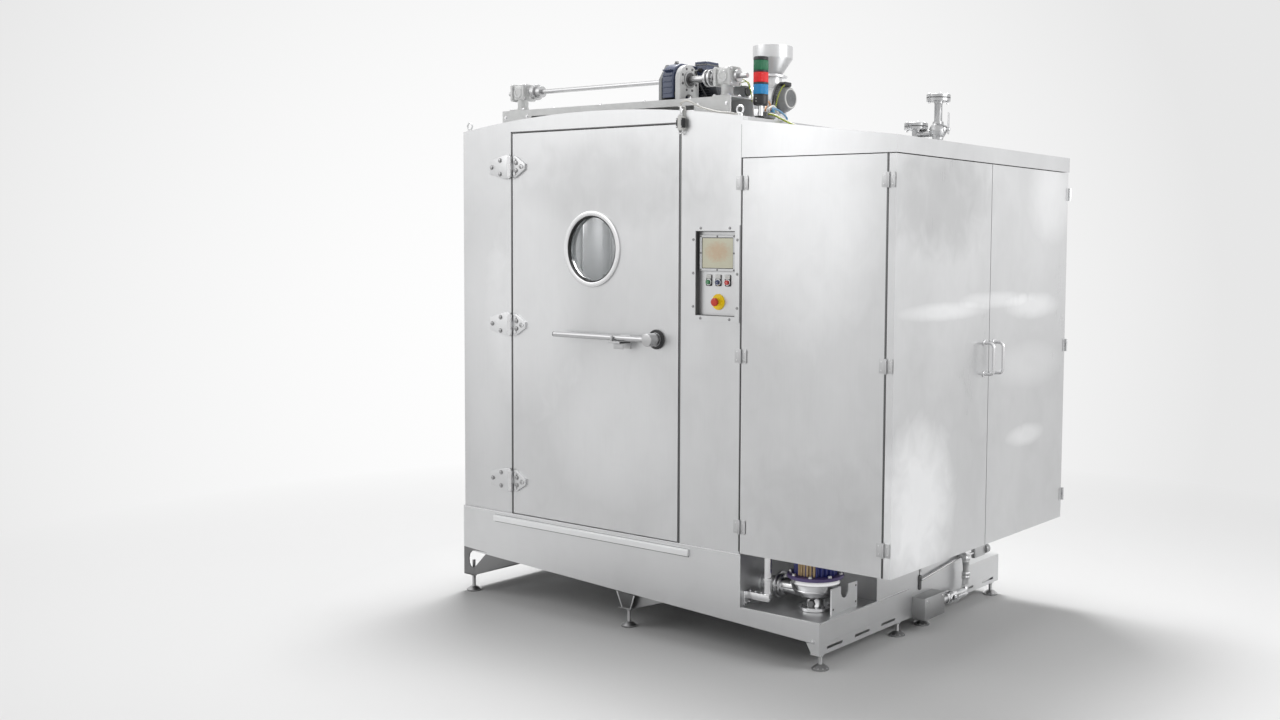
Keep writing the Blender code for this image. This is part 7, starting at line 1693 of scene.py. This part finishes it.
@dataclass
class Seams(Assembly):
    """Painted shade in the doors' gaps and on the legs' plates; painted light and shade on the
    drip ledge's skin.
    """

    door: tuple[float, float, float, float] = (0.382, 1.54, 0.4803, 2.51)
    ledge: tuple[float, float, float] = (0.247, 1.37, 0.458)
    service_right: float = 2.712
    boundary: float = 1.9182
    leg_bottom: float = 0.095
    knuckle_reach: float = 0.036

    @staticmethod
    def tank_floor(x: float) -> float:
        """Height of the tank's underside: it falls evenly to the right."""
        return 0.2501 - 0.0613 * x

    def make(self) -> None:
        """Build the gaps' painted shade, the ledge's skin, the inner wall's strips and the legs.
        """
        self.gap_shade_strips()
        self.ledge_skin()
        self.inner_wall_strips()
        self.left_leg()
        self.middle_leg()

    def gap_shade_strips(self) -> None:
        """Thin strips of painted shade along the doors' gaps."""
        left, right, low, high = self.door
        s = self.sculpt("door_gap_painted_shade", "dim_sheet")
        stops = [low, *(h + side * self.knuckle_reach for h in HINGE_HEIGHTS[::-1]
                        for side in (-1, 1)), high + 0.006]
        for z0, z1 in zip(stops[::2], stops[1::2]):
            s.box(at(left - 0.009, -0.0007, z0), at(left, 0.001, z1), 0.0002)
        for x0, x1, z0, z1 in ((right, right + 0.011, low, high + 0.006),
                               (left - 0.009, right + 0.011, high, high + 0.006),
                               (self.boundary - 0.006, self.boundary, low + 0.01, 2.49)):
            s.box(at(x0, -0.0007, z0), at(x1, 0.001, z1), 0.0002)
        s.build("black_plastic")
        # Painted shade along the service door's right gap.
        s = self.sculpt("service_gap_painted_shade", "dim_sheet")
        s.box(at(self.service_right - 0.009, -0.0007, 0.4825),
              at(self.service_right - 0.0005, 0.001, 2.333), 0.0002)
        s.build("black_plastic", body="service_door")

    def ledge_skin(self) -> None:
        """Drip ledge's face lighter as painted light; painted shadow lines and edge highlights;
        bracket holes.
        """
        left, length, top = self.ledge
        right, low = left + length, top - 0.032
        s = self.sculpt("drip_ledge_skin", "ledge_sheet")
        section = np.array([(-0.0062, top + 0.0008), (-0.0150, top + 0.0004),
                            (-0.0192, top - 0.004), (-0.0192, low + 0.001),
                            (-0.0180, low - 0.0005), (-0.0062, low - 0.0005)])
        s.slab(section, at(left - 0.0008, 0.0, 0.0),
               RIGHT, length + 0.0016, 0.0006)
        # Painted shadow lines under and over the ledge.
        s.use("dim_sheet")
        s.box(at(left, -0.0071, low - 0.006), at(right, -0.0055, low - 0.0004), 0.0003)
        s.box(at(left, -0.0068, top + 0.0006), at(right, -0.0055, top + 0.0022), 0.0003)
        # Thin bright strips: painted highlights along the plinth's top edge and the tray's edges.
        s.use("bright_steel")
        s.box(at(-0.006, -0.0069, 0.4735), at(1.93, -0.0055, 0.4802), 0.0004)
        s.box(at(1.93, -0.0012, 0.2218), at(2.3862, 0.0006, 0.2262), 0.0003)
        s.box(at(2.3838, -0.0012, 0.2218), at(2.3862, 0.80, 0.2262), 0.0003)
        s.use("shadow_sheet")
        for y, z in ((0.165, 0.247), (0.357, 0.247), (0.357, 0.325)):
            s.slab(circle(0.0055, 16), at(2.3452, y, z), RIGHT, 0.0006, 0.0001)
        s.build("brushed_steel")

    def inner_wall_strips(self) -> None:
        """Cover plate, feed pipe and ledge on the left inner wall, and painted shade on its lower
        field.
        """
        wall = 0.0455
        s = self.sculpt("inner_wall_strips", "bar_steel")
        s.box(at(wall, 0.865, 0.60), at(wall + 0.012, 1.035, 2.38), 0.003)
        s.tube(np.stack([at(wall + 0.02, 1.115, 0.60), at(wall + 0.02, 1.115, 2.38)]), 0.017, 20)
        s.box(at(wall, 0.50, 2.055), at(wall + 0.006, 1.60, 2.07), 0.001)
        s.use("dim_sheet")
        s.box(at(wall, 0.40, 1.02), at(wall + 0.004, 1.60, 1.745), 0.001)
        s.build("brushed_steel")

    def left_leg(self) -> None:
        """Foot bar, the corner plate with its rounded hole, and the gusset beside it, all in
        painted shade.
        """
        low = self.leg_bottom
        s = self.sculpt("left_leg_plates", "dim_sheet")
        s.box(at(-0.006, -0.006, low), at(0.074, BODY_DEPTH, low + 0.006), 0.001)
        corner = np.array([(-0.006, low), (0.076, low), (0.076, 0.137), (0.060, 0.138),
                           (0.045, 0.144), (0.035, 0.160), (0.033, 0.190), (0.040, 0.214),
                           (0.058, 0.230), (0.085, 0.236), (0.179, 0.2365),
                           (0.179, self.tank_floor(0.179) - 0.0005),
                           (-0.006, self.tank_floor(-0.006) - 0.0005)])
        gusset = np.array([(0.074, low), (0.40, self.tank_floor(0.40) - 0.018),
                           (0.4626, self.tank_floor(0.4626) - 0.0005),
                           (0.1786, self.tank_floor(0.1786) - 0.002), (0.0755, 0.138)])
        for y in (0.0, BODY_DEPTH):
            s.use("gusset_sheet").slab(corner, at(0, y, 0), FRONT, 0.006, 0.0008)
            s.slab(gusset, at(0, y, 0), FRONT, 0.0055, 0.0008)
        s.build("brushed_steel", "left_leg_frame")

    def middle_leg(self) -> None:
        """Foot bar, V-shaped bracket and a gusset set behind it in painted shade; the bracket's
        edges in satin steel.
        """
        low = self.leg_bottom
        top_left, top_right = 1.139, 1.263
        bracket = np.array([(1.177, low), (1.2366, low), (top_right, self.tank_floor(top_right)),
                            (top_left, self.tank_floor(top_left))])
        gusset = np.array([(1.205, low + 0.004), (1.24, low + 0.004),
                           (1.4255, self.tank_floor(1.4255) - 0.004),
                           (1.4255, self.tank_floor(1.4255)),
                           (1.15, self.tank_floor(1.15))])
        s = self.sculpt("middle_leg_plates", "leg_sheet")
        s.box(at(1.155, -0.006, low), at(1.235, BODY_DEPTH, low + 0.006), 0.001)
        for y, behind in ((0.0, 0.03), (BODY_DEPTH, -0.03)):
            s.use("dim_sheet").slab(bracket, at(0, y, 0), FRONT, 0.004, 0.0006)
            s.use("leg_sheet").slab(gusset, at(0, y + behind, 0), FRONT, 0.006, 0.0008)
            s.use("satin_sheet")
            for foot, top, inward in ((1.177, top_left, 1), (1.2366, top_right, -1)):
                edge = np.array([(foot, low), (foot + 0.007 * inward, low),
                                 (top + 0.007 * inward, self.tank_floor(top)),
                                 (top, self.tank_floor(top))])
                s.slab(edge if inward > 0 else edge[::-1], at(0, y, 0), FRONT, 0.006,
                       0.0006)
        s.build("brushed_steel", "middle_leg_frame")


# ----------------------------------------------------------------- floor, lamps, camera


@dataclass
class Studio:
    """Pale floor, soft lamps and the camera at the photograph's angle."""

    floor_radius: float = 26.0
    floor_tone: float = 0.66
    floor_fading: tuple[float, float] = (2.4, 5.2)
    focal_pixels: float = 1345.9
    yaw: float = 35.612
    pitch: float = -3.826
    roll: float = 0.607
    middle: tuple[float, float] = (788.3, 335.3)
    picture: tuple[int, int] = (1280, 720)
    lens_place: tuple[float, float, float] = (5.7475, -4.9664, 1.9344)
    glow_middle: tuple[float, float] = (600.0, 330.0)
    fade: float = 2.0
    least_light: float = 0.80
    dull_light: float = 0.31
    mirror_light: float = 1.1
    sensor: float = 36.0

    def axes(self) -> tuple[Points, Points, Points]:
        """Camera's right, up and ahead: yaw and pitch turn it, roll tilts it."""
        yaw, pitch, roll = (math.radians(v) for v in (self.yaw, self.pitch, self.roll))
        ahead = np.array((-math.sin(yaw) * math.cos(pitch), math.cos(yaw) * math.cos(pitch),
                          math.sin(pitch)))
        level = np.array((math.cos(yaw), math.sin(yaw), 0.0))
        rise = np.cross(level, ahead)
        right = math.cos(roll) * level + math.sin(roll) * rise
        return right, math.cos(roll) * rise - math.sin(roll) * level, ahead

    def glow_course(self) -> tuple[float, float, float]:
        """Direction in which the background is brightest: towards the glow's middle."""
        right, up, ahead = self.axes()
        u, v = (a - b for a, b in zip(self.glow_middle, self.middle))
        course = ahead * self.focal_pixels + right * u - up * v
        return tuple(map(float, course / np.linalg.norm(course)))

    def glow(self, r: "Recipe", course: bpy.types.NodeSocket) -> Wire:
        """Backdrop's light: 1 - fade * (1 - cosine to the glow's middle), never below least."""
        along = r.node("ShaderNodeVectorMath", {"operation": "DOT_PRODUCT"},
                       {0: course, 1: self.glow_course()})
        light = Wire(r, along.outputs["Value"]) * self.fade + (1.0 - self.fade)
        return light.math("MAXIMUM", light, self.least_light)

    def floor(self) -> None:
        """Round floor whose far part turns into the pale background."""
        r = Recipe("pale_floor")
        away = r.node("ShaderNodeVectorMath", {"operation": "LENGTH"}, {0: r.place})
        far = Wire(r, away.outputs["Value"]).ramp(*self.floor_fading)
        tone = self.floor_tone
        near = r.node("ShaderNodeBsdfDiffuse", {}, {"Color": (tone, tone, tone, 1)})
        lens = tuple(map(float, at(*self.lens_place)))
        seen = r.node("ShaderNodeVectorMath", {"operation": "SUBTRACT"}, {0: r.place, 1: lens})
        course = r.node("ShaderNodeVectorMath", {"operation": "NORMALIZE"},
                        {0: seen.outputs[0]})
        light = self.glow(r, course.outputs[0])
        glow = r.node("ShaderNodeEmission", {}, {"Color": (1, 1, 1, 1), "Strength": light})
        mix = r.node("ShaderNodeMixShader", {}, {0: far, 1: near.outputs[0],
                                                 2: glow.outputs[0]})
        r.node("ShaderNodeOutputMaterial", {"is_active_output": True}, {0: mix.outputs[0]})
        ring = circle(self.floor_radius, 96)
        mesh = bpy.data.meshes.new("floor")
        mesh.from_pydata([(x, y, 0.0) for x, y in ring], [], [list(range(len(ring)))])
        mesh.materials.append(r.material)
        floor = bpy.data.objects.new("floor", mesh)
        bpy.context.scene.collection.objects.link(floor)

    def world(self) -> None:
        """White to the eye and in reflections, dimmer as light on dull surfaces."""
        world = bpy.data.worlds.new("studio")
        bpy.context.scene.world = world
        r = Recipe(world)
        seen = r.node("ShaderNodeLightPath", {}, {}).outputs
        clamped = {"operation": "ADD", "use_clamp": True}
        mirror = r.node("ShaderNodeMath", clamped,
                        {0: seen["Is Camera Ray"], 1: seen["Is Glossy Ray"]})
        bright = r.node("ShaderNodeMath", clamped,
                        {0: mirror.outputs[0], 1: seen["Is Transmission Ray"]})
        strength = r.node("ShaderNodeMapRange", {}, {
            "Value": bright.outputs[0], "To Min": self.dull_light, "To Max": self.mirror_light})
        course = r.node("ShaderNodeTexCoord", {}, {}).outputs["Generated"]
        pick = r.node("ShaderNodeMix", {}, {0: seen["Is Camera Ray"], 2: strength.outputs[0],
                                            3: self.glow(r, course)})
        back = r.node("ShaderNodeBackground", {}, {0: (1, 1, 1, 1), 1: pick.outputs[0]})
        r.node("ShaderNodeOutputWorld", {}, {0: back.outputs[0]})

    def lamp(self, name: str, place: Sequence[float], target: Sequence[float], size: float,
             power: float, gloss: float = 1.0) -> None:
        """Square soft lamp at a place, turned to a target; gloss is its share in highlights."""
        light = bpy.data.lights.new(name, "AREA")
        light.size = size
        light.energy = power
        light.specular_factor = gloss
        lamp = bpy.data.objects.new(name, light)
        bpy.context.scene.collection.objects.link(lamp)
        away = np.array(place, float) - np.array(target, float)
        away /= np.linalg.norm(away)
        side = np.cross((0.0, 0.0, 1.0), away) if abs(away[2]) < 0.99 else np.array((1.0, 0, 0))
        side /= np.linalg.norm(side)
        lamp.matrix_world = self.pose(side, np.cross(away, side), away, place)

    @staticmethod
    def pose(right: Points, up: Points, back: Points, place: Sequence[float]) -> Matrix:
        """Matrix whose columns are the three directions and the place."""
        matrix = np.eye(4)
        matrix[:3, :3] = np.column_stack((right, up, back))
        matrix[:3, 3] = place
        return Matrix(matrix.tolist())

    def camera(self) -> None:
        """Camera along its axes; its shift centres the picture."""
        right, up, ahead = self.axes()
        data = bpy.data.cameras.new("camera")
        width, height = self.picture
        data.sensor_width = self.sensor
        data.lens = self.focal_pixels / width * self.sensor
        data.shift_x = (width / 2 - self.middle[0]) / width
        data.shift_y = (self.middle[1] - height / 2) / width
        data.clip_end = 100.0
        camera = bpy.data.objects.new("camera", data)
        bpy.context.scene.collection.objects.link(camera)
        camera.matrix_world = self.pose(right, up, -ahead, at(*self.lens_place))
        bpy.context.scene.camera = camera

    def make(self) -> None:
        """Set up the whole studio."""
        bpy.context.scene.view_settings.view_transform = "Standard"
        self.floor()
        self.world()
        self.lamp("key_lamp", (-3.4, -5.0, 5.2), (0, -0.4, 1.0), size=4.6, power=100)
        self.lamp("side_lamp", (6.0, 0.6, 3.4), (0.6, 0.1, 1.2), size=3.0, power=140)
        self.lamp("rear_lamp", (-2.2, 1.8, 10.0), (0.3, -0.4, 0.0), size=3.4, power=980)
        self.lamp("chamber_lamp", at(0.96, 0.9, 2.4), at(0.96, 0.9, 1.0), size=0.8, power=30,
                  gloss=0.1)
        self.camera()


def main() -> None:
    """Build the studio, then every sub-assembly in order."""
    logging.basicConfig(level=logging.INFO, format="%(message)s")
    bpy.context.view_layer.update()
    palette = Palette()
    Studio().make()
    for kind in (Shell, WashDoor, Interlock, RoofDrive, SignalTower, Exhaust, SteamPipes,
                 RoofHoses, CabinetDoors, ControlPanel, WashPump, Base, Seams):
        assembly = kind(palette)
        assembly.make()
        LOG.info("%s done", kind.__name__)


if __name__ == "__main__":
    main()
